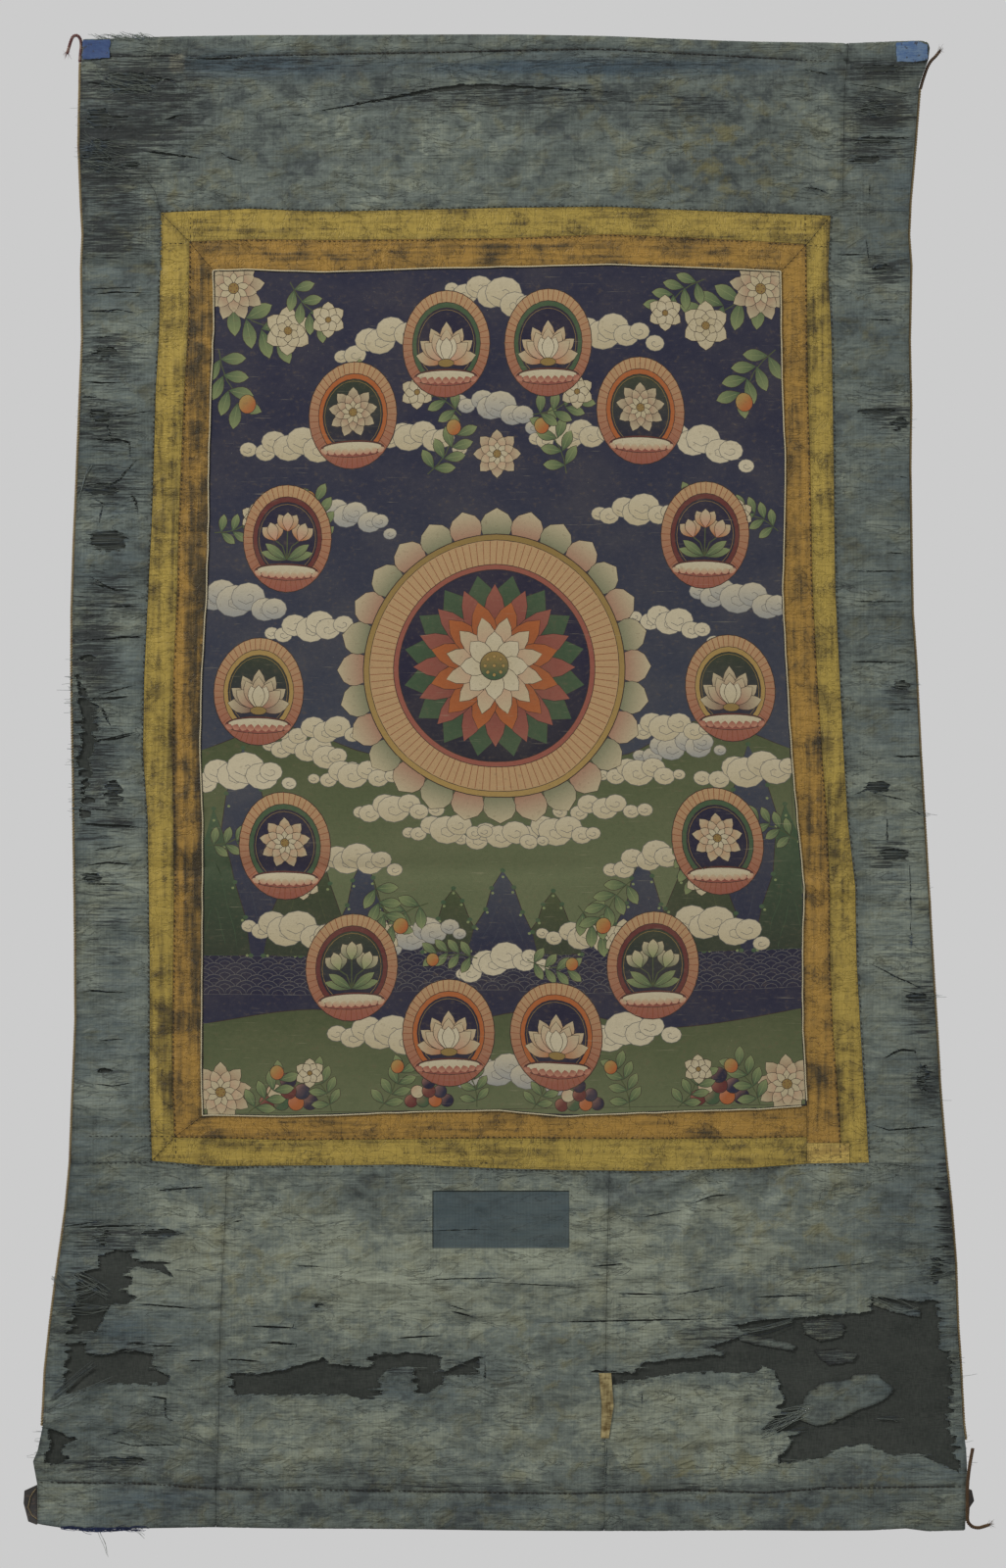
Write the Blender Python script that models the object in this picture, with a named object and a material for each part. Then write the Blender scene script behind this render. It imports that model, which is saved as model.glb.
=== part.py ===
"""A hanging scroll painting in its sewn cloth mount, worn and torn, hung flat by its top edge.

The scroll faces -Y and hangs down -Z; +X is to the viewer's right. The origin is the middle of the top
edge. Lengths in the tables are millimetres: "across" is measured from the middle to the right, and
"drop" downwards from the top edge. The cloth layers share one uneven hanging surface, so that they
stay GAP apart wherever they lie on each other.
"""

import math

import bpy
import numpy as np
from mathutils import Vector
from mathutils.geometry import delaunay_2d_cdt

MM = 0.001
GAP = 0.3
SHEET = 1.0
LINING = 1.0
HEM_BULGE = 0.6
HEM_RISE = 3.0
LENGTH = 1220.0
HALF_WIDTH = 370.0
CELL_ACROSS = 66.0
CELL_DROP = 44.0
MERGE = 0.02
BY = 4.0

EDGE_CORD = 2.4
PICTURE_CORD = 1.0
TIE = 1.8
THONG = 2.0
TAB_THICK = 1.5

# Depth levels behind the silk's front face: front, its back, the turned-back hem's two faces.
LEVELS = (0.0, SHEET, SHEET + LINING + 2 * GAP, 2 * SHEET + LINING + 2 * GAP)
LINING_LEVELS = (SHEET + GAP, SHEET + GAP + LINING)
PATCH_LEVELS = (-GAP - SHEET, -GAP)
MIDDLE = LEVELS[-1] / 2

# The silk's side edges. Columns: drop, left, right.
SIDES = (
    (2.8, -343.2, 341.0), (10.0, -343.5, 348.6), (20.0, -344.6, 347.4), (32.0, -344.9, 343.0),
    (42.0, -344.9, 339.8), (90.0, -345.7, 336.1), (135.0, -344.1, 332.1), (163.0, -342.5, 330.9),
    (188.0, -343.7, 332.7), (249.0, -343.0, 331.3), (302.0, -344.9, 332.7), (355.0, -347.3, 331.7),
    (410.0, -349.5, 332.7), (471.0, -351.5, 333.7), (514.0, -351.5, 336.9), (586.0, -350.8, 340.1),
    (662.0, -349.4, 344.9), (722.0, -348.7, 348.1), (803.0, -348.1, 352.9), (855.0, -350.2, 355.8),
    (919.0, -352.5, 361.3), (955.0, -356.1, 364.9), (1003.0, -362.5, 368.9), (1054.0, -369.1, 370.5),
    (1089.0, -372.9, 372.9), (1132.0, -374.8, 375.2), (1154.0, -379.4, 377.8), (1163.0, -383.2, 378.2),
    (1182.0, -380.0, 378.5), (1214.4, -379.6, 377.0),
)

# The upright seams round the picture. Columns: drop, then the outer band's outer edge, the seam
# between the bands and the picture's edge on the left, and the same three outwards on the right.
UPRIGHT_NAMES = ("outer_left", "mid_left", "picture_left", "picture_right", "mid_right", "outer_right")
UPRIGHTS = (
    (144.8, -279.6, -256.0, -236.4, 226.8, 247.6, 267.6),
    (192.0, -280.0, -256.4, -236.6, 226.8, 248.0, 265.4),
    (243.0, -280.8, -257.2, -236.4, 227.2, 248.4, 268.0),
    (292.0, -283.6, -260.4, -238.8, 228.4, 249.2, 269.2),
    (347.0, -285.2, -262.8, -240.4, 230.8, 250.8, 270.0),
    (396.0, -286.8, -264.8, -240.4, 230.0, 251.6, 270.4),
    (454.0, -289.6, -266.0, -242.0, 228.4, 252.8, 271.3),
    (521.0, -292.8, -269.2, -246.0, 231.6, 256.4, 274.8),
    (587.0, -294.0, -270.0, -247.6, 235.6, 260.4, 278.0),
    (639.0, -290.0, -269.0, -245.2, 240.4, 264.4, 281.2),
    (695.0, -289.2, -268.4, -245.2, 246.0, 266.8, 287.6),
    (750.0, -288.4, -269.2, -245.6, 244.4, 266.8, 288.4),
    (812.0, -288.4, -270.0, -246.0, 244.8, 269.2, 291.6),
    (861.0, -288.4, -270.0, -246.0, 247.6, 273.2, 294.8),
    (882.0, -287.6, -268.8, -245.2, 248.0, 274.8, 296.4),
    (920.0, -286.4, -267.6, -245.2, 248.0, 276.6, 298.5),
)

# The seams above the picture. Columns: across, top edge, outer band's top, band seam, picture's top.
TOP_NAMES = ("edge", "outer", "mid", "picture")
TOPS = (
    (-343.2, 2.8, 146.0, 170.0, 193.0), (-318.8, 2.4, 146.0, 170.0, 193.0),
    (-279.6, 1.0, 144.8, 169.5, 192.5), (-207.6, -0.4, 141.6, 166.4, 191.2),
    (-143.6, -0.6, 144.0, 167.2, 193.6), (-68.4, -0.8, 142.4, 166.4, 190.4),
    (5.2, -0.8, 140.8, 165.6, 189.2), (86.8, 0.5, 140.0, 162.4, 187.2), (193.2, 4.6, 144.5, 167.2, 191.2),
    (267.6, 6.0, 147.2, 171.8, 194.4), (282.8, 6.4, 147.2, 172.0, 194.4),
    (320.4, 5.0, 147.0, 172.0, 194.4), (341.0, 4.6, 147.0, 172.0, 194.4),
    (349.0, 6.0, 147.0, 172.0, 194.4),
)

# The seams below the picture. Columns: across, picture's foot, band seam, outer band's foot, foot edge.
FOOT_NAMES = ("picture", "mid", "outer", "edge")
FEET = (
    (-383.0, 882.0, 899.2, 920.8, 1214.0), (-379.6, 882.0, 899.2, 920.8, 1214.4),
    (-359.6, 882.0, 899.2, 920.8, 1217.6), (-338.8, 882.0, 899.2, 919.8, 1219.5),
    (-286.4, 881.8, 899.2, 918.4, 1218.0), (-235.6, 881.6, 900.0, 922.8, 1217.0),
    (-170.8, 882.4, 901.6, 922.4, 1218.0), (-74.8, 878.8, 900.8, 921.6, 1219.2),
    (-2.8, 877.6, 900.0, 924.8, 1219.8), (48.4, 882.4, 900.4, 926.0, 1220.0),
    (123.6, 879.2, 900.8, 926.8, 1220.5), (208.4, 876.4, 900.0, 924.0, 1219.7),
    (248.0, 873.6, 899.2, 920.8, 1219.7), (298.5, 873.6, 898.0, 920.0, 1219.4),
    (328.4, 873.6, 898.0, 922.4, 1218.0), (346.8, 873.6, 898.0, 924.4, 1220.5),
    (362.0, 873.6, 898.0, 925.2, 1220.0), (377.0, 873.6, 898.0, 926.0, 1219.7),
)

# The hems' stitched lines. Columns: across, drop.
HEAD_HEM = (
    (-360.0, 17.0), (-219.6, 16.8), (-36.4, 13.6), (78.8, 11.2), (167.6, 16.0), (270.0, 21.6),
    (360.0, 22.0),
)
FOOT_HEM = (
    (-390.0, 1180.0), (-292.4, 1181.6), (-235.6, 1185.6), (-74.8, 1188.0), (56.4, 1189.6), (148.4, 1187.2),
    (214.8, 1188.8), (263.6, 1184.8), (390.0, 1183.2),
)

# Seams between the silk panels. Columns: across, drop.
HEAD_END_SEAM = ((283.6, 6.4), (279.0, 44.0), (277.2, 142.4))
RIGHT_SHOULDER = ((267.6, 147.2), (277.2, 142.4), (332.0, 144.0))
LEFT_SHOULDER = ((-344.6, 116.0), (-291.6, 116.8), (-284.0, 128.0), (-279.6, 144.8))
LEFT_SIDE_SEAM = ((-351.5, 472.8), (-290.3, 472.8))
RIGHT_SIDE_SEAM = ((272.3, 473.6), (333.8, 475.2))
LEFT_FOOT_SEAM = ((-352.7, 920.8), (-286.4, 918.4))
RIGHT_FOOT_SEAM = ((298.5, 920.0), (361.8, 925.2))
FOOT_SEAM_LEFT = (
    (-225.2, 922.8), (-227.6, 984.8), (-230.8, 1053.6), (-231.6, 1123.2), (-234.0, 1185.6),
    (-234.6, 1217.0),
)
FOOT_SEAM_RIGHT = ((86.8, 926.5), (85.0, 1000.0), (83.2, 1110.0), (82.8, 1187.0), (82.4, 1220.2))
BUTT_ACROSS = 248.0
UPPER_LEFT_MITRE = ((-279.6, 144.8), (-256.2, 168.6), (-236.6, 192.4))
UPPER_RIGHT_MITRE = ((267.6, 147.2), (247.9, 170.9), (226.8, 193.0))
LOWER_LEFT_MITRE = ((-286.4, 918.4), (-268.2, 899.3), (-245.2, 881.7))
INSET_TOP = 904.0
INSET_RIGHT = 282.8

# Soft folds. Columns: across and drop of the two ends, rise towards the viewer, half width.
FOLDS = (
    (87.6, 955.0, 164.4, 925.0, 2.2, 9.0), (166.0, 948.0, 147.0, 984.0, 2.6, 10.0),
    (224.4, 929.0, 193.0, 981.0, -2.2, 11.0), (299.6, 924.0, 313.0, 950.0, 2.0, 8.0),
    (315.0, 927.0, 348.0, 944.0, -1.8, 9.0), (-370.0, 1132.0, -336.0, 1105.0, 2.0, 9.0),
    (-335.6, 1141.0, -263.0, 1150.0, -1.8, 8.0), (45.0, 990.0, 120.0, 1000.0, -1.6, 9.0),
    (191.0, 1093.0, 191.0, 1155.0, 1.8, 8.0), (-345.0, 187.0, -282.0, 189.0, -1.6, 8.0),
    (272.0, 270.0, 331.0, 283.0, 1.8, 9.0), (-350.0, 679.0, 60.0, 681.0, -1.4, 9.0),
    (250.0, 694.0, 346.0, 706.0, 1.8, 9.0), (-350.0, 722.0, -290.0, 725.0, 1.8, 9.0),
    (-350.0, 893.0, -290.0, 889.0, -1.4, 8.0), (-180.0, 1024.0, 60.0, 1016.0, 1.5, 10.0),
    (-60.0, 1052.0, 180.0, 1047.0, -1.5, 9.0), (-60.0, 96.0, 60.0, 92.0, 1.6, 12.0),
)

# Tears across the threads. Columns: across, drop, length, height.
SNAGS = (
    (-304.0, 44.0, 52.0, 8.0), (-327.0, 69.0, 22.0, 20.0), (-329.0, 96.0, 18.0, 18.0),
    (306.0, 26.5, 42.0, 8.0), (305.5, 59.5, 23.0, 14.0), (303.0, 85.6, 32.0, 7.0),
    (295.0, 102.0, 22.0, 5.0), (-325.0, 259.0, 19.0, 11.0), (-329.0, 311.0, 16.0, 12.0),
    (-327.0, 371.0, 30.0, 8.0), (-323.0, 414.0, 33.0, 15.0), (-318.0, 619.0, 16.0, 22.0),
    (-335.0, 688.0, 18.0, 8.0), (309.5, 190.5, 21.0, 7.0), (304.0, 307.0, 34.0, 5.0),
    (323.0, 317.0, 12.0, 12.0), (305.0, 613.5, 24.0, 9.0), (318.0, 668.0, 30.0, 10.0),
    (338.0, 785.0, 20.0, 6.0), (-280.0, 977.6, 37.0, 6.0), (-327.0, 981.0, 12.0, 14.0),
    (352.8, 1008.0, 15.0, 14.0),
)

# The long slit across the heading. Columns: across, drop, height.
HEAD_SLIT = (
    (-171.6, 65.6, 0.0), (-122.8, 54.4, 4.0), (-90.8, 48.8, 5.5), (-50.8, 44.0, 6.4), (-10.8, 42.4, 6.0),
    (37.2, 44.8, 4.5), (91.6, 45.6, 0.0),
)

# The large tears, walked round. Columns: across, drop.
SIDE_TEAR = (
    (-346.4, 521.0), (-339.2, 540.0), (-329.2, 548.0), (-332.8, 574.4), (-337.2, 595.2), (-338.8, 641.6),
    (-345.6, 641.6),
)
UPPER_LEFT_TEAR = (
    (-314.8, 990.4), (-300.4, 990.4), (-299.6, 1000.0), (-274.8, 1000.8), (-267.6, 1014.4),
    (-285.2, 1006.4), (-303.6, 1005.6), (-306.0, 1026.4), (-297.2, 1028.8), (-306.0, 1035.2),
    (-319.6, 1036.0), (-330.8, 1056.8), (-353.2, 1060.8), (-349.2, 1022.4), (-348.4, 1009.6),
    (-328.4, 1005.6), (-327.6, 995.2),
)
LOWER_LEFT_TEAR = (
    (-354.8, 1066.4), (-339.6, 1066.4), (-339.6, 1075.2), (-330.0, 1076.8), (-309.2, 1072.0),
    (-285.2, 1076.0), (-286.8, 1087.2), (-272.4, 1093.6), (-274.8, 1100.8), (-330.0, 1100.0),
    (-338.8, 1104.8), (-359.6, 1109.6), (-358.0, 1088.8),
)
CORNER_TEAR = (
    (-369.5, 1135.2), (-361.2, 1139.2), (-346.0, 1145.6), (-356.4, 1149.6), (-356.4, 1164.8),
    (-374.0, 1166.4),
)
MIDDLE_TEAR = (
    (-222.8, 1091.2), (-191.6, 1091.2), (-146.0, 1079.2), (-139.6, 1084.0), (-109.2, 1086.4),
    (-106.0, 1075.2), (-68.4, 1075.2), (-48.4, 1078.4), (-51.6, 1090.4), (-19.6, 1077.6), (-18.8, 1092.0),
    (-49.2, 1094.4), (-50.0, 1100.8), (-62.0, 1108.8), (-72.4, 1108.8), (-72.4, 1087.2), (-90.8, 1087.2),
    (-100.4, 1094.4), (-103.6, 1112.8), (-115.6, 1113.6), (-127.6, 1109.6), (-204.4, 1108.8),
    (-220.4, 1110.4),
)
RIGHT_TEAR = (
    (70.8, 1088.8), (105.2, 1091.2), (113.2, 1083.2), (179.6, 1076.0), (167.6, 1070.4), (199.6, 1059.2),
    (187.6, 1052.8), (213.2, 1048.0), (300.4, 1040.8), (298.8, 1028.8), (342.0, 1032.8), (352.4, 1031.2),
    (355.6, 1040.8), (354.0, 1071.2), (365.2, 1072.8), (366.8, 1108.0), (365.2, 1129.6), (369.2, 1149.6),
    (372.0, 1173.0), (351.6, 1163.2), (338.8, 1156.8), (318.8, 1158.4), (296.4, 1149.6), (279.6, 1150.4),
    (262.0, 1160.0), (224.4, 1164.8), (224.4, 1158.4), (238.8, 1139.2), (211.6, 1138.4), (222.8, 1125.6),
    (226.0, 1112.8), (220.4, 1088.8), (211.6, 1086.4), (206.0, 1091.2), (149.2, 1091.2), (89.2, 1100.8),
)
SCRAP = (
    (244.4, 1112.8), (256.4, 1100.0), (283.6, 1096.0), (286.8, 1092.0), (305.2, 1091.2), (318.8, 1104.8),
    (310.0, 1114.4), (282.0, 1124.8), (268.4, 1132.8), (254.8, 1134.4), (241.2, 1129.6),
)
LARGE_TEARS = (SIDE_TEAR, UPPER_LEFT_TEAR, LOWER_LEFT_TEAR, CORNER_TEAR, MIDDLE_TEAR, RIGHT_TEAR)

# Small pieces sewn on or in. Columns: across, drop.
LEFT_CORNER_PATCH = ((-342.4, 3.6), (-320.6, 3.2), (-321.4, 18.6), (-343.6, 19.6))
RIGHT_CORNER_PATCH = ((321.0, 5.8), (340.0, 5.4), (347.0, 8.4), (346.4, 20.4), (334.0, 22.6), (320.4, 21.6))
DARN_STRIP = ((78.0, 1091.4), (88.4, 1091.4), (90.4, 1118.0), (86.4, 1144.6), (79.6, 1144.6), (80.4, 1118.0))
LEFT_TAB = ((-390.5, 1187.2), (-391.2, 1197.6), (-387.3, 1212.4), (-380.2, 1215.2))
RIGHT_TAB = ((380.0, 1212.0), (380.6, 1200.8), (384.2, 1195.2), (382.3, 1186.4))
TAB_TOP_LEFT, TAB_FOOT_LEFT, TAB_TOP_RIGHT = 1182.0, 1213.6, 1184.4

LEFT_CORD_SPAN = (25.0, 1134.0)
RIGHT_CORD_SPAN = (46.0, 1146.0)
CORD_STEP = 30.0
CORD_CLEAR = 2.0

# Routes of the remaining tie ends. Columns: across, drop, depth behind the silk's front face.
LEFT_TIE = (
    (-345.8, 21.6, 1.8), (-345.3, 15.0, 1.8), (-344.7, 8.5, 1.6), (-345.2, 3.4, 0.6), (-347.6, 0.2, -0.4),
    (-351.0, 0.8, -0.6), (-353.0, 4.6, -0.4), (-354.4, 9.0, 0.0), (-356.0, 14.4, 0.4),
)
RIGHT_TIE = (
    (341.0, 43.6, 1.8), (342.8, 37.0, 1.8), (344.9, 30.6, 1.8), (346.9, 25.4, 1.8), (349.6, 21.0, 1.2),
    (353.2, 17.4, 0.4), (356.2, 13.6, 0.0),
)
THONG_ROUTE = (
    (383.0, 1152.6, 0.2), (381.8, 1158.6, 0.0), (380.6, 1165.0, -0.9), (379.4, 1172.0, -2.0),
    (378.6, 1179.0, -2.4), (378.2, 1186.0, -2.5), (378.2, 1193.0, -2.5), (378.3, 1200.0, -2.5),
    (378.2, 1206.6, -2.5), (379.0, 1212.4, -2.4), (382.6, 1216.2, -2.0), (387.6, 1217.2, -1.6),
    (392.4, 1216.0, -1.2), (396.2, 1214.8, -1.0),
)


def table(rows, names):
    """Returns the rows' columns by name, each as (station, value) pairs."""
    stations = [row[0] for row in rows]
    return {name: list(zip(stations, column)) for name, column in zip(names, list(zip(*rows))[1:])}


def at(line, station):
    """Returns the value of a column at a station."""
    return float(np.interp(station, [p[0] for p in line], [p[1] for p in line]))


def span(line, start, stop):
    """Returns the (station, value) pairs from start to stop, in either direction, ends included."""
    low, high = min(start, stop), max(start, stop)
    inner = [p for p in line if low + 1.0 < p[0] < high - 1.0]
    points = [(low, at(line, low)), *inner, (high, at(line, high))]
    return points if start < stop else points[::-1]


def upright(line, start, stop):
    """Returns points (across, drop) along an upright line."""
    return [(value, drop) for drop, value in span(line, start, stop)]


def smoothstep(low, high, value):
    """Returns 0 below low, 1 above high and a smooth rise between them."""
    share = min(max((value - low) / (high - low), 0.0), 1.0)
    return share * share * (3.0 - 2.0 * share)


def hang(across, drop):
    """Returns how far the hanging cloth stands towards the viewer at a place, in mm."""
    down = drop / LENGTH
    side = across / HALF_WIDTH
    height = 7.0 * down**2 + 5.0 * down**3 * side**2 + 2.6 * math.sin(math.pi * down) * math.cos(1.5 * side)
    height += 1.5 * math.sin(drop / 31.0 + 1.7 * side) * (0.25 + 0.75 * side**2)
    height += 2.4 * math.sin(drop / 19.0 + 2.0 * side) * abs(side) ** 5
    height += 2.3 * math.sin(across / 37.0 + 0.6) * smoothstep(0.78, 1.0, down)
    height += 1.3 * math.sin(across / 52.0 + 1.2) * (1.0 - smoothstep(0.0, 0.16, down))
    for x0, z0, x1, z1, rise, half in FOLDS:
        run = np.array((x1 - x0, z1 - z0))
        to = np.array((across - x0, drop - z0))
        share = min(max(float(to @ run / (run @ run)), 0.0), 1.0)
        off = float(np.hypot(*(to - share * run)))
        height += rise * math.exp(-((off / half) ** 2) * 1.6)
    return height


def triangulate(points, edges):
    """Returns the constrained triangulation of points and edges as arrays of points and faces."""
    made = delaunay_2d_cdt([Vector(p) for p in points], edges, [], 0, MERGE)
    faces = [tuple(face) for face in made[2] if len(face) == 3]
    return np.array([tuple(p) for p in made[0]]), faces


def chain(points, line, closed=False):
    """Adds a line's points to points and returns the edges that join them."""
    first = len(points)
    points.extend((float(p[0]), float(p[1])) for p in line)
    last = len(points) - 1
    edges = [(i, i + 1) for i in range(first, last)]
    return edges + [(last, first)] if closed else edges


def fold_lines():
    """Returns each fold's crest and its two feet, as lines of two points."""
    lines = []
    for x0, z0, x1, z1, _rise, half in FOLDS:
        long = math.hypot(x1 - x0, z1 - z0)
        aside = np.array((z0 - z1, x1 - x0)) / long * half
        for side in (-1, 0, 1):
            shift = side * aside
            lines.append([(x0 + shift[0], z0 + shift[1]), (x1 + shift[0], z1 + shift[1])])
    return lines


class Surface:
    """The hanging surface as flat facets, which every cloth layer shares."""

    def __init__(self):
        points, edges = [], []
        wide = math.ceil(400.0 / CELL_ACROSS)
        tall = math.ceil(1260.0 / CELL_DROP)
        for column in range(-wide, wide + 1):
            x = column * CELL_ACROSS
            edges += chain(points, [(x, row * CELL_DROP - 20.0) for row in range(tall + 1)])
        for line in fold_lines():
            edges += chain(points, line)
        self.points, self.faces = triangulate(points, edges)
        self.heights = np.array([hang(x, z) for x, z in self.points])
        corner = self.points[np.array(self.faces)]
        self.origin = corner[:, 0]
        sides = np.stack((corner[:, 1] - corner[:, 0], corner[:, 2] - corner[:, 0]), axis=2)
        self.inverse = np.linalg.inv(sides)
        pairs = {tuple(sorted((f[i], f[i - 1]))) for f in self.faces for i in range(3)}
        self.edges = sorted(pairs)

    def height(self, across, drop):
        """Returns the facets' height at a place."""
        uv = np.einsum("nij,nj->ni", self.inverse, np.array((across, drop)) - self.origin)
        share = np.column_stack((1.0 - uv.sum(1), uv))
        best = int(np.argmax(share.min(1)))
        return float(share[best] @ self.heights[np.array(self.faces[best])])

    def near(self, low, high):
        """Returns the facets' edges that may cross a box."""
        ends = self.points[np.array(self.edges)]
        keep = (ends.max(1) > low - 1.0).all(1) & (ends.min(1) < high + 1.0).all(1)
        return ends[keep]

    def crossings(self, line):
        """Returns the line's points with those added where it crosses a facet's edge."""
        ends = self.points[np.array(self.edges)]
        way = ends[:, 1] - ends[:, 0]
        found = [line[0]]
        for start, stop in zip(line, line[1:]):
            run = np.array(stop) - np.array(start)
            cross = run[0] * way[:, 1] - run[1] * way[:, 0]
            cross[np.abs(cross) < 1e-9] = np.inf
            to = ends[:, 0] - np.array(start)
            along = (to[:, 0] * way[:, 1] - to[:, 1] * way[:, 0]) / cross
            beside = (to[:, 0] * run[1] - to[:, 1] * run[0]) / cross
            long = float(np.hypot(*run))
            clear = (along * long > CORD_CLEAR) & ((1 - along) * long > CORD_CLEAR)
            last = 0.0
            for share in sorted(along[(beside >= 0) & (beside <= 1) & clear]):
                if (share - last) * long > CORD_CLEAR:
                    found.append(tuple(np.array(start) + share * run))
                    last = share
            found.append(stop)
        return found


SURFACE = Surface()


def inside(places, outline):
    """Returns which places lie inside a closed outline."""
    x, z = places[:, 0], places[:, 1]
    found = np.zeros(len(places), bool)
    for (x0, z0), (x1, z1) in zip(outline, [*outline[1:], outline[0]]):
        if z0 != z1:
            found ^= ((z0 > z) != (z1 > z)) & (x < (x1 - x0) * (z - z0) / (z1 - z0) + x0)
    return found


def shrink(outline, distance):
    """Returns a closed outline moved inwards by a distance."""
    points = np.array(outline)
    after = np.roll(points, -1, axis=0)
    area = float((points[:, 0] * after[:, 1] - points[:, 1] * after[:, 0]).sum())
    way = after - points
    way /= np.hypot(*way.T)[:, None]
    inward = np.column_stack((-way[:, 1], way[:, 0])) * math.copysign(1.0, area)
    both = inward + np.roll(inward, 1, axis=0)
    scale = distance * 2.0 / np.maximum((both**2).sum(1), 0.5)
    return [tuple(p) for p in points + both * scale[:, None]]


def beside(line, distance):
    """Returns an open line moved to its left by a distance, as seen along it with drop upwards."""
    points = np.array(line)
    way = np.diff(points, axis=0)
    way /= np.hypot(*way.T)[:, None]
    left = np.column_stack((-way[:, 1], way[:, 0]))
    both = np.vstack((left[:1], left)) + np.vstack((left, left[-1:]))
    return points + both * (distance * 2.0 / (both**2).sum(1))[:, None]


def material(name, colour, roughness, metallic=0.0):
    """Makes a plain material."""
    made = bpy.data.materials.new(name)
    made.use_nodes = True
    surface = made.node_tree.nodes["Principled BSDF"]
    surface.inputs["Base Color"].default_value = (*colour, 1.0)
    surface.inputs["Roughness"].default_value = roughness
    surface.inputs["Metallic"].default_value = metallic
    return made


def place(name, data, finish):
    """Puts a mesh or a curve in the scene as a piece of the scroll."""
    piece = bpy.data.objects.new(name, data)
    bpy.context.scene.collection.objects.link(piece)
    piece.parent = SCROLL
    data.materials.append(finish)
    return piece


def sheet(name, outline, finish, levels=LEVELS, tears=(), head=False, foot=False):
    """Makes a sheet of cloth on the hanging surface.

    outline and tears are closed lines. head and foot turn the cloth back at the scroll's top or
    bottom edge as a hem, which wraps the lining's edge; the foot's hem stands a little proud.
    """
    outline = shrink(outline, GAP / 2)
    low, high = np.min(outline, axis=0), np.max(outline, axis=0)
    points, edges = [], []
    edges += chain(points, outline, closed=True)
    holes = [t for t in tears if (np.max(t, axis=0) > low).all() and (np.min(t, axis=0) < high).all()]
    for tear in holes:
        edges += chain(points, tear, closed=True)
    for pair in SURFACE.near(low, high):
        edges += chain(points, pair)
    top, bottom = TOP["edge"], FOOT["edge"]
    if head:
        edges += chain(points, HEAD_HEM) + chain(points, [(x, z + SHEET) for x, z in top])
    if foot:
        crest = [(x, z + HEM_RISE) for x, z in FOOT_HEM]
        edges += chain(points, FOOT_HEM) + chain(points, crest)
        edges += chain(points, [(x, z - SHEET) for x, z in bottom])
    flat, faces = triangulate(points, edges)
    middles = np.array([flat[list(face)].mean(0) for face in faces])
    kept = inside(middles, outline)
    for tear in holes:
        kept &= ~inside(middles, tear)
    cover = {}
    for face, (x, z), keep in zip(faces, middles, kept):
        if not keep:
            continue
        one, two = flat[face[1]] - flat[face[0]], flat[face[2]] - flat[face[0]]
        rim = (head and z < at(top, x) + SHEET) or (foot and z > at(bottom, x) - SHEET)
        hem = (head and z < at(HEAD_HEM, x)) or (foot and z > at(FOOT_HEM, x))
        facing = one[0] * two[1] < one[1] * two[0]
        cover[face if facing else face[::-1]] = (0, 1, 2) if rim else (0, 2) if hem else (0,)
    return place(name, solid(name, flat, cover, levels, foot), finish)


def solid(name, flat, cover, levels, proud):
    """Returns the closed mesh of a sheet from the layers that each flat face covers."""
    places, found, faces = [], {}, []

    def corner(point, level):
        if (point, level) not in found:
            x, z = flat[point]
            lift = HEM_BULGE if proud and level == 0 and z > at(FOOT_HEM, x) + HEM_RISE / 2 else 0.0
            found[point, level] = len(places)
            places.append((x * MM, (levels[level] - lift - SURFACE.height(x, z)) * MM, -z * MM))
        return found[point, level]

    sides = {}
    for face, layers in cover.items():
        for i in range(3):
            sides[face[i], face[(i + 1) % 3]] = layers
    for face, layers in cover.items():
        for layer in layers:
            if layer - 1 not in layers:
                faces.append([corner(p, layer) for p in face])
            if layer + 1 not in layers:
                faces.append([corner(p, layer + 1) for p in reversed(face)])
            for i in range(3):
                a, b = face[i], face[(i + 1) % 3]
                if layer not in sides.get((b, a), ()):
                    wall = ((a, layer), (a, layer + 1), (b, layer + 1), (b, layer))
                    faces.append([corner(*place) for place in wall])
    mesh = bpy.data.meshes.new(name)
    mesh.from_pydata(places, [], faces)
    mesh.update()
    return mesh


def smooth(route, step):
    """Returns points about a step apart on a smooth curve through the route's points."""
    route = np.array(route)
    ends = np.vstack((2 * route[0] - route[1], route, 2 * route[-1] - route[-2]))
    points = [route[0]]
    for a, b, c, d in zip(ends, ends[1:], ends[2:], ends[3:]):
        count = max(1, round(float(np.linalg.norm(c - b)) / step))
        for i in range(1, count + 1):
            t = i / count
            bend, twist = 2 * a - 5 * b + 4 * c - d, 3 * b - a - 3 * c + d
            points.append(0.5 * (2 * b + (c - a) * t + bend * t**2 + twist * t**3))
    return points


def cord(name, points, diameter, finish, sides=2):
    """Makes a round cord through points (across, drop, depth behind the silk's front face)."""
    curve = bpy.data.curves.new(name, "CURVE")
    curve.dimensions = "3D"
    curve.bevel_depth = diameter / 2 * MM
    curve.bevel_resolution = sides
    curve.use_fill_caps = True
    spline = curve.splines.new("POLY")
    spline.points.add(len(points) - 1)
    for point, (x, z, depth) in zip(spline.points, points):
        point.co = (x * MM, (depth - SURFACE.height(x, z)) * MM, -z * MM, 1.0)
    return place(name, curve, finish)


def snag(across, drop, long, tall):
    """Returns a tear that runs along the threads, pointed at both ends."""
    ends = ((-0.5, 0.08), (-0.3, -0.46), (0.22, -0.5), (0.5, -0.1), (0.3, 0.48), (-0.2, 0.5))
    return [(across + u * long, drop + v * tall) for u, v in ends]


def slit(rows):
    """Returns a slit that opens by each row's height and closes at both ends."""
    upper = [(x, z - tall / 2) for x, z, tall in rows]
    lower = [(x, z + tall / 2) for x, z, tall in rows[1:-1]]
    return upper + lower[::-1]


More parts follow.
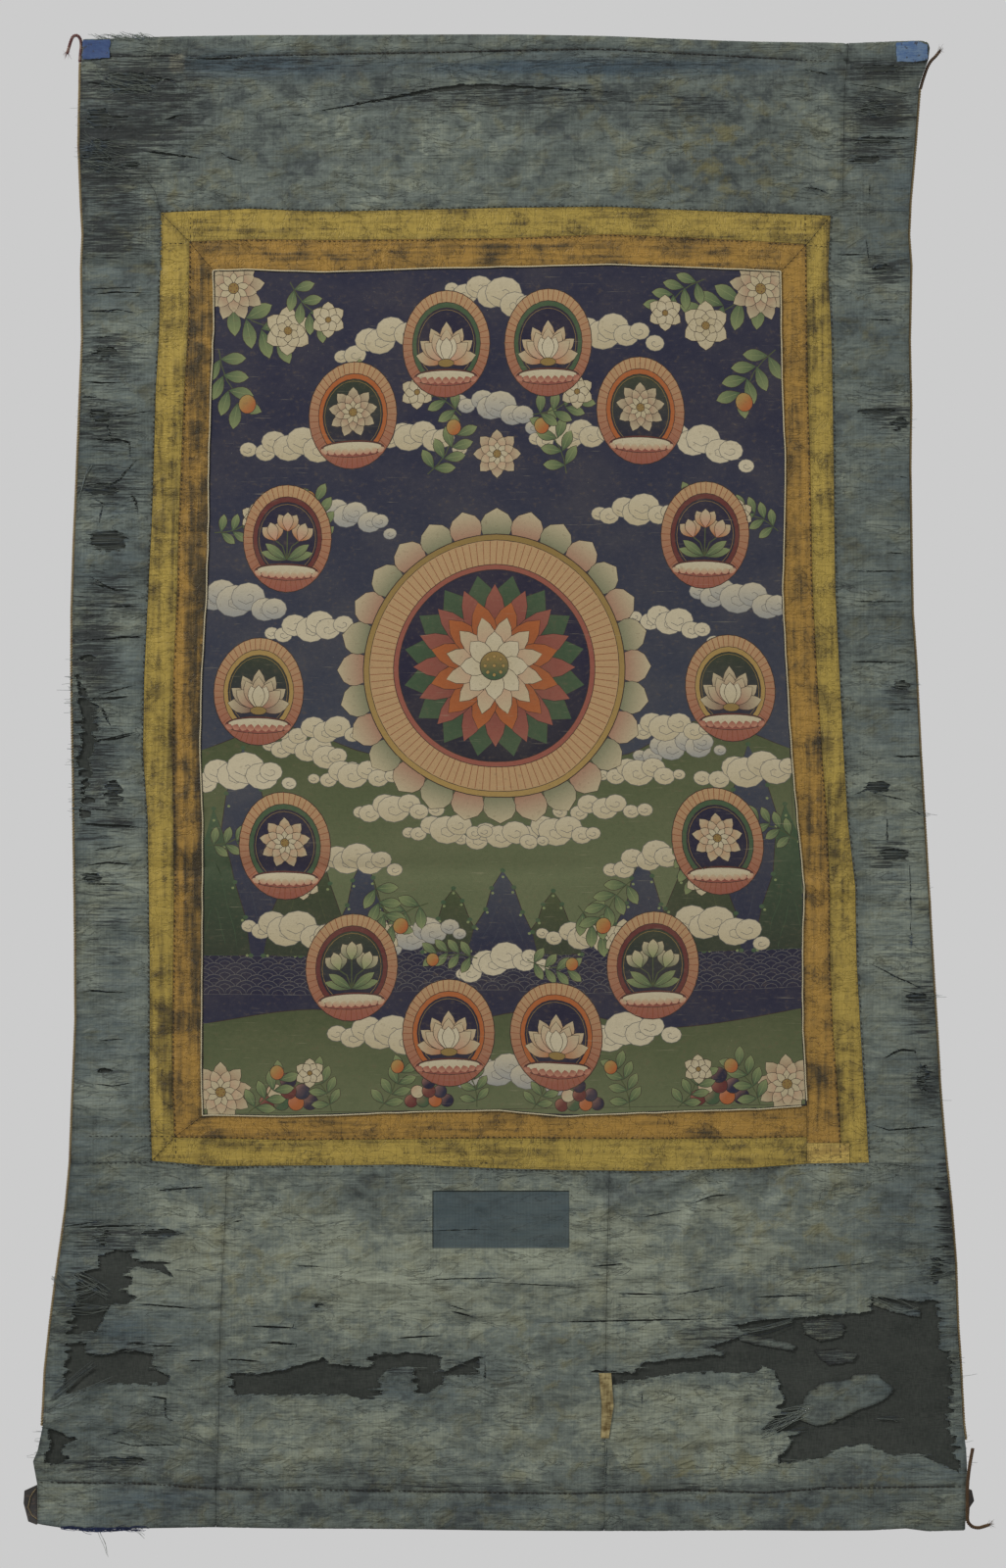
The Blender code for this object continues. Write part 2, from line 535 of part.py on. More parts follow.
def silk_panels():
    """Makes the silk heading, sides and foot."""
    left, right = SIDE["left"], SIDE["right"]
    outer_left, outer_right = UPRIGHT["outer_left"], UPRIGHT["outer_right"]
    edge_top, edge_foot = TOP["edge"], FOOT["edge"]
    band_top, band_foot = TOP["outer"], FOOT["outer"]
    left_seam, right_seam = LEFT_SIDE_SEAM[1][1], RIGHT_SIDE_SEAM[1][1]
    low_left, low_right = LEFT_FOOT_SEAM[1], RIGHT_FOOT_SEAM[0]
    first, second = FOOT_SEAM_LEFT, FOOT_SEAM_RIGHT
    tears = [*LARGE_TEARS, slit(HEAD_SLIT), *(snag(*row) for row in SNAGS)]
    panels = {
        "heading": [
            *span(edge_top, SIDES[0][1], HEAD_END_SEAM[0][0]), *HEAD_END_SEAM[1:],
            *span(band_top, RIGHT_SHOULDER[0][0], LEFT_SHOULDER[-1][0]), *LEFT_SHOULDER[-2::-1],
            *upright(left, LEFT_SHOULDER[0][1] - BY, SIDES[0][0] + BY),
        ],
        "heading_end": [
            *span(edge_top, HEAD_END_SEAM[0][0], SIDES[0][2]),
            *upright(right, SIDES[0][0] + 2 * BY, RIGHT_SHOULDER[-1][1]), RIGHT_SHOULDER[1],
            *HEAD_END_SEAM[-2:0:-1],
        ],
        "left_upper": [
            *LEFT_SHOULDER, *upright(outer_left, LEFT_SHOULDER[-1][1] + BY, left_seam),
            *upright(left, left_seam, LEFT_SHOULDER[0][1] + BY),
        ],
        "left_lower": [
            *LEFT_SIDE_SEAM, *upright(outer_left, left_seam + BY, low_left[1]),
            *upright(left, LEFT_FOOT_SEAM[0][1], left_seam + BY),
        ],
        "right_upper": [
            *RIGHT_SHOULDER, *upright(right, RIGHT_SHOULDER[-1][1] + BY, right_seam),
            *upright(outer_right, RIGHT_SIDE_SEAM[0][1], RIGHT_SHOULDER[0][1] + BY),
        ],
        "right_lower": [
            *RIGHT_SIDE_SEAM, *upright(right, right_seam + BY, RIGHT_FOOT_SEAM[-1][1]),
            *upright(outer_right, low_right[1], right_seam + BY),
        ],
    }
    for name, outline in panels.items():
        sheet(f"silk_{name}", outline, SILK, tears=tears, head=name.startswith("heading"))
    foot_panels = {
        "left": [
            *LEFT_FOOT_SEAM, *span(band_foot, low_left[0] + BY, first[0][0]), *first[1:],
            *span(edge_foot, first[-1][0] - BY, SIDES[-1][1]),
            *upright(left, SIDES[-1][0] - BY, LEFT_FOOT_SEAM[0][1] + BY),
        ],
        "middle": [
            *span(band_foot, first[0][0], second[0][0]), *second[1:],
            *span(edge_foot, second[-1][0] - BY, first[-1][0]), *first[-2:0:-1],
        ],
        "right": [
            *span(band_foot, second[0][0], low_right[0] - BY), *RIGHT_FOOT_SEAM,
            *upright(right, RIGHT_FOOT_SEAM[-1][1] + BY, SIDES[-1][0]),
            *span(edge_foot, SIDES[-1][2] - BY, second[-1][0]), *second[-2:0:-1],
        ],
    }
    for name, outline in foot_panels.items():
        sheet(f"silk_foot_{name}", outline, SILK, tears=tears, foot=True)
    sheet("silk_scrap", SCRAP, SILK)


def bands():
    """Makes the two rows of yellow bands that frame the picture, and the piece let into one corner."""
    mid_left, mid_right = UPRIGHT["mid_left"], UPRIGHT["mid_right"]
    outer_left, outer_right = UPRIGHT["outer_left"], UPRIGHT["outer_right"]
    inner_left, inner_right = UPRIGHT["picture_left"], UPRIGHT["picture_right"]
    top, top_mid, top_inner = TOP["outer"], TOP["mid"], TOP["picture"]
    foot, foot_mid, foot_inner = FOOT["outer"], FOOT["mid"], FOOT["picture"]
    outer_a, mid_a, inner_a = UPPER_LEFT_MITRE
    outer_b, mid_b, inner_b = UPPER_RIGHT_MITRE
    outer_c, mid_c, inner_c = LOWER_LEFT_MITRE
    butt = [(BUTT_ACROSS, at(line, BUTT_ACROSS)) for line in (foot, foot_mid, foot_inner)]
    step = (at(mid_right, INSET_TOP), INSET_TOP)
    inset = [(BUTT_ACROSS, INSET_TOP), step, (INSET_RIGHT, INSET_TOP), (INSET_RIGHT, at(foot, INSET_RIGHT))]
    pieces = {
        "outer_top": [
            outer_a, *span(top, outer_a[0] + BY, outer_b[0] - BY), outer_b, mid_b,
            *span(top_mid, mid_b[0] - BY, mid_a[0] + BY), mid_a,
        ],
        "inner_top": [
            mid_a, *span(top_mid, mid_a[0] + BY, mid_b[0] - BY), mid_b, inner_b,
            *span(top_inner, inner_b[0] - BY, inner_a[0] + BY), inner_a,
        ],
        "outer_left": [
            outer_a, mid_a, *upright(mid_left, mid_a[1] + BY, mid_c[1] - BY), mid_c, outer_c,
            *upright(outer_left, outer_c[1] - BY, outer_a[1] + BY),
        ],
        "inner_left": [
            mid_a, inner_a, *upright(inner_left, inner_a[1] + BY, inner_c[1] - BY), inner_c, mid_c,
            *upright(mid_left, mid_c[1] - BY, mid_a[1] + BY),
        ],
        "inner_bottom": [
            mid_c, inner_c, *span(foot_inner, inner_c[0] + BY, BUTT_ACROSS),
            *span(foot_mid, BUTT_ACROSS, mid_c[0] + BY),
        ],
        "outer_bottom": [
            outer_c, mid_c, *span(foot_mid, mid_c[0] + BY, BUTT_ACROSS),
            *span(foot, BUTT_ACROSS, outer_c[0] + BY),
        ],
        "inner_right": [
            inner_b, mid_b, *upright(mid_right, mid_b[1] + BY, INSET_TOP), inset[0], butt[2],
            *upright(inner_right, butt[2][1] - BY, inner_b[1] + BY),
        ],
        "outer_right": [
            mid_b, outer_b, *upright(outer_right, outer_b[1] + BY, RIGHT_FOOT_SEAM[0][1]), *inset[:0:-1],
            *upright(mid_right, INSET_TOP - BY, mid_b[1] + BY),
        ],
    }
    for name, outline in pieces.items():
        sheet(f"band_{name}", outline, BAND_OUTER if name.startswith("outer") else BAND_INNER)
    sheet("band_corner_piece", [*inset, butt[0]], BAND_PATCH)
    return inner_a, inner_b, inner_c, butt[2]


def picture(corners):
    """Makes the painted canvas and the cord couched over its seam."""
    top_left, top_right, low_left, low_right = corners
    left, right = UPRIGHT["picture_left"], UPRIGHT["picture_right"]
    outline = [
        top_left, *span(TOP["picture"], top_left[0] + BY, top_right[0] - BY), top_right,
        *upright(right, top_right[1] + BY, low_right[1] - BY), low_right,
        *span(FOOT["picture"], low_right[0] - BY, low_left[0] + BY), low_left,
        *upright(left, low_left[1] - BY, top_left[1] + BY),
    ]
    sheet("canvas", outline, CANVAS)
    start = outline.index(low_right)
    walk = [*outline[start + 1:], *outline[:start]]
    begin, end = (low_right[0] - 1.5 * BY, low_right[1]), (low_right[0], low_right[1] - 1.5 * BY)
    depth = -GAP - PICTURE_CORD / 2
    route = [(x, z, depth) for x, z in SURFACE.crossings([begin, *walk[1:-1], end])]
    cord("picture_cord", route, PICTURE_CORD, CORD_CREAM, sides=0)


def lining():
    """Makes the lining, which shows through the tears and lies in the fold of both hems."""
    shy = SHEET + GAP
    left, right = SIDE["left"], SIDE["right"]
    outline = [
        *[(x, z + shy) for x, z in span(TOP["edge"], SIDES[0][1], SIDES[0][2] + 2.0)],
        *upright(right, SIDES[1][0] + 2.0, SIDES[-1][0] - 2.4),
        *[(x, z - shy) for x, z in span(FOOT["edge"], SIDES[-1][2] - 0.6, SIDES[-1][1] + 0.6)],
        *upright(left, SIDES[-1][0] - BY, SIDES[0][0] + BY),
    ]
    sheet("lining", outline, LINING_CLOTH, levels=LINING_LEVELS)


def edge_cord(name, column, stretch, turn):
    """Makes the cord that edges one side, turn 1 on the left and -1 on the right."""
    route = beside(upright(SIDE[column], *stretch), turn * (EDGE_CORD / 2 + GAP))
    points = []
    for a, b in zip(route, route[1:]):
        count = max(1, round(float(np.hypot(*(b - a))) / CORD_STEP))
        points += [a + (b - a) * i / count for i in range(count)]
    cord(name, [(x, z, MIDDLE) for x, z in [*points, route[-1]]], EDGE_CORD, CORD_TAN, sides=1)


def end_tabs():
    """Makes the leather tabs that close the foot hem's two ends."""
    levels = (MIDDLE - TAB_THICK / 2, MIDDLE + TAB_THICK / 2)
    left = upright(SIDE["left"], TAB_FOOT_LEFT, TAB_TOP_LEFT)
    right = upright(SIDE["right"], TAB_TOP_RIGHT, RIGHT_TAB[0][1])
    sheet("end_tab_left", [*LEFT_TAB, *((x - GAP, z) for x, z in left)], LEATHER, levels=levels)
    sheet("end_tab_right", [*((x + GAP, z) for x, z in right), *RIGHT_TAB], LEATHER, levels=levels)


def trims():
    """Makes the edge cords, corner patches, darning strip, tabs and what is left of the ties."""
    edge_cord("edge_cord_left", "left", LEFT_CORD_SPAN, 1)
    edge_cord("edge_cord_right", "right", RIGHT_CORD_SPAN, -1)
    sheet("corner_patch_left", LEFT_CORNER_PATCH, SATIN, levels=PATCH_LEVELS)
    sheet("corner_patch_right", RIGHT_CORNER_PATCH, SATIN, levels=PATCH_LEVELS)
    sheet("darn_strip", DARN_STRIP, DARN, levels=PATCH_LEVELS)
    end_tabs()
    cord("tie_head_left", smooth(LEFT_TIE, TIE * 1.6), TIE, TIE_RED)
    cord("tie_head_right", smooth(RIGHT_TIE, TIE * 1.6), TIE, TIE_BROWN)
    cord("tie_foot_right", smooth(THONG_ROUTE, THONG * 1.8), THONG, TIE_RED)


for leftover in list(bpy.data.objects):
    bpy.data.objects.remove(leftover, do_unlink=True)

SCROLL = bpy.data.objects.new("scroll", None)
bpy.context.scene.collection.objects.link(SCROLL)

SIDE = table(SIDES, ("left", "right"))
UPRIGHT = table(UPRIGHTS, UPRIGHT_NAMES)
TOP = table(TOPS, TOP_NAMES)
FOOT = table(FEET, FOOT_NAMES)

SILK = material("silk", (0.17, 0.21, 0.20), 0.55)
LINING_CLOTH = material("lining", (0.045, 0.045, 0.04), 0.9)
BAND_OUTER = material("band_outer", (0.36, 0.25, 0.06), 0.5)
BAND_INNER = material("band_inner", (0.24, 0.13, 0.03), 0.55)
BAND_PATCH = material("band_patch", (0.42, 0.28, 0.05), 0.5)
CANVAS = material("canvas", (0.16, 0.16, 0.13), 0.8)
CORD_CREAM = material("cord_cream", (0.62, 0.55, 0.40), 0.8)
CORD_TAN = material("cord_tan", (0.38, 0.30, 0.17), 0.85)
SATIN = material("satin", (0.05, 0.10, 0.28), 0.4)
LEATHER = material("leather", (0.07, 0.05, 0.035), 0.7)
DARN = material("darn", (0.38, 0.33, 0.14), 0.7)
TIE_RED = material("tie_red", (0.18, 0.07, 0.07), 0.8)
TIE_BROWN = material("tie_brown", (0.12, 0.09, 0.06), 0.9)

lining()
silk_panels()
picture(bands())
trims()
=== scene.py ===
"""Dresses a hanging scroll painting: silk mount, yellow bands, painted canvas, lining, cords and ties.

The scroll faces -Y and hangs down -Z, with the middle of its top edge at the origin. Lengths in the
tables are millimetres: "across" is measured from the middle to the right, "drop" down from the top
edge and "depth" behind the silk's front face. Every layer follows the same uneven hanging surface.
"""

from __future__ import annotations

import logging
import math
from dataclasses import dataclass, field
from enum import Enum
from typing import Sequence

import bpy
import numpy as np
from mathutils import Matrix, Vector, kdtree
from mathutils.geometry import delaunay_2d_cdt


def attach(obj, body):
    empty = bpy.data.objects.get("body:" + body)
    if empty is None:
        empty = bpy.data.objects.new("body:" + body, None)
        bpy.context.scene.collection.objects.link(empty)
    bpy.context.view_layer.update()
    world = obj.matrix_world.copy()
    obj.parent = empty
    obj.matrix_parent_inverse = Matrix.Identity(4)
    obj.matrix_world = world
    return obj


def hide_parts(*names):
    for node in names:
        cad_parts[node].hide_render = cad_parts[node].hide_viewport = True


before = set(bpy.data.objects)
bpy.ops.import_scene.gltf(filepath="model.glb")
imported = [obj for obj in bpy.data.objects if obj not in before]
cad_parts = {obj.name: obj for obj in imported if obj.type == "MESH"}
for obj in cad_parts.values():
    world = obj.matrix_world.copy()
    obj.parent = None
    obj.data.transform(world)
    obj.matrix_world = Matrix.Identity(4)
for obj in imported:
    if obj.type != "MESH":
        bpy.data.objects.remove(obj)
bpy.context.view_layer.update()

LOG = logging.getLogger("scroll")
Point = tuple[float, float]
Line = list[Point]
Colour = tuple[float, float, float]
Box = tuple[float, float, float, float]
Floats = np.ndarray

MM = 0.001
LENGTH = 1220.0
HALF_WIDTH = 370.0
# The gap between neighbouring pieces, and how far points on a seam keep from its corners.
GAP = 0.3
BY = 4.0
# The distances below which points of an outline, of a cloth and of the painting become one.
MERGE = 0.02
FINE_MERGE = 0.0005
MARK_MERGE = 0.17
# The studio's light on a surface, where 1 shows it in its own colour.
STUDIO_LIGHT = 2.0
# Depths of the hems' folds and of the lining between them, and how far a hem swells.
FOLD_DEPTH = 3.6
LINING_DEPTH = (1.3, 2.3)
MIDDLE = FOLD_DEPTH / 2
HEM_PUFF = 0.5
# Diameters of the cords and ties, and the leather's thickness.
EDGE_CORD = 2.4
PICTURE_CORD = 1.0
TIE = 1.8
THONG = 2.0
TAB_THICK = 1.5
# The silk's side edges. Columns: drop, left, right.
SIDES = (
    (2.8, -343.2, 341), (10, -343.5, 348.6), (20, -344.6, 347.4), (32, -344.9, 343), (42, -344.9, 339.8),
    (90, -345.7, 336.1), (135, -344.1, 332.1), (163, -342.5, 330.9), (188, -343.7, 332.7),
    (249, -343, 331.3), (302, -344.9, 332.7), (355, -347.3, 331.7), (410, -349.5, 332.7),
    (471, -351.5, 333.7), (514, -351.5, 336.9), (586, -350.8, 340.1), (662, -349.4, 344.9),
    (722, -348.7, 348.1), (803, -348.1, 352.9), (855, -350.2, 355.8), (919, -352.5, 361.3),
    (955, -356.1, 364.9), (1003, -362.5, 368.9), (1054, -369.1, 370.5), (1089, -372.9, 372.9),
    (1132, -374.8, 375.2), (1154, -379.4, 377.8), (1163, -383.2, 378.2), (1182, -380, 378.5),
    (1214.4, -379.6, 377),
)

# The upright seams round the picture. Columns: drop, then the outer band's outer edge, the seam
# between the bands and the picture's edge on the left, and the same three outwards on the right.
UPRIGHT_NAMES = ("outer_left", "mid_left", "picture_left", "picture_right", "mid_right", "outer_right")
UPRIGHTS = (
    (144.8, -279.6, -256, -236.4, 226.8, 247.6, 267.6), (192, -280, -256.4, -236.6, 226.8, 248, 265.4),
    (243, -280.8, -257.2, -236.4, 227.2, 248.4, 268), (292, -283.6, -260.4, -238.8, 228.4, 249.2, 269.2),
    (347, -285.2, -262.8, -240.4, 230.8, 250.8, 270), (396, -286.8, -264.8, -240.4, 230, 251.6, 270.4),
    (454, -289.6, -266, -242, 228.4, 252.8, 271.3), (521, -292.8, -269.2, -246, 231.6, 256.4, 274.8),
    (587, -294, -270, -247.6, 235.6, 260.4, 278), (639, -290, -269, -245.2, 240.4, 264.4, 281.2),
    (695, -289.2, -268.4, -245.2, 246, 266.8, 287.6), (750, -288.4, -269.2, -245.6, 244.4, 266.8, 288.4),
    (812, -288.4, -270, -246, 244.8, 269.2, 291.6), (861, -288.4, -270, -246, 247.6, 273.2, 294.8),
    (882, -287.6, -268.8, -245.2, 248, 274.8, 296.4), (920, -286.4, -267.6, -245.2, 248, 276.6, 298.5),
)

# The seams above the picture. Columns: across, top edge, outer band's top, band seam, picture's top.
TOP_NAMES = ("edge", "outer", "mid", "picture")
TOPS = (
    (-343.2, 2.8, 146, 170, 193), (-318.8, 2.4, 146, 170, 193), (-279.6, 1, 144.8, 169.5, 192.5),
    (-207.6, -0.4, 141.6, 166.4, 191.2), (-143.6, -0.6, 144, 167.2, 193.6),
    (-68.4, -0.8, 142.4, 166.4, 190.4), (5.2, -0.8, 140.8, 165.6, 189.2), (86.8, 0.5, 140, 162.4, 187.2),
    (193.2, 4.6, 144.5, 167.2, 191.2), (267.6, 6, 147.2, 171.8, 194.4), (282.8, 6.4, 147.2, 172, 194.4),
    (320.4, 5, 147, 172, 194.4), (341, 4.6, 147, 172, 194.4), (349, 6, 147, 172, 194.4),
)

# The seams below the picture. Columns: across, picture's foot, band seam, outer band's foot, foot edge.
FOOT_NAMES = ("picture", "mid", "outer", "edge")
FEET = (
    (-383, 882, 899.2, 920.8, 1214), (-379.6, 882, 899.2, 920.8, 1214.4),
    (-359.6, 882, 899.2, 920.8, 1217.6), (-338.8, 882, 899.2, 919.8, 1219.5),
    (-286.4, 881.8, 899.2, 918.4, 1218), (-235.6, 881.6, 900, 922.8, 1217),
    (-170.8, 882.4, 901.6, 922.4, 1218), (-74.8, 878.8, 900.8, 921.6, 1219.2),
    (-2.8, 877.6, 900, 924.8, 1219.8), (48.4, 882.4, 900.4, 926, 1220),
    (123.6, 879.2, 900.8, 926.8, 1220.5), (208.4, 876.4, 900, 924, 1219.7),
    (248, 873.6, 899.2, 920.8, 1219.7), (298.5, 873.6, 898, 920, 1219.4), (328.4, 873.6, 898, 922.4, 1218),
    (346.8, 873.6, 898, 924.4, 1220.5), (362, 873.6, 898, 925.2, 1220), (377, 873.6, 898, 926, 1219.7),
)

# The hems' stitched lines. Columns: across, drop.
HEAD_HEM = ((-360, 17), (-219.6, 16.8), (-36.4, 13.6), (78.8, 11.2), (167.6, 16), (270, 21.6), (360, 22))
FOOT_HEM = (
    (-390, 1180), (-292.4, 1181.6), (-235.6, 1185.6), (-74.8, 1188), (56.4, 1189.6), (148.4, 1187.2),
    (214.8, 1188.8), (263.6, 1184.8), (390, 1183.2),
)

# Seams between the silk panels. Columns: across, drop.
HEAD_END_SEAM = ((283.6, 6.4), (279, 44), (277.2, 142.4))
RIGHT_SHOULDER = ((267.6, 147.2), (277.2, 142.4), (332, 144))
LEFT_SHOULDER = ((-344.6, 116), (-291.6, 116.8), (-284, 128), (-279.6, 144.8))
LEFT_SIDE_SEAM = ((-351.5, 472.8), (-290.3, 472.8))
RIGHT_SIDE_SEAM = ((272.3, 473.6), (333.8, 475.2))
LEFT_FOOT_SEAM = ((-352.7, 920.8), (-286.4, 918.4))
RIGHT_FOOT_SEAM = ((298.5, 920), (361.8, 925.2))
FOOT_SEAM_LEFT = (
    (-225.2, 922.8), (-227.6, 984.8), (-230.8, 1053.6), (-231.6, 1123.2), (-234, 1185.6), (-234.6, 1217),
)
FOOT_SEAM_RIGHT = ((86.8, 926.5), (85, 1000), (83.2, 1110), (82.8, 1187), (82.4, 1220.2))
BUTT_ACROSS = 248.0
UPPER_LEFT_MITRE = ((-279.6, 144.8), (-256.2, 168.6), (-236.6, 192.4))
UPPER_RIGHT_MITRE = ((267.6, 147.2), (247.9, 170.9), (226.8, 193))
LOWER_LEFT_MITRE = ((-286.4, 918.4), (-268.2, 899.3), (-245.2, 881.7))
INSET_TOP = 904.0
INSET_RIGHT = 282.8

# Soft folds. Columns: across and drop of the two ends, rise towards the viewer, half width.
FOLDS = (
    (87.6, 955, 164.4, 925, 2.2, 9), (166, 948, 147, 984, 2.6, 10), (224.4, 929, 193, 981, -2.2, 11),
    (299.6, 924, 313, 950, 2, 8), (315, 927, 348, 944, -1.8, 9), (-370, 1132, -336, 1105, 2, 9),
    (-335.6, 1141, -263, 1150, -1.8, 8), (45, 990, 120, 1000, -1.6, 9), (191, 1093, 191, 1155, 1.8, 8),
    (-345, 187, -282, 189, -1.6, 8), (272, 270, 331, 283, 1.8, 9), (-350, 679, 60, 681, -1.4, 9),
    (250, 694, 346, 706, 1.8, 9), (-350, 722, -290, 725, 1.8, 9), (-350, 893, -290, 889, -1.4, 8),
    (-180, 1024, 60, 1016, 1.5, 10), (-60, 1052, 180, 1047, -1.5, 9), (-60, 96, 60, 92, 1.6, 12),
)

# Tears across the threads. Columns: across, drop, length, height.
SNAGS = (
    (-305, 39.3, 50, 18), (-329.8, 68, 22, 16), (-329.8, 98.8, 22, 28), (-304, 106, 16, 5.6),
    (308.8, 27.2, 42.4, 6.4), (303.6, 60.4, 20, 13.6), (303, 85.6, 32, 7), (296, 101.4, 28, 7.6),
    (-325, 259, 19, 11), (-329, 311, 16, 12), (-327, 371, 30, 8), (-322.6, 412.8, 33, 17.6),
    (-318, 619, 16, 22), (-335, 688, 18, 8), (309.2, 190.8, 17.6, 8.8), (304, 307, 34, 5),
    (324, 317.2, 11.2, 12), (305, 613.5, 24, 9), (318.8, 668.8, 28.8, 9.6), (338, 785, 20, 6),
    (343, 851.2, 8.8, 24), (-280, 977.6, 37, 6), (-327, 981, 12, 14), (352.8, 1008, 12, 22),
    (324.8, 530.8, 16, 8), (-310, 1162.8, 38.4, 7.2), (314, 1128, 20, 3), (-150, 1036, 8, 4),
)

# The long slit across the heading. Columns: across, drop, height.
HEAD_SLIT = (
    (-171.6, 65.6, 0), (-122.8, 57, 1.8), (-90.8, 51, 2.2), (-62, 45.6, 3.4), (-40, 43, 5.6),
    (-12, 42, 4.8), (20, 43, 2.4), (60, 44.8, 1.8), (91.6, 46.4, 0),
)

# The large tears, walked round. Columns: across, drop.
SIDE_TEAR = (
    (-346.4, 521), (-339.2, 540), (-329.2, 548), (-332.8, 574.4), (-337.2, 595.2), (-338.8, 641.6),
    (-345.6, 641.6),
)
UPPER_LEFT_TEAR = (
    (-314.8, 990.4), (-300.4, 990.4), (-299.6, 1000), (-274.8, 1000.8), (-267.6, 1014.4), (-285.2, 1006.4),
    (-303.6, 1005.6), (-306, 1026.4), (-297.2, 1028.8), (-306, 1035.2), (-319.6, 1036), (-330.8, 1056.8),
    (-353.2, 1060.8), (-349.2, 1022.4), (-348.4, 1009.6), (-328.4, 1005.6), (-327.6, 995.2),
)
LOWER_LEFT_TEAR = (
    (-354.8, 1066.4), (-339.6, 1066.4), (-339.6, 1075.2), (-330, 1076.8), (-309.2, 1072), (-285.2, 1076),
    (-286.8, 1087.2), (-272.4, 1093.6), (-274.8, 1100.8), (-330, 1100), (-338.8, 1104.8), (-359.6, 1109.6),
    (-358, 1088.8),
)
CORNER_TEAR = (
    (-369.5, 1135.2), (-361.2, 1139.2), (-346, 1145.6), (-356.4, 1149.6), (-356.4, 1164.8), (-374, 1166.4),
)
MIDDLE_TEAR = (
    (-222.8, 1091.2), (-191.6, 1091.2), (-146, 1079.2), (-139.6, 1084), (-109.2, 1086.4), (-106, 1075.2),
    (-68.4, 1075.2), (-48.4, 1078.4), (-51.6, 1090.4), (-19.6, 1077.6), (-18.8, 1092), (-49.2, 1094.4),
    (-50, 1100.8), (-62, 1108.8), (-72.4, 1108.8), (-72.4, 1087.2), (-90.8, 1087.2), (-100.4, 1094.4),
    (-103.6, 1112.8), (-115.6, 1113.6), (-127.6, 1109.6), (-204.4, 1108.8), (-220.4, 1110.4),
)
RIGHT_TEAR = (
    (70.8, 1088.8), (105.2, 1091.2), (113.2, 1083.2), (179.6, 1076), (167.6, 1070.4), (199.6, 1059.2),
    (187.6, 1052.8), (213.2, 1048), (300.4, 1040.8), (298.8, 1028.8), (342, 1032.8), (352.4, 1031.2),
    (355.6, 1040.8), (354, 1071.2), (365.2, 1072.8), (366.8, 1108), (365.2, 1129.6), (369.2, 1149.6),
    (372, 1173), (351.6, 1163.2), (338.8, 1156.8), (318.8, 1158.4), (296.4, 1149.6), (279.6, 1150.4),
    (262, 1160), (224.4, 1164.8), (224.4, 1158.4), (238.8, 1139.2), (211.6, 1138.4), (222.8, 1125.6),
    (226, 1112.8), (220.4, 1088.8), (211.6, 1086.4), (206, 1091.2), (149.2, 1091.2), (89.2, 1100.8),
)
SCRAP = (
    (244.4, 1112.8), (256.4, 1100), (283.6, 1096), (286.8, 1092), (305.2, 1091.2), (318.8, 1104.8),
    (310, 1114.4), (282, 1124.8), (268.4, 1132.8), (254.8, 1134.4), (241.2, 1129.6),
)
LARGE_TEARS = (SIDE_TEAR, UPPER_LEFT_TEAR, LOWER_LEFT_TEAR, CORNER_TEAR, MIDDLE_TEAR, RIGHT_TEAR)

# Small pieces sewn on or in. Columns: across, drop.
LEFT_CORNER_PATCH = ((-342.4, 3.6), (-320.6, 3.2), (-321.4, 18.6), (-343.6, 19.6))
RIGHT_CORNER_PATCH = ((321, 5.8), (340, 5.4), (347, 8.4), (346.4, 20.4), (334, 22.6), (320.4, 21.6))
DARN_STRIP = ((78, 1091.4), (88.4, 1091.4), (90.4, 1118), (86.4, 1144.6), (79.6, 1144.6), (80.4, 1118))
LEFT_TAB = ((-390.5, 1187.2), (-391.2, 1197.6), (-387.3, 1212.4), (-380.2, 1215.2))
RIGHT_TAB = ((380, 1212), (380.6, 1200.8), (384.2, 1195.2), (382.3, 1186.4))
TAB_TOP_LEFT, TAB_FOOT_LEFT, TAB_TOP_RIGHT = 1182.0, 1213.6, 1184.4

LEFT_CORD_SPAN = (25.0, 1134.0)
RIGHT_CORD_SPAN = (46.0, 1146.0)

# Routes of the remaining tie ends. Columns: across, drop, depth behind the silk's front face.
LEFT_TIE = (
    (-345.8, 21.6, 1.8), (-345.3, 15, 1.8), (-344.7, 8.5, 1.6), (-345.2, 3.4, 0.6), (-347.6, 0.2, -0.4),
    (-351, 0.8, -0.6), (-353, 4.6, -0.4), (-354.4, 9, 0), (-356, 14.4, 0.4),
)
RIGHT_TIE = (
    (341, 43.6, 1.8), (342.8, 37, 1.8), (344.9, 30.6, 1.8), (346.9, 25.4, 1.8), (349.6, 21, 1.2),
    (353.2, 17.4, 0.4), (356.2, 13.6, 0),
)
THONG_ROUTE = (
    (383, 1152.6, 0.2), (381.8, 1158.6, 0), (380.6, 1165, -0.9), (379.4, 1172, -2), (378.6, 1179, -2.4),
    (378.2, 1186, -2.5), (378.2, 1193, -2.5), (378.3, 1200, -2.5), (378.2, 1206.6, -2.5),
    (379, 1212.4, -2.4), (382.6, 1216.2, -2), (387.6, 1217.2, -1.6), (392.4, 1216, -1.2),
    (396.2, 1214.8, -1),
)

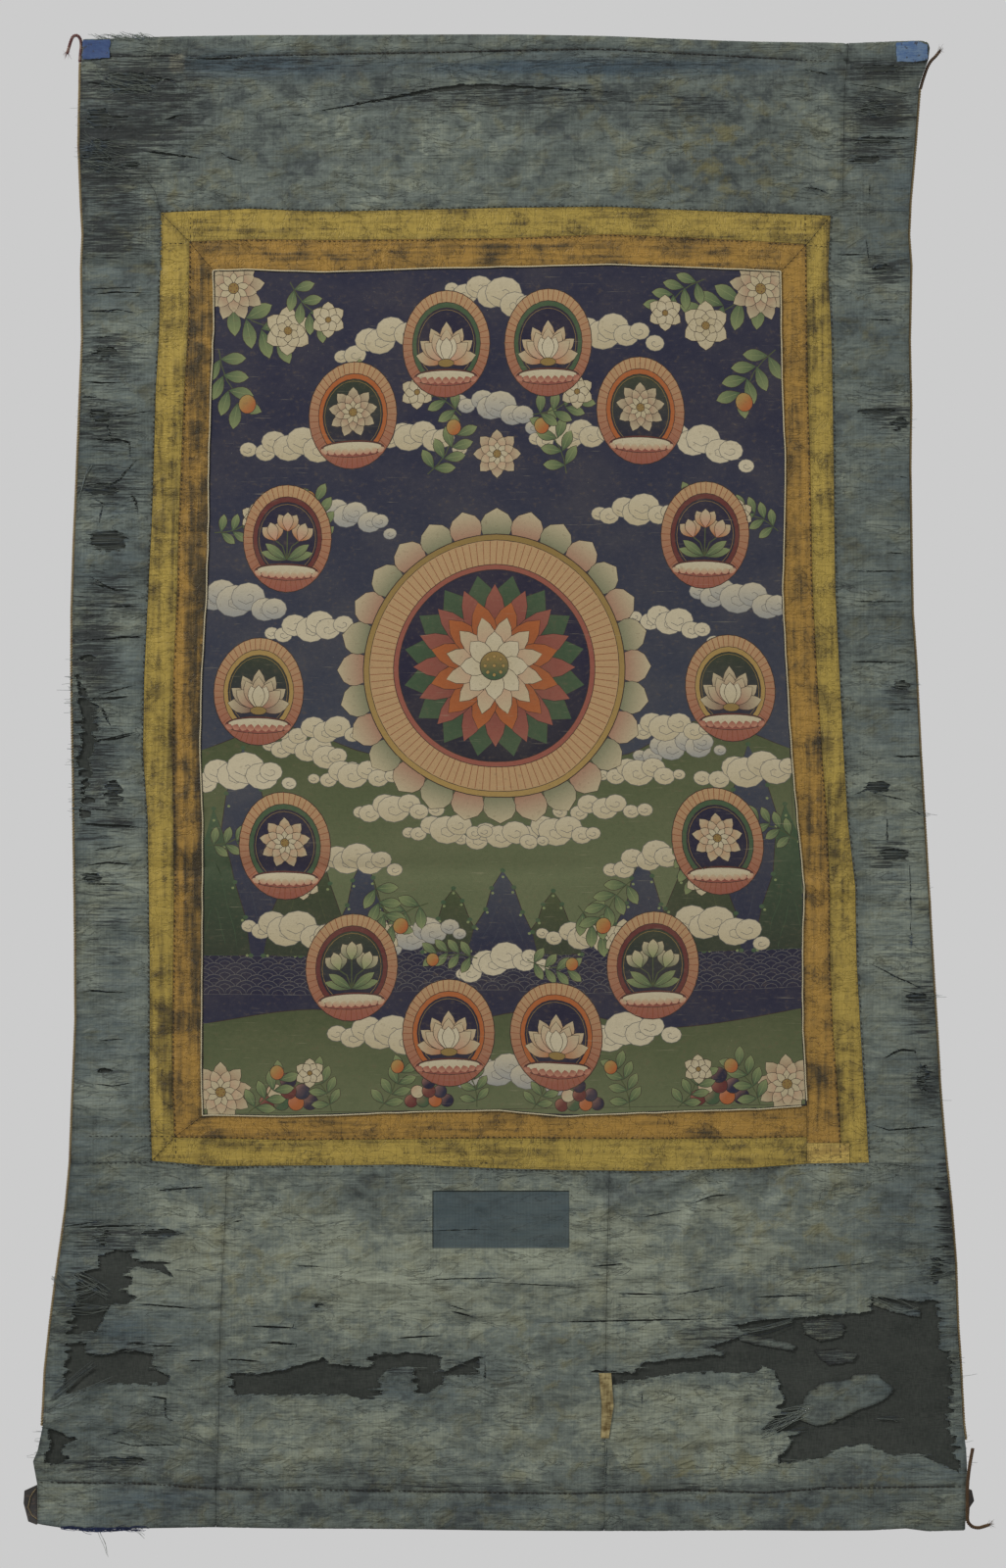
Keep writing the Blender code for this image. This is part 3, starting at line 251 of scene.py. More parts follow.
# Fine slits where the threads have parted. Columns: across and drop of the two ends, opening.
SLITS = (
    (-295.6, 93.6, -245.2, 100.8, 1.2), (-338.8, 447.2, -308.4, 454.4, 1.6),
    (-347, 494.4, -292.4, 490.4, 1.4), (-338.8, 541.8, -306, 540.8, 2), (-332.8, 576.8, -299.6, 568.8, 1.6),
    (-346, 643.4, -294, 646.4, 2), (-344, 692.8, -306, 692.8, 1.6), (-345, 780, -306, 781.6, 1.2),
    (-354, 972.8, -283.6, 971.2, 1.6), (-299.6, 1035, -245.2, 1039.2, 1.6),
    (-206, 1052.8, -170.8, 1054.4, 1.4), (-194.8, 1065.6, -169.2, 1068, 1.6),
    (-87.6, 1063.2, -50, 1060.8, 1.6), (-58.8, 1015.2, 5.2, 1013.6, 1.2), (-43.6, 1040.8, -22, 1046.4, 1.6),
    (-26.8, 1016, 65.2, 1021.6, 0.9), (26.8, 1050.4, 187.6, 1047.2, 1.4), (88.4, 1026.4, 138.8, 1028, 1.2),
    (138.8, 1028, 187.6, 1019.2, 1.2), (239.6, 1007.2, 303.6, 1001.6, 1), (204.4, 1029.6, 254.8, 1028, 1.4),
    (282, 437.6, 331, 437.6, 1.2), (284, 462.4, 331, 462.4, 1), (280.4, 511.2, 333.8, 512, 1.4),
    (318.8, 588.8, 338.8, 589, 1.6), (332.4, 676, 333, 758.4, 0.7), (310, 836, 323.6, 828, 0.9),
    (323.6, 828, 336.4, 828.4, 0.9), (338.6, 840.8, 338, 856.8, 0.8), (338, 856.8, 349.2, 869.6, 0.8),
    (350.8, 940.8, 364, 942, 1.8), (350, 956, 364, 956, 1.6), (349.8, 972, 366, 973, 1.6),
    (352, 988.8, 366, 988, 1.8), (-14.8, 1080.8, -14.8, 1102.4, 0.8), (84.4, 1145.4, 84.2, 1186, 0.8),
    (-328, 1163.2, -290, 1163, 2.6), (-331, 508, -348, 509, 6), (319, 530, 334, 530.6, 5),
    (-333, 845, -318, 845, 5), (-336, 330, -310, 331, 1.6), (-338, 207, -300, 206, 1.2),
    (-340, 225, -312, 226, 1.4), (296, 232, 322, 233, 1), (-66, 976, -12, 974, 0.7),
    (110, 965, 150, 958, 0.7),
)

# Rips that turn corners. Columns: opening, then the across and drop of each corner.
RIPS = (
    (1.6, -282, 942.8, -262.8, 941.2, -243.2, 939.8), (1.2, -361.2, 972.8, -345.2, 970.4, -329.2, 968),
    (1.5, -206, 1053.4, -186.8, 1054, -171.4, 1054.5, -169.3, 1048.1),
    (1.3, -200.4, 1066.3, -182.8, 1067.2, -168.2, 1067.8, -169.2, 1072),
    (1.6, -226, 1080.2, -210.8, 1080.8, -196.1, 1082.4), (1.3, -290.4, 1069, -262.5, 1069.5),
    (1.2, -307.6, 1067, -288.4, 1067.8), (1.2, -258.2, 1081.3, -243.2, 1081.3),
    (2, -288.2, 1110.2, -275.4, 1112.4, -275.4, 1127.4, -271, 1129.5),
    (1.2, -316.1, 1135.9, -312.9, 1139.2, -322.5, 1142.4), (1, -69.6, 966.6, -58.9, 967.7),
    (1.2, -221.8, 968.8, -211, 966.6), (1.8, -116.4, 1043.2, -110, 1040.8),
    (1, -335.4, 1142.4, -301.2, 1151, -258.2, 1149.8), (1.6, -343.5, 282.7, -327.6, 284, -311.4, 283.8),
    (1.4, -344.6, 295.5, -330.6, 295.5), (1, -337.1, 312.7, -310.8, 310.4, -283.5, 306.2),
    (1.8, -324.2, 313.8, -319.9, 328.8, -305, 332.6, -303.8, 345.9),
    (2.4, -298.5, 345.9, -306.8, 355.2, -313.5, 363, -319.9, 366.2, -343.5, 367.4),
    (2.8, -305, 373.8, -300.1, 380.7, -297.8, 391.4), (1.6, -335, 378.1, -326.4, 382.3, -330.6, 401.6),
    (1.9, -337.1, 441.3, -326.8, 448.8, -317.8, 453, -302.8, 453),
    (1.9, -322.1, 492.7, -308.4, 491.2, -294.2, 491.7), (2.4, -335, 541, -321.2, 541.6, -305, 539.8),
    (1.2, -330.6, 538.8, -314.8, 534.4, -298.5, 530.2), (2.6, -328.5, 547.4, -324.4, 556, -319.9, 564.5),
    (2, -332.8, 575.2, -316.4, 574.4, -302.8, 571), (2, -294.8, 94.8, -270.8, 97.6, -245.2, 100.8),
    (1.6, -259.9, 84.8, -252.6, 83.4), (1.5, -232.4, 94.4, -224.4, 100, -210.3, 103.6),
    (1.8, -258.8, 18.8, -238.8, 19.2, -210.8, 18.1), (1.5, -332.4, 66.4, -310.8, 67.2, -298.8, 65.6),
    (1.3, -334, 73.6, -314.8, 76), (1.8, -276.4, 69.2, -260.4, 64.8), (1.4, -340.4, 38.4, -327.6, 40),
    (1.6, -290.8, 33.6, -270.8, 36.8, -258.8, 48), (1.6, 245.2, 28, 257.2, 30.4, 267.6, 32.8),
    (1, 280.4, 39.2, 305.2, 43.2, 334.8, 48.8), (2.2, 285.2, 88.8, 297.2, 86.4, 309.2, 84.8, 334.8, 83.2),
    (1.4, 245.2, 124, 257.2, 125.6, 267.6, 130.4), (1.3, 299.6, 121.6, 299.6, 131.2),
    (1.3, 295.6, 163.2, 299.6, 187.2), (1.2, 270, 179.2, 298.8, 179.2), (1.2, 320.4, 360, 331.6, 361.6),
    (1.2, 312.4, 422.4, 330, 423.2), (1.3, 314.8, 550.4, 334.8, 550.4), (1.2, 317.2, 588.8, 343.6, 588.8),
    (1.8, 286, 620, 304.4, 612.8, 317.2, 611.2), (1.2, 304.4, 619.2, 326.8, 624),
    (1.3, 330, 630.4, 343.6, 637.6), (1.2, 313.2, 639.2, 314, 660),
    (1.4, 299.6, 757.6, 321.2, 768.8, 344.4, 779.2), (1.5, 324.4, 779.2, 352.4, 786.4),
    (1.5, 326.8, 788, 352.4, 788), (2.2, 309.2, 835.2, 324.4, 828, 335.6, 828.8, 338, 835.2),
    (2.6, 339.6, 837.6, 344.4, 849.6, 338, 854.4, 347.6, 864.8),
    (1.4, 299.6, 888.8, 314.8, 893.6, 354.8, 890.4), (1.2, -170.8, 1004, -146.8, 1004.8),
    (1, -46.8, 1035.2, -26.8, 1041.6), (1.3, 69.2, 1004.8, 101.2, 1002.4), (1, 113.2, 1105.6, 113.2, 1120),
    (1, 149.2, 955.2, 169.2, 947.2, 189.2, 945.6), (1.2, -334, 211.2, -314.8, 209.6, -292.4, 210.4),
    (1.2, -338.8, 225.6, -314.8, 224, -298.8, 227.2), (1.2, -337.2, 247.2, -316.4, 245.6),
    (1.2, -340.4, 260.8, -310, 259.2), (1, -330.8, 467.2, -298.8, 465.6),
    (1.2, -340.4, 631.2, -314.8, 633.6), (1.2, -334.8, 665.6, -306.8, 660.8),
    (1.4, -343.6, 678.4, -322.8, 675.2, -302.8, 676.8), (1.2, -338.8, 779.2, -321.2, 780.8),
    (1.2, -330.8, 820.8, -308.4, 819.2), (1.2, -337.2, 855.2, -318.8, 857.6, -300.4, 854.4),
)


def table(rows: Sequence[Sequence[float]], names: Sequence[str]) -> dict[str, Line]:
    """Returns the rows' columns by name, each as (station, value) pairs."""
    stations = [row[0] for row in rows]
    return {name: list(zip(stations, column)) for name, column in zip(names, list(zip(*rows))[1:])}


def at(line: Line, station: float | Floats) -> float | Floats:
    """Returns the value of a column at one or more stations."""
    return np.interp(station, [p[0] for p in line], [p[1] for p in line])


def span(line: Line, start: float, stop: float) -> Line:
    """Returns the (station, value) pairs from start to stop, in either direction, ends included."""
    low, high = min(start, stop), max(start, stop)
    inner = [p for p in line if low + 1.0 < p[0] < high - 1.0]
    points = [(low, float(at(line, low))), *inner, (high, float(at(line, high)))]
    return points if start < stop else points[::-1]


def upright(line: Line, start: float, stop: float) -> Line:
    """Returns points (across, drop) along an upright line."""
    return [(value, drop) for drop, value in span(line, start, stop)]


def ease(low: float, high: float, value: float | Floats) -> float | Floats:
    """Returns 0 below low, 1 above high and a smooth rise between them."""
    share = np.clip((value - low) / (high - low), 0.0, 1.0)
    return share * share * (3.0 - 2.0 * share)


def noise(across: Floats, drop: Floats, wide: float, tall: float, seed: int) -> Floats:
    """Returns smooth noise from -1 to 1 whose blobs are about wide by tall."""
    x, z = across / wide, drop / tall
    column, row = np.floor(x), np.floor(z)
    u, v = x - column, z - row
    u, v = u * u * (3 - 2 * u), v * v * (3 - 2 * v)

    def corner(right: int, down: int) -> Floats:
        wave = np.sin((column + right) * 127.1 + (row + down) * 311.7 + seed * 74.7) * 43758.5453
        return wave - np.floor(wave)

    upper = corner(0, 0) * (1 - u) + corner(1, 0) * u
    lower = corner(0, 1) * (1 - u) + corner(1, 1) * u
    return 2.0 * (upper * (1 - v) + lower * v) - 1.0


def ridge_rise(across: Floats, drop: Floats, rows: Sequence[Sequence[float]]) -> Floats:
    """Returns the rise of soft folds, whose rows hold two ends, rise and half width."""
    height = np.zeros_like(across)
    for x0, z0, x1, z1, rise, half in rows:
        run = np.array((x1 - x0, z1 - z0))
        share = np.clip(((across - x0) * run[0] + (drop - z0) * run[1]) / (run @ run), 0.0, 1.0)
        off = np.hypot(across - x0 - share * run[0], drop - z0 - share * run[1])
        height += rise * np.exp(-((off / half) ** 2) * 1.6)
    return height


def hang(across: Floats, drop: Floats) -> Floats:
    """Returns how far the hanging cloth stands towards the viewer, as its solids do."""
    down, side = drop / LENGTH, across / HALF_WIDTH
    height = 7.0 * down**2 + 5.0 * down**3 * side**2 + 2.6 * np.sin(math.pi * down) * np.cos(1.5 * side)
    height += 1.5 * np.sin(drop / 31.0 + 1.7 * side) * (0.25 + 0.75 * side**2)
    height += 2.4 * np.sin(drop / 19.0 + 2.0 * side) * np.abs(side) ** 5
    height += 2.3 * np.sin(across / 37.0 + 0.6) * ease(0.78, 1.0, down)
    height += 1.3 * np.sin(across / 52.0 + 1.2) * (1.0 - ease(0.0, 0.16, down))
    return height + ridge_rise(across, drop, FOLDS)


# Sharp creases from rolling and crushing. Columns: as in FOLDS.
CREASES = (
    (-350, 187.5, -285, 190, -0.5, 3), (267, 268, 332, 283, 0.6, 3.5), (-345, 679, 350, 681, -0.35, 3),
    (250, 693, 348, 705, 0.6, 3.5), (-352, 722.5, -288, 726, 0.6, 3.5), (-350, 893, -287, 889, -0.5, 3),
    (87.6, 955, 141, 935, 0.8, 4), (141, 935, 164.4, 925, 0.7, 4), (166, 948, 149, 967, 0.9, 4),
    (149, 967, 146, 984, 0.8, 4), (146, 984, 151, 998, 0.6, 4), (224.4, 929, 210, 949, -0.9, 4.5),
    (210, 949, 210, 966, -0.8, 4.5), (210, 966, 188, 996, -0.8, 4.5), (299.6, 924, 313, 947, 0.8, 4),
    (315, 927, 348, 944, -0.7, 4), (-377, 1130, -339, 1105, 0.8, 4), (-335.6, 1141, -287, 1151, -0.7, 4),
    (-287, 1151, -263, 1149.6, -0.6, 4), (45, 990, 50, 1001, -0.8, 4), (50, 1001, 120, 1000, -0.7, 4),
    (191, 1093, 191, 1155, 0.8, 3.5), (-180, 1024, 60, 1016, 0.5, 4), (-60, 1052, 180, 1047, -0.5, 3.5),
    (-60, 96, 60, 92, 0.6, 5), (-190, 100, -130, 88, 0.5, 4), (70, 95, 160, 60, 0.5, 4.5),
    (-20, 1008, 40, 1030, 0.6, 4), (-120, 940, -60, 985, 0.5, 5), (-200, 960, -150, 1010, 0.5, 5),
    (230, 980, 300, 1000, 0.6, 4.5), (20, 1120, 60, 1165, 0.5, 4.5), (-57, 939, 54, 939, 0.35, 1.6),
    (-57, 993, 54, 993, 0.35, 1.6), (-340, 520, -292, 533, 0.4, 4), (278, 590, 345, 600, 0.45, 4),
    (-285, 395, -240, 402, 0.5, 3.5), (-290, 620, -245, 628, 0.5, 3.5), (230, 405, 272, 395, 0.5, 3.5),
    (245, 760, 292, 752, 0.5, 3.5), (-250, 760, -288, 768, 0.5, 3.5), (-286, 840, -246, 832, 0.5, 3.5),
)


def surface(across: Floats, drop: Floats) -> Floats:
    """Returns the full height of the hanging surface, with its creases and small wrinkles."""
    foot, head = ease(900.0, 960.0, drop), 1.0 - ease(120.0, 180.0, drop)
    inside = ease(-250.0, -235.0, across) * (1 - ease(235.0, 250.0, across)) * (1 - foot) * (1 - head)
    strength = 0.34 + 0.5 * foot + 0.2 * head - 0.22 * inside
    slant = noise(across + 0.7 * drop, drop - 0.5 * across, 46.0, 15.0, 3)
    other = noise(across - 0.9 * drop, drop + 0.4 * across, 38.0, 13.0, 8)
    ridged = 1.0 - np.abs(slant) * 1.6 + 0.5 * (1.0 - np.abs(other) * 1.6)
    small = 0.35 * noise(across, drop, 17.0, 9.0, 21)
    return hang(across, drop) + ridge_rise(across, drop, CREASES) + strength * (0.75 * ridged + small)


def spots(across: Floats, drop: Floats, depth: Floats | float) -> Floats:
    """Returns places in metres for points across, drop and depth behind the silk's front face."""
    return np.column_stack((across, depth - surface(across, drop), -drop)) * MM


def within(places: Floats, starts: Floats, stops: Floats) -> Floats:
    """Returns which places lie inside the loops that edges from starts to stops make."""
    order = np.argsort(places[:, 1])
    x, z = places[order, 0], places[order, 1]
    odd = np.zeros(len(places), bool)
    for (x0, z0), (x1, z1) in zip(starts, stops):
        if z0 != z1:
            first, last = np.searchsorted(z, (min(z0, z1), max(z0, z1)))
            part = slice(first, last)
            odd[part] ^= x[part] < (x1 - x0) * (z[part] - z0) / (z1 - z0) + x0
    found = np.empty_like(odd)
    found[order] = odd
    return found


def inside(places: Floats, outline: Line) -> Floats:
    """Returns which places lie inside a closed outline."""
    points = np.array(outline)
    return within(places, points, np.roll(points, -1, axis=0))


def leftward(ways: Floats) -> Floats:
    """Returns directions turned a quarter to the left, at a length of 1."""
    ways = ways / np.maximum(np.hypot(*ways.T), 1e-6)[:, None]
    return np.column_stack((-ways[:, 1], ways[:, 0]))


def shrink(outline: Line, distance: float) -> Line:
    """Returns a closed outline moved inwards by a distance."""
    points = np.array(outline)
    after = np.roll(points, -1, axis=0)
    area = float((points[:, 0] * after[:, 1] - points[:, 1] * after[:, 0]).sum())
    inward = leftward(after - points) * math.copysign(1.0, area)
    both = inward + np.roll(inward, 1, axis=0)
    scale = distance * 2.0 / np.maximum((both**2).sum(1), 0.5)
    return [tuple(p) for p in points + both * scale[:, None]]


def beside(line: Line, distance: float) -> Floats:
    """Returns an open line moved to its left by a distance, as seen along it with drop upwards."""
    points = np.array(line)
    left = leftward(np.diff(points, axis=0))
    both = np.vstack((left[:1], left)) + np.vstack((left, left[-1:]))
    return points + both * (distance * 2.0 / (both**2).sum(1))[:, None]


def walk(line: Sequence[Sequence[float]] | Floats, step: float) -> Floats:
    """Returns points about a step apart on straight runs between a line's points."""
    line = np.asarray(line, float)
    points = []
    for start, stop in zip(line, line[1:]):
        count = max(1, round(float(np.linalg.norm(stop - start)) / step))
        points += [start + (stop - start) * i / count for i in range(count)]
    return np.array([*points, line[-1]])


def smooth(route: Sequence[Sequence[float]], step: float) -> Floats:
    """Returns points about a step apart on a smooth curve through the route's points."""
    route = np.array(route)
    ends = np.vstack((2 * route[0] - route[1], route, 2 * route[-1] - route[-2]))
    points = [route[0]]
    for a, b, c, d in zip(ends, ends[1:], ends[2:], ends[3:]):
        count = max(1, round(float(np.linalg.norm(c - b)) / step))
        for i in range(1, count + 1):
            t = i / count
            bend, twist = 2 * a - 5 * b + 4 * c - d, 3 * b - a - 3 * c + d
            points.append(0.5 * (2 * b + (c - a) * t + bend * t**2 + twist * t**3))
    return np.array(points)


def ragged(outline: Line, rng: np.random.Generator, reach: float, step: float = 1.2) -> Line:
    """Returns a tear's outline with the stepped, feathered edge of cloth torn along its threads.

    Args:
        outline: The tear's closed outline.
        rng: The source of the edge's unevenness.
        reach: How far threads stand out of its upright edges.
        step: The length of one step.

    Returns:
        The finer closed outline.
    """
    points, offset, left = [], np.zeros(2), 0
    for start, stop in zip(outline, [*outline[1:], outline[0]]):
        run = np.subtract(stop, start)
        long = float(np.hypot(*run))
        steep = abs(float(run[1])) / long
        count = max(1, round(long / step))
        for i in range(count):
            left -= 1
            if left < 0:
                left = int(rng.integers(1, 5))
                offset = rng.normal(size=2) * (reach * steep, 0.32 * reach * (1.0 - steep))
                if steep > 0.35 and rng.random() < 0.3:
                    left, offset[0] = 0, rng.choice((-1.0, 1.0)) * reach * rng.uniform(1.2, 3.2)
            place = np.add(start, run * i / count) + offset + rng.normal(size=2) * 0.12
            points.append((float(place[0]), float(place[1])))
    return points


def rip(row: Sequence[float]) -> Line:
    """Returns the outline of a narrow rip through a row's corners, pointed at both ends."""
    opening, line = row[0], walk(np.reshape(row[1:], (-1, 2)), 5.0)
    half = opening / 2 * np.sin(np.linspace(0.0, math.pi, len(line)))[:, None] ** 0.6
    aside = leftward(np.gradient(line, axis=0)) * half
    return [tuple(p) for p in np.vstack((line + aside, (line - aside)[-2:0:-1]))]


def snag(across: float, drop: float, long: float, tall: float) -> Line:
    """Returns a tear that runs along the threads, pointed at both ends."""
    ends = ((-0.5, 0.08), (-0.3, -0.46), (0.22, -0.5), (0.5, -0.1), (0.3, 0.48), (-0.2, 0.5))
    return [(across + u * long, drop + v * tall) for u, v in ends]


def slit(rows: Sequence[Sequence[float]]) -> Line:
    """Returns a slit that opens by each row's height and closes at both ends."""
    upper = [(x, z - tall / 2) for x, z, tall in rows]
    lower = [(x, z + tall / 2) for x, z, tall in rows[1:-1]]
    return upper + lower[::-1]


def lens(x0: float, z0: float, x1: float, z1: float, opening: float) -> Line:
    """Returns a thin slit between two ends, opened by a distance in its middle."""
    run = np.array((x1 - x0, z1 - z0))
    aside = np.array((run[1], -run[0])) / np.hypot(*run) * opening / 2
    rows = ((0.0, 0.0), (0.2, 0.8), (0.5, 1.0), (0.8, 0.7), (1.0, 0.0), (0.75, -0.7), (0.45, -1.0),
            (0.2, -0.7))
    return [tuple(np.array((x0, z0)) + along * run + out * aside) for along, out in rows]


SIDE = table(SIDES, ("left", "right"))
UPRIGHT = table(UPRIGHTS, UPRIGHT_NAMES)
TOP = table(TOPS, TOP_NAMES)
FOOT = table(FEET, FOOT_NAMES)


def triangulate(points: Floats, edges: Sequence[Point], merge: float) -> tuple:
    """Triangulates points so that given edges stay.

    Args:
        points: The points.
        edges: The pairs of points that stay joined.
        merge: The distance below which points become one.

    Returns:
        The points, the triangles, the edges, and the given points and edges that each one comes from.
    """
    ends = [tuple(map(int, edge)) for edge in edges]
    made = delaunay_2d_cdt([Vector(point) for point in points], ends, [], 0, merge, True)
    flat = np.array([tuple(point) for point in made[0]])
    faces = np.array([tuple(face) for face in made[2] if len(face) == 3])
    return flat, faces, made[1], made[3], made[4]


@dataclass
class Cut:
    """The edge of a piece of cloth with its holes, as one set of points and edges.

    Attributes:
        outline: The closed outline.
        holes: The closed outlines of tears, which may cross each other and the outline.
    """

    outline: Line
    holes: Sequence[Line] = ()
    points: Floats = field(init=False)
    edges: Floats = field(init=False)
    torn: Floats = field(init=False)

    def __post_init__(self) -> None:
        """Works out the points, the edges with the cloth on one side, and which edges are torn."""
        low, high = np.min(self.outline, axis=0), np.max(self.outline, axis=0)
        holes = [h for h in self.holes if (np.max(h, 0) > low).all() and (np.min(h, 0) < high).all()]
        points, edges = [], []
        for loop in (self.outline, *holes):
            first = len(points)
            points += loop
            edges += [(first + i, first + (i + 1) % len(loop)) for i in range(len(loop))]
        flat, faces, lines, _, origins = triangulate(points, edges, MERGE)
        middles = flat[faces].mean(1)
        kept = inside(middles, self.outline)
        for hole in holes:
            kept &= ~inside(middles, hole)
        turned = self._facing(flat, faces[kept])
        sides = np.concatenate((turned[:, (0, 1)], turned[:, (1, 2)], turned[:, (2, 0)]))
        keys = sides[:, 0] * len(flat) + sides[:, 1]
        rim = sides[~np.isin(keys, sides[:, 1] * len(flat) + sides[:, 0])]
        own = len(self.outline)
        sewn = {tuple(sorted(line)) for line, ids in zip(lines, origins) if any(i < own for i in ids)}
        self._split(flat, rim, np.array([tuple(sorted(map(int, e))) not in sewn for e in rim]))

    def ends(self) -> tuple[Floats, Floats]:
        """Returns the starts and the stops of the edges."""
        return self.points[self.edges[:, 0]], self.points[self.edges[:, 1]]

    def middles(self) -> Floats:
        """Returns the middles of the edges."""
        starts, stops = self.ends()
        return (starts + stops) / 2

    @staticmethod
    def _facing(flat: Floats, faces: Floats) -> Floats:
        """Returns the faces wound to look at the viewer."""
        one, two = flat[faces[:, 1]] - flat[faces[:, 0]], flat[faces[:, 2]] - flat[faces[:, 0]]
        away = one[:, 0] * two[:, 1] > one[:, 1] * two[:, 0]
        faces = faces.copy()
        faces[away] = faces[away][:, ::-1]
        return faces

    def _split(self, flat: Floats, rim: Floats, torn: Floats, longest: float = 4.0) -> None:
        """Keeps the edges, split where they are long."""
        used, index = np.unique(rim, return_inverse=True)
        index = index.reshape(rim.shape)
        points, edges, marks = list(flat[used]), [], []
        for (a, b), tear in zip(index, torn):
            run = points[b] - points[a]
            count = max(1, math.ceil(float(np.hypot(*run)) / longest))
            chain = [a, *range(len(points), len(points) + count - 1), b]
            points += [points[a] + run * i / count for i in range(1, count)]
            edges += zip(chain, chain[1:])
            marks += [tear] * count
        self.points, self.edges, self.torn = np.array(points), np.array(edges), np.array(marks)

    def fill(self, wide: float, tall: float, ring: float = 0.0, extra: Floats | None = None,
             marks: tuple[Floats, Floats] | None = None) -> tuple[Floats, Floats]:
        """Fills the cut piece with points and triangles.

        Args:
            wide: The points' spacing across.
            tall: The points' spacing down.
            ring: The distance of a ring of points inside the edge, or 0 for none.
            extra: More points to use.
            marks: Points and edges drawn on the piece, which its triangles follow.

        Returns:
            The points, with the edge's own first, and the triangles.
        """
        starts, stops = self.ends()
        low, high = self.points.min(0), self.points.max(0)
        rows = np.arange(low[1] + tall / 3, high[1], tall)
        columns = np.arange(low[0], high[0], wide)
        grid = [(x + (i % 2) * wide / 2, z) for i, z in enumerate(rows) for x in columns]
        more = [np.array(grid).reshape(-1, 2)]
        if extra is not None:
            more.append(extra)
        near = min(wide, tall) * 0.45
        if ring:
            more.append(self.middles() - leftward(stops - starts) * ring)
        loose = np.vstack(more)
        gap = distances(loose, np.vstack((self.middles(), self.points)))
        keep = gap > near
        if ring:
            keep[-len(starts):] = gap[-len(starts):] > ring * 0.7
        loose = loose[keep & within(loose, starts, stops)]
        points, edges, merge = np.vstack((self.points, loose)), self.edges, FINE_MERGE
        if marks is not None:
            edges, merge = np.vstack((edges, marks[1] + len(points))), MARK_MERGE
            points = np.vstack((points, marks[0]))
        flat, faces, _, origins, _ = triangulate(points, edges, merge)
        home = np.full(len(points), -1)
        for place, ids in enumerate(origins):
            home[list(ids)] = place
        first = home[: len(self.points)]
        ends = flat[first]
        faces = faces[within(flat[faces].mean(1), ends[self.edges[:, 0]], ends[self.edges[:, 1]])]
        order = np.concatenate((first, np.setdiff1d(np.arange(len(flat)), first)))
        back = np.empty(len(flat), int)
        back[order] = np.arange(len(order))
        return flat[order], self._facing(flat[order], back[faces])


def distances(places: Floats, marks: Floats) -> Floats:
    """Returns each place's distance to the nearest of the marks."""
    if not len(marks):
        return np.full(len(places), 1e3)
    tree = kdtree.KDTree(len(marks))
    for i, (x, z) in enumerate(marks):
        tree.insert((x, z, 0.0), i)
    tree.balance()
    return np.array([tree.find((x, z, 0.0))[2] for x, z in places])


def link(name: str, mesh: bpy.types.Mesh, replaced: Sequence[str]) -> bpy.types.Object:
    """Puts a mesh in the scene as a piece of the scroll, in place of its solids.

    Args:
        name: The piece's name.
        mesh: Its mesh, in place.
        replaced: The solids that it stands for.

    Returns:
        The piece.
    """
    piece = bpy.data.objects.new(name, mesh)
    bpy.context.scene.collection.objects.link(piece)
    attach(piece, "root")
    if replaced:
        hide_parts(*replaced)
    LOG.info("%s: %d faces", name, len(mesh.polygons))
    return piece


def keep_values(mesh: bpy.types.Mesh, values: dict[str, Floats]) -> None:
    """Stores one number a point on a mesh under each name."""
    for name, numbers in values.items():
        stored = mesh.attributes.new(name, "FLOAT", "POINT")
        stored.data.foreach_set("value", np.ascontiguousarray(numbers, np.float32))


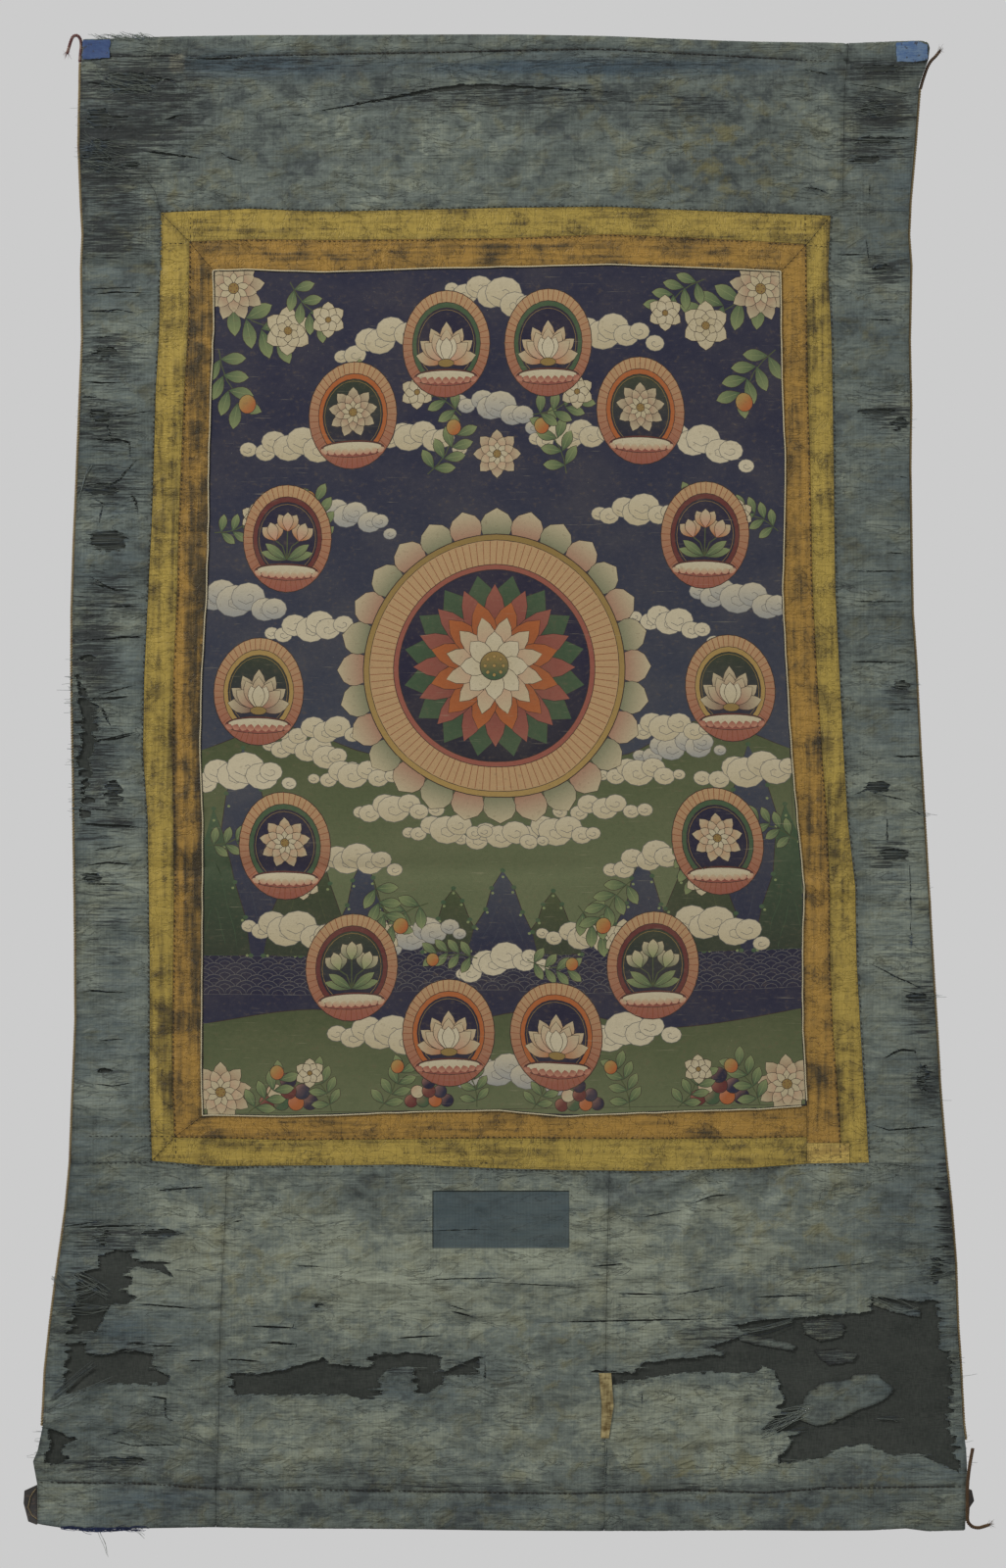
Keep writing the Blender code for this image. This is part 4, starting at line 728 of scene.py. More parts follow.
@dataclass
class Cloth:
    """One sheet of cloth, made as a thin closed shell on the hanging surface.

    Attributes:
        name: The piece's name, which is its solid's name.
        outline: The seam lines or edges round it.
        slot: The material slot.
        thick: Its thickness at the edges.
        body: Its thickness away from them, where a coarser back lies behind it.
        depth: The depth of its front face.
        holes: The tears in it.
        wide: The spacing of its points across.
        tall: The spacing of its points down.
        coarse: The spacing of its back's points.
        dip: How far its sewn edges sink.
        curl: How far its torn edges stand up.
        head: Whether it turns over the scroll's top edge as a hem.
        foot: Whether it turns under the scroll's bottom edge as a hem.
        painting: What is painted on it.
        flat: Its points, laid flat.
        cut: Its edge with its tears.
    """

    name: str
    outline: Line
    slot: str
    thick: float = 0.35
    body: float = 1.5
    depth: float = 0.0
    holes: Sequence[Line] = ()
    wide: float = 4.4
    tall: float = 3.2
    coarse: float = 11.0
    dip: float = 0.45
    curl: float = 0.9
    head: bool = False
    foot: bool = False
    painting: Painting | None = None
    flat: Floats = field(init=False, repr=False)
    cut: Cut = field(init=False, repr=False)

    def build(self) -> bpy.types.Object:
        """Builds the sheet's mesh and puts it in the scene."""
        self.cut = Cut(shrink(self.outline, GAP / 2), self.holes)
        marks = self.painting.marks() if self.painting else None
        front, near = self.cut.fill(self.wide, self.tall, 1.1, self._hem_points(), marks)
        rear, far = self.cut.fill(self.coarse, self.coarse)
        high, low = self._places(front, 0.0), self._places(rear, self.thick)
        places = np.vstack((high, low))
        faces = [*near, *(far[:, ::-1] + len(front))]
        a, b = self.cut.edges[:, 0], self.cut.edges[:, 1]
        walls = np.column_stack((a, a + len(front), b + len(front), b))
        mesh = bpy.data.meshes.new(self.name)
        mesh.from_pydata(places.tolist(), [], [*map(list, faces), *walls.tolist()])
        mesh.update()
        mesh.shade_smooth()
        mesh.set_sharp_from_angle(angle=math.radians(50))
        self.flat = np.vstack((front, rear))
        torn, middle = self.cut.torn, self.cut.middles()
        # torn: nearness to tears. seam: nearness to sewn edges and the hem's stitched line, which the
        # finishes darken as painted shade and the leather lightens as a painted highlight.
        keep_values(mesh, {
            "torn": np.exp(-distances(self.flat, middle[torn]) / 7.0),
            "seam": np.maximum(np.exp(-distances(self.flat, middle[~torn]) / 2.4), self._hem_line()),
        })
        if self.painting:
            tints = np.ones((len(mesh.loops), 4), np.float32)
            tints[: near.size, :3] = self.painting.tints(front, near).reshape(-1, 3)
            paint = mesh.color_attributes.new("paint", "FLOAT_COLOR", "CORNER")
            paint.data.foreach_set("color", tints.ravel())
        return link(self.name, mesh, [self.name] if self.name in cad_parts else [])

    def area(self) -> float:
        """Returns the sheet's flat area in square metres, tears left out."""
        starts, stops = self.cut.ends()
        return abs(float((starts[:, 0] * stops[:, 1] - stops[:, 0] * starts[:, 1]).sum())) / 2 * MM**2

    def size(self) -> tuple[float, float]:
        """Returns the flat width and length of the cut, in metres."""
        across, down = np.ptp(self.outline, axis=0) * MM
        return float(across), float(down)

    def _hems(self) -> tuple:
        """Returns whether each hem is used, its stitched line, the edge it folds at and its direction."""
        return (self.head, HEAD_HEM, TOP["edge"], -1), (self.foot, FOOT_HEM, FOOT["edge"], 1)

    def _hem_line(self) -> Floats:
        """Returns 1 on the hem's stitched line, fading beside it."""
        x, z = self.flat.T
        line = np.zeros_like(x)
        for used, hem, _, _ in self._hems():
            if used:
                line = np.maximum(line, np.exp(-(((z - at(hem, x)) / 1.5) ** 2)))
        return line

    def _hem_points(self) -> Floats | None:
        """Returns points beside the hem's stitched line and round its fold."""
        rows = []
        for used, hem, edge, sign in self._hems():
            if used:
                low, high = np.min(self.outline, axis=0)[0], np.max(self.outline, axis=0)[0]
                x = np.arange(low + 1.0, high - 1.0, 3.4)
                rows += [np.column_stack((x, at(hem, x) + sign * off)) for off in (-1.2, 0.0, 1.2, 2.6)]
                bends = [MIDDLE * math.pi * s - MIDDLE for s in np.linspace(0, 1, 7)]
                rows += [np.column_stack((x, at(edge, x) + sign * bend)) for bend in bends]
        return np.vstack(rows) if rows else None

    def _places(self, flat: Floats, behind: float) -> Floats:
        """Returns where the flat cloth's points lie once it hangs, on its front or behind it."""
        x, z = flat[:, 0], flat[:, 1]
        torn, middle = self.cut.torn, self.cut.middles()
        tear, seam = distances(flat, middle[torn]), distances(flat, middle[~torn])
        lift = 0.5 + 0.5 * noise(x, z, 9.0, 7.0, 31)
        depth = self.depth + self.dip * np.exp(-((seam / 1.1) ** 2))
        depth = depth - self.curl * lift * np.exp(-((tear / 4.0) ** 2))
        inner = np.full_like(x, behind)
        if behind:
            inner += (self.body - self.thick) * ease(0.0, 8.0, np.minimum(tear, seam))
        drop = z.copy()
        for used, hem, edge, sign in self._hems():
            past = sign * (z - at(hem, x))
            if behind:
                inner = behind + (inner - behind) * ease(2.0, -6.0, past)
            if not used:
                continue
            depth += 0.45 * np.exp(-((past / 1.3) ** 2)) - HEM_PUFF * ease(0.0, 4.0, past)
            turn = sign * (z - at(edge, x)) + MIDDLE
            inner = np.where(turn > -8.0, np.minimum(inner, self.thick), inner)
            angle = np.clip(turn / MIDDLE, 0.0, math.pi)
            bent = turn > 0.0
            base = at(edge, x) - sign * MIDDLE
            reach = MIDDLE - inner
            beyond = np.maximum(turn - math.pi * MIDDLE, 0.0)
            drop = np.where(bent, base + sign * (reach * np.sin(angle) - beyond), drop)
            folded = MIDDLE - reach * np.cos(angle) - HEM_PUFF * np.cos(angle / 2)
            depth = np.where(bent, folded - inner, depth)
        return spots(x, drop, depth + inner)


class Lay(Enum):
    """How a strand's section is built up."""

    SINGLE = 1
    TWO_PLY = 2
    THREE_PLY = 3


@dataclass(frozen=True)
class StrandTree:
    """A node tree that sweeps threads, stitches and twisted cords along the lines of a mesh.

    Attributes:
        lay: The number of plies.
        sides: The sides of each ply.
    """

    lay: Lay
    sides: int

    def build(self) -> bpy.types.NodeTree:
        """Builds the tree, whose inputs are the step, the twist, the plies' offset and the finish."""
        tree = bpy.data.node_groups.new(f"strand_{self.lay.name.lower()}_{self.sides}", "GeometryNodeTree")
        face = tree.interface
        face.new_socket("Lines", in_out="INPUT", socket_type="NodeSocketGeometry")
        for name in ("Step", "Twist", "Offset", "Ply"):
            face.new_socket(name, in_out="INPUT", socket_type="NodeSocketFloat")
        face.new_socket("Finish", in_out="INPUT", socket_type="NodeSocketMaterial")
        face.new_socket("Strands", in_out="OUTPUT", socket_type="NodeSocketGeometry")
        given, result = tree.nodes.new("NodeGroupInput").outputs, tree.nodes.new("NodeGroupOutput")
        line = self._node(tree, "GeometryNodeMeshToCurve", {"Mesh": given["Lines"]})
        if self.lay is not Lay.SINGLE:
            even = {"Curve": line, "Length": given["Step"]}
            line = self._node(tree, "GeometryNodeResampleCurve", even, mode="LENGTH")
            along = self._node(tree, "GeometryNodeSplineParameter", {}, "Length")
            turn = self._node(tree, "ShaderNodeMath", {0: along, 1: given["Twist"]}, operation="MULTIPLY")
            line = self._node(tree, "GeometryNodeSetCurveTilt", {"Curve": line, "Tilt": turn})
        plies = tree.nodes.new("GeometryNodeJoinGeometry")
        for number in range(self.lay.value):
            round_ply = {"Resolution": self.sides, "Radius": given["Ply"]}
            ring = self._node(tree, "GeometryNodeCurvePrimitiveCircle", round_ply)
            turned = 2 * math.pi * number / self.lay.value
            way = {0: (math.cos(turned), math.sin(turned), 0.0), "Scale": given["Offset"]}
            shift = self._node(tree, "ShaderNodeVectorMath", way, operation="SCALE")
            moved = self._node(tree, "GeometryNodeTransform", {"Geometry": ring, "Translation": shift})
            tree.links.new(moved, plies.inputs["Geometry"])
        wide = self._node(tree, "GeometryNodeInputNamedAttribute", {"Name": "wide"}, "Attribute")
        sweep = {"Curve": line, "Profile Curve": plies.outputs[0], "Scale": wide, "Fill Caps": True}
        swept = self._node(tree, "GeometryNodeCurveToMesh", sweep)
        for kind in ("GeometryNodeRealizeInstances", "GeometryNodeSetShadeSmooth"):
            swept = self._node(tree, kind, {"Geometry": swept})
        dressed = {"Geometry": swept, "Material": given["Finish"]}
        tree.links.new(self._node(tree, "GeometryNodeSetMaterial", dressed), result.inputs["Strands"])
        return tree

    @staticmethod
    def _node(tree: bpy.types.NodeTree, kind: str, inputs: dict, output: str | int = 0,
              **settings: str) -> bpy.types.NodeSocket:
        """Adds a node with its settings and the links or values of its inputs, and returns an output."""
        made = tree.nodes.new(kind)
        for name, value in settings.items():
            setattr(made, name, value)
        for name, value in inputs.items():
            if isinstance(value, bpy.types.NodeSocket):
                tree.links.new(value, made.inputs[name])
            else:
                made.inputs[name].default_value = value
        return made.outputs[output]


@dataclass
class Strands:
    """Threads, stitches or cords that run along lines, joined in one piece.

    Attributes:
        name: The piece's name.
        slot: The material slot; not used.
        finish: The material.
        diameter: The strands' diameter in mm.
        lay: The number of plies.
        sides: The sides of each ply.
        step: The distance between sections along a twisted strand, in mm.
        pitch: The length of one turn of the twist, in mm.
        ply: Each ply's radius as a share of the strand's.
    """

    name: str
    slot: str
    finish: bpy.types.Material
    diameter: float
    lay: Lay = Lay.SINGLE
    sides: int = 3
    step: float = 1.0
    pitch: float = 6.0
    ply: float = 0.52
    lines: list[Floats] = field(default_factory=list)
    wides: list[Floats] = field(default_factory=list)
    shades: list[float] = field(default_factory=list)

    def add(self, places: Floats, shade: float = 0.5, wide: Floats | float = 1.0) -> None:
        """Adds one strand through places in metres, with its shade and its relative width."""
        self.lines.append(np.asarray(places))
        self.wides.append(np.broadcast_to(wide, len(places)))
        self.shades.append(shade)

    def build(self, replaced: Sequence[str] = ()) -> bpy.types.Object:
        """Sweeps the strands with Geometry Nodes and puts them in the scene as a plain mesh."""
        sizes = [len(line) for line in self.lines]
        starts = np.cumsum([0, *sizes[:-1]])
        edges = np.vstack([np.column_stack((np.arange(s, s + n - 1), np.arange(s + 1, s + n)))
                           for s, n in zip(starts, sizes)])
        guide = bpy.data.meshes.new(f"{self.name}_lines")
        guide.from_pydata(np.vstack(self.lines).tolist(), edges.tolist(), [])
        keep_values(guide, {"wide": np.concatenate(self.wides), "shade": np.repeat(self.shades, sizes)})
        carrier = bpy.data.objects.new(f"{self.name}_guide", guide)
        bpy.context.scene.collection.objects.link(carrier)
        tree = StrandTree(self.lay, self.sides).build()
        sweep = carrier.modifiers.new("sweep", "NODES")
        sweep.node_group = tree
        radius = self.diameter / 2 * MM
        twisted = self.lay is not Lay.SINGLE
        given = {
            "Step": self.step * MM, "Twist": 2 * math.pi / (self.pitch * MM), "Finish": self.finish,
            "Offset": radius * (1.0 - self.ply) if twisted else 0.0,
            "Ply": radius * (self.ply if twisted else 1.0),
        }
        for socket in tree.interface.items_tree:
            if socket.in_out == "INPUT" and socket.name in given:
                sweep[socket.identifier] = given[socket.name]
        seen = carrier.evaluated_get(bpy.context.evaluated_depsgraph_get())
        mesh = bpy.data.meshes.new_from_object(seen)
        mesh.name = self.name
        bpy.data.objects.remove(carrier)
        return link(self.name, mesh, replaced)


class Value:
    """A shader socket that can be used in sums and products."""

    def __init__(self, shader: Shader, socket: bpy.types.NodeSocket) -> None:
        """Wraps one output socket of a shader."""
        self.shader, self.socket = shader, socket

    def _math(self, kind: str, *others: Value | float, clamp: bool = False) -> Value:
        """Adds a Math node of a kind, with this value as its first input."""
        return self.shader.node("ShaderNodeMath", {"operation": kind, "use_clamp": clamp}, (self, *others))

    def __add__(self, other: Value | float) -> Value:
        """Adds."""
        return self._math("ADD", other)

    def __sub__(self, other: Value | float) -> Value:
        """Subtracts."""
        return self._math("SUBTRACT", other)

    def __rsub__(self, other: float) -> Value:
        """Subtracts from a number."""
        return self.shader.node("ShaderNodeMath", {"operation": "SUBTRACT"}, (other, self))

    def __mul__(self, other: Value | float) -> Value:
        """Multiplies."""
        return self._math("MULTIPLY", other)

    __radd__ = __add__
    __rmul__ = __mul__

    def __abs__(self) -> Value:
        """Drops the sign."""
        return self._math("ABSOLUTE")

    def sine(self) -> Value:
        """Returns the sine of an angle."""
        return self._math("SINE")

    def __pow__(self, power: float) -> Value:
        """Raises to a power."""
        return self._math("POWER", power)

    def most(self, other: Value | float) -> Value:
        """Returns the larger of two values."""
        return self._math("MAXIMUM", other)

    def clamp(self) -> Value:
        """Keeps the value from 0 to 1."""
        return self._math("ADD", 0.0, clamp=True)

    def ease(self, low: float, high: float) -> Value:
        """Returns 0 at low, 1 at high and a smooth rise between them, which may also fall."""
        inputs = {"Value": self, "From Min": low, "From Max": high}
        return self.shader.node("ShaderNodeMapRange", {"interpolation_type": "SMOOTHSTEP"}, inputs)


class Shader:
    """A material under construction."""

    def __init__(self, name: str) -> None:
        """Starts a material with its Principled surface."""
        self.material = bpy.data.materials.new(name)
        self.material.use_nodes = True
        self.tree = self.material.node_tree
        self.surface = self.tree.nodes["Principled BSDF"]

    def put(self, socket: bpy.types.NodeSocket, value: object) -> None:
        """Links a value to a socket, or sets the socket to it."""
        if isinstance(value, Value):
            self.tree.links.new(value.socket, socket)
        elif socket.type == "RGBA" and len(value) == 3:
            socket.default_value = (*value, 1.0)
        else:
            socket.default_value = value

    def node(self, kind: str, settings: dict[str, object], inputs: dict | Sequence,
             output: str | int = 0) -> Value:
        """Adds a node.

        Args:
            kind: The node's type.
            settings: Its settings, which are set before its sockets.
            inputs: The values or links of its sockets, by name or in order.
            output: The socket that the result reads.

        Returns:
            The node's output.
        """
        made = self.tree.nodes.new(kind)
        for name, value in settings.items():
            setattr(made, name, value)
        pairs = inputs.items() if isinstance(inputs, dict) else enumerate(inputs)
        for name, value in pairs:
            self.put(made.inputs[name], value)
        return Value(self, made.outputs[output])

    def place(self) -> Value:
        """Returns the place on the piece in metres, in the scroll's own frame."""
        return self.node("ShaderNodeTexCoord", {}, {}, "Object")

    def axis(self, place: Value, name: str) -> Value:
        """Returns one coordinate of a place, in mm."""
        return self.node("ShaderNodeSeparateXYZ", {}, [place], name) * (1.0 / MM)

    def held(self, name: str) -> Value:
        """Returns a number that is stored on the mesh."""
        return self.node("ShaderNodeAttribute", {"attribute_name": name}, {}, "Fac")

    def held_colour(self, name: str) -> Value:
        """Returns a colour that is stored on the mesh."""
        return self.node("ShaderNodeAttribute", {"attribute_name": name}, {}, "Color")

    def grain(self, sizes: tuple[float, float, float], detail: float = 2.0, rough: float = 0.5,
              swirl: float = 0.0, turn: float = 0.0) -> Value:
        """Returns noise about 0.5 whose blobs have the given sizes in mm across, deep and down.

        Args:
            sizes: The sizes.
            detail: The number of finer layers.
            rough: The weight of the finer layers.
            swirl: How far the noise is bent by itself.
            turn: How far its blobs are turned from level, in radians.
        """
        scale = tuple(1.0 / (size * MM) for size in sizes)
        place = self.place()
        if turn:
            place = self.node("ShaderNodeMapping", {}, {"Vector": place, "Rotation": (0.0, turn, 0.0)})
        place = self.node("ShaderNodeVectorMath", {"operation": "MULTIPLY"}, (place, scale))
        inputs = {"Vector": place, "Scale": 1.0, "Detail": detail, "Roughness": rough, "Distortion": swirl}
        return self.node("ShaderNodeTexNoise", {}, inputs)

    def grey_times(self, colour: Value, light: Value) -> Value:
        """Returns a colour made lighter or darker by a factor."""
        return self.mix(colour, self.node("ShaderNodeCombineXYZ", {}, (light, light, light)), 1.0, "MULTIPLY")

    def mix(self, first: Value | Colour, second: Value | Colour, share: Value | float,
            kind: str = "MIX") -> Value:
        """Mixes two colours."""
        made = self.tree.nodes.new("ShaderNodeMix")
        made.data_type, made.blend_type = "RGBA", kind
        for index, value in ((0, share), (6, first), (7, second)):
            self.put(made.inputs[index], value)
        return Value(self, made.outputs[2])

    def raised(self, height: Value, distance: float, strength: float = 1.0) -> Value:
        """Returns the normal of a surface raised by a height from 0 to 1 times a distance in mm."""
        inputs = {"Height": height, "Distance": distance * MM, "Strength": strength}
        return self.node("ShaderNodeBump", {}, inputs, "Normal")

    def finish(self, **sockets: object) -> bpy.types.Material:
        """Sets the surface's sockets, named with _ for a space, and returns the material."""
        for name, value in sockets.items():
            self.put(self.surface.inputs[name.replace("_", " ")], value)
        return self.material


def srgb(red: float, green: float, blue: float) -> Colour:
    """Returns the linear colour of a screen colour whose parts go from 0 to 255."""
    parts = (part / 255 for part in (red, green, blue))
    return tuple(p / 12.92 if p <= 0.04045 else ((p + 0.055) / 1.055) ** 2.4 for p in parts)


def seen(red: float, green: float, blue: float) -> Colour:
    """Returns the colour of a surface that shows as a screen colour in the studio's light."""
    return tuple(part / STUDIO_LIGHT for part in srgb(red, green, blue))


@dataclass(frozen=True)
class SilkFinish:
    """Faded blue-green silk, mottled, crushed and worn along its threads, with painted shade along seams, the
    hem and fine creases and in broad folds.
    """

    name: str = "worn_silk"
    deep: Colour = seen(60, 67, 66)
    middle: Colour = seen(100, 108, 100)
    pale: Colour = seen(141, 146, 127)
    blue: Colour = seen(52, 72, 86)
    stain: Colour = seen(116, 110, 68)
    worn: Colour = seen(34, 37, 37)
    unfaded: Colour = seen(62, 76, 80)
    bleached: Colour = seen(168, 164, 138)
    label: Box = (-57.2, 943.2, 54.0, 989.6)
    bare_spot: Box = (-272.0, 15.5, -261.0, 30.0)

    def build(self) -> bpy.types.Material:
        """Builds the material."""
        s = Shader(self.name)
        place = s.place()
        x, drop = s.axis(place, "X"), s.axis(place, "Z") * -1.0
        weft, warp = s.grain((30.0, 5.0, 1.3), 2.0, 0.6), s.grain((1.3, 5.0, 26.0), 2.0, 0.6)
        drift = s.grain((24.0, 9.0, 24.0), 2.0) * 5.0
        ribs = ((x * 2.4 + drift).sine() + (drop * 2.4 + drift).sine()) * 0.5
        mottle, cloud = s.grain((15.0, 9.0, 12.0), 6.0, 0.7, 0.5), s.grain((75.0, 50.0, 45.0), 3.0, 0.5)
        streak = s.grain((60.0, 9.0, 3.2), 5.0, 0.65, 0.3)
        patch = s.grain((21.0, 9.0, 17.0), 5.0, 0.62, 0.4)
        faded, torn, wear = s.held("faded"), s.held("torn"), s.held("worn")
        speckle = s.grain((3.2, 3.0, 2.2), 3.0, 0.7)
        tone = mottle * 0.8 + cloud * 0.62 + streak * 0.24 + speckle * 0.2 + faded * 0.3 - 0.5
        tone = tone.ease(0.2, 0.84)
        colour = s.mix(s.mix(self.deep, self.middle, tone.ease(0.0, 0.5)), self.pale, tone.ease(0.45, 1.0))
        colour = s.mix(colour, self.stain, patch.ease(0.48, 0.66) * (0.2 + s.held("stained") * 0.75))
        bluish = (mottle * 0.5 + streak * 0.5 + s.held("blued") * 0.3).ease(0.52, 0.76) * s.held("blued")
        colour = s.mix(colour, self.blue, bluish.most(torn * patch.ease(0.4, 0.6) * 0.35).clamp())
        even = self._within(x, drop, self.label, 0.6)
        colour = s.mix(colour, self.unfaded, even * (0.8 + 0.2 * weft))
        wobble = s.grain((4.0, 4.0, 4.0), 2.0) * 5.0 - 2.5
        bare = self._within(x + wobble, drop + wobble, self.bare_spot, 2.0)
        colour = s.mix(colour, self.bleached, bare * 0.5)
        crease = s.grain((44.0, 12.0, 9.0), 4.0, 0.55, 0.9)
        # Thin lines along the crease noise, darkened below in the worn colour and sunk in the bump: painted
        # shade in fine creases.
        crack_and_crease_shade = abs(crease - 0.5).ease(0.02, 0.0) * cloud.ease(0.42, 0.56)
        shreds = s.grain((17.0, 4.0, 0.9), 3.0, 0.6, 0.15)
        worn = (shreds * 0.95 + streak * 0.62 + wear * 0.36).ease(0.95, 1.08) * wear.ease(0.08, 0.36)
        colour = s.mix(colour, self.worn, (worn * 0.88).most(crack_and_crease_shade * 0.4))
        # Soft blots that darken the silk, and broad slanted blobs darkened as painted shadow of large folds.
        darker_patches = s.grain((36.0, 20.0, 15.0), 6.0, 0.7, 0.5).ease(0.5, 0.66)
        shadow = s.grain((150.0, 60.0, 46.0), 3.0, 0.5, 0.6, -0.5).ease(0.46, 0.68)
        fold = abs(s.grain((80.0, 30.0, 15.0), 3.0, 0.5, 0.3, 0.5) - 0.5).ease(0.1, 0.0)
        other = abs(s.grain((66.0, 30.0, 14.0), 3.0, 0.5, 0.3, -0.6) - 0.5).ease(0.1, 0.0)
        fold, other = fold * patch.ease(0.5, 0.66), other * cloud.ease(0.52, 0.64)
        sewn = s.held("seam")
        # The weave's threads vary the brightness; near seams and the hem's stitched line it is darkened as
        # painted shade.
        light = 0.65 + 0.5 * weft + 0.46 * warp + 0.07 * ribs - 0.3 * sewn - 0.5 * sewn.ease(0.4, 0.95)
        colour = s.grey_times(colour, light - 0.2 * wear - 0.28 * darker_patches - 0.16 * shadow)
        soft = s.grain((60.0, 40.0, 22.0), 3.0, 0.55, 0.5)
        height = soft * 3.4 + crease * 0.8 + mottle * 0.5 + weft * 0.14 + warp * 0.14 - crack_and_crease_shade * 0.3
        height = height - worn * 0.2 + fold * 0.36 + other * 0.36
        bump = s.raised(height * (1.0 - 0.8 * even), 1.5, 0.9)
        return s.finish(Base_Color=colour, Roughness=0.55 + 0.2 * weft, Normal=bump, Specular_IOR_Level=0.22)

    @staticmethod
    def _within(x: Value, drop: Value, box: Box, blur: float) -> Value:
        """Returns 1 inside a box of the cloth and 0 outside, over a blurred edge."""
        left, top, right, low = box
        share = x.ease(left - blur, left + blur) * x.ease(right + blur, right - blur)
        return share * drop.ease(top - blur, top + blur) * drop.ease(low + blur, low - blur)


@dataclass(frozen=True)
class BandFinish:
    """Ribbed yellow silk, darkened in streaks, with painted shade along fine creases and seams."""

    name: str
    bright: Colour
    dark: Colour
    spots: Colour

    def build(self) -> bpy.types.Material:
        """Builds the material."""
        s = Shader(self.name)
        upright = s.held("upright")
        rib = self._along(s, upright, (22.0, 4.0, 1.1), 2.0)
        streak = self._along(s, upright, (70.0, 12.0, 4.6), 5.0)
        stripe = self._along(s, upright, (160.0, 20.0, 7.0), 2.0)
        cloud, fine = s.grain((26.0, 20.0, 22.0), 5.0, 0.62, 0.5), s.grain((0.9, 3.0, 0.9), 2.0, 0.5)
        soiled = s.held("soiled")
        dirt = (streak * 0.7 + stripe * 0.45 + cloud + rib * 0.15 + soiled * 0.5 - 0.74).ease(0.39, 0.84)
        colour = s.mix(self.bright, self.dark, dirt)
        speck = s.grain((5.0, 4.0, 4.0), 5.0, 0.7, 0.4).ease(0.55, 0.68)
        colour = s.mix(colour, self.spots, (speck * soiled * 0.8 + dirt * speck * 0.4).clamp())
        # Fine crease lines and crossing lines, darkened below in the specks' colour: painted shade in
        # creases.
        crease = abs(s.grain((15.0, 12.0, 11.0), 4.0, 0.55, 0.9) - 0.5).ease(0.02, 0.0)
        cross = abs(self._along(s, 1.0 - upright, (40.0, 14.0, 7.0), 3.0) - 0.5).ease(0.022, 0.0)
        lines = crease * cloud.ease(0.45, 0.6) * 0.5 + cross * streak.ease(0.5, 0.62) * 0.6
        colour = s.mix(colour, self.spots, lines.clamp())
        sewn = s.held("seam")
        # The ribs and fine threads vary the brightness; near seams it is darkened as painted shade.
        light = 0.58 + 0.56 * rib + 0.26 * fine - 0.3 * sewn - 0.6 * sewn.ease(0.4, 0.95)
        colour = s.grey_times(colour, light)
        pucker = self._along(s, 1.0 - upright, (30.0, 9.0, 12.0), 3.0)
        height = rib * 0.16 + streak * 0.7 + cloud * 1.6 + pucker * 1.3 - crease * 0.35 - cross * 0.3
        bump = s.raised(height, 1.0, 0.9)
        return s.finish(Base_Color=colour, Roughness=0.5 + 0.2 * rib, Normal=bump, Specular_IOR_Level=0.25)

    @staticmethod
    def _along(s: Shader, upright: Value, sizes: tuple[float, float, float], detail: float) -> Value:
        """Returns noise that is long across on level bands and long down on upright ones."""
        level, rise = s.grain(sizes, detail, 0.6), s.grain(sizes[::-1], detail, 0.6)
        return level * (1.0 - upright) + rise * upright


@dataclass(frozen=True)
class PlainClothFinish:
    """Plain woven cloth in one tone, with its threads and a little unevenness."""

    name: str
    tone: Colour
    other: Colour
    thread: float = 0.7
    rough: float = 0.85
    relief: float = 0.25
    figure: float = 60.0

    def build(self) -> bpy.types.Material:
        """Builds the material."""
        s = Shader(self.name)
        weft = s.grain((self.thread * 6, self.thread * 4, self.thread), 2.0, 0.5)
        warp = s.grain((self.thread, self.thread * 4, self.thread * 6), 2.0, 0.5)
        cloud = s.grain((self.figure, self.figure * 0.7, self.figure * 0.5), 4.0, 0.6)
        weave = weft * 0.5 + warp * 0.5
        colour = s.mix(self.tone, self.other, (cloud * 0.6 + weave * 0.7).ease(0.45, 0.85))
        bump = s.raised(weave, self.relief, 0.8)
        colour = s.grey_times(colour, 0.7 + 0.6 * weave)
        rough = self.rough + 0.08 * weave
        return s.finish(Base_Color=colour, Roughness=rough, Normal=bump, Specular_IOR_Level=0.15)


@dataclass(frozen=True)
class PaintFinish:
    """Matt mineral paint on sized cotton, rubbed, dusty and finely cracked across."""

    name: str = "painted_canvas"
    dust: Colour = seen(156, 142, 112)
    ground: Colour = seen(178, 166, 136)
    rubbed: Colour = seen(96, 82, 62)

    def build(self) -> bpy.types.Material:
        """Builds the material."""
        s = Shader(self.name)
        weave = s.grain((0.6, 3.0, 0.6), 1.0, 0.5)
        cloud = s.grain((50.0, 40.0, 40.0), 4.0, 0.6)
        brush = s.grain((4.0, 4.0, 3.0), 3.0, 0.6)
        crack_and_crease_shade = s.grain((30.0, 9.0, 1.1), 3.0, 0.6)
        fleck = s.grain((1.7, 3.0, 1.2), 2.0, 0.7)
        paint = s.held_colour("paint")
        colour = s.mix(paint, self.dust, 0.025 + 0.06 * cloud.ease(0.35, 0.75) + 0.04 * brush)
        colour = s.mix(colour, self.ground, crack_and_crease_shade.ease(0.66, 0.74) * 0.3)
        colour = s.mix(colour, self.ground, fleck.ease(0.7, 0.78) * cloud.ease(0.42, 0.65) * 0.6)
        colour = s.mix(colour, self.rubbed, brush.ease(0.56, 0.74) * 0.35)
        colour = s.grey_times(colour, 0.72 + 0.27 * weave + 0.35 * brush)
        bump = s.raised(weave * 0.6 + brush * 0.3 + crack_and_crease_shade * 0.6, 0.12, 0.7)
        rough = 0.72 + 0.12 * brush
        return s.finish(Base_Color=colour, Roughness=rough, Normal=bump, Specular_IOR_Level=0.12)


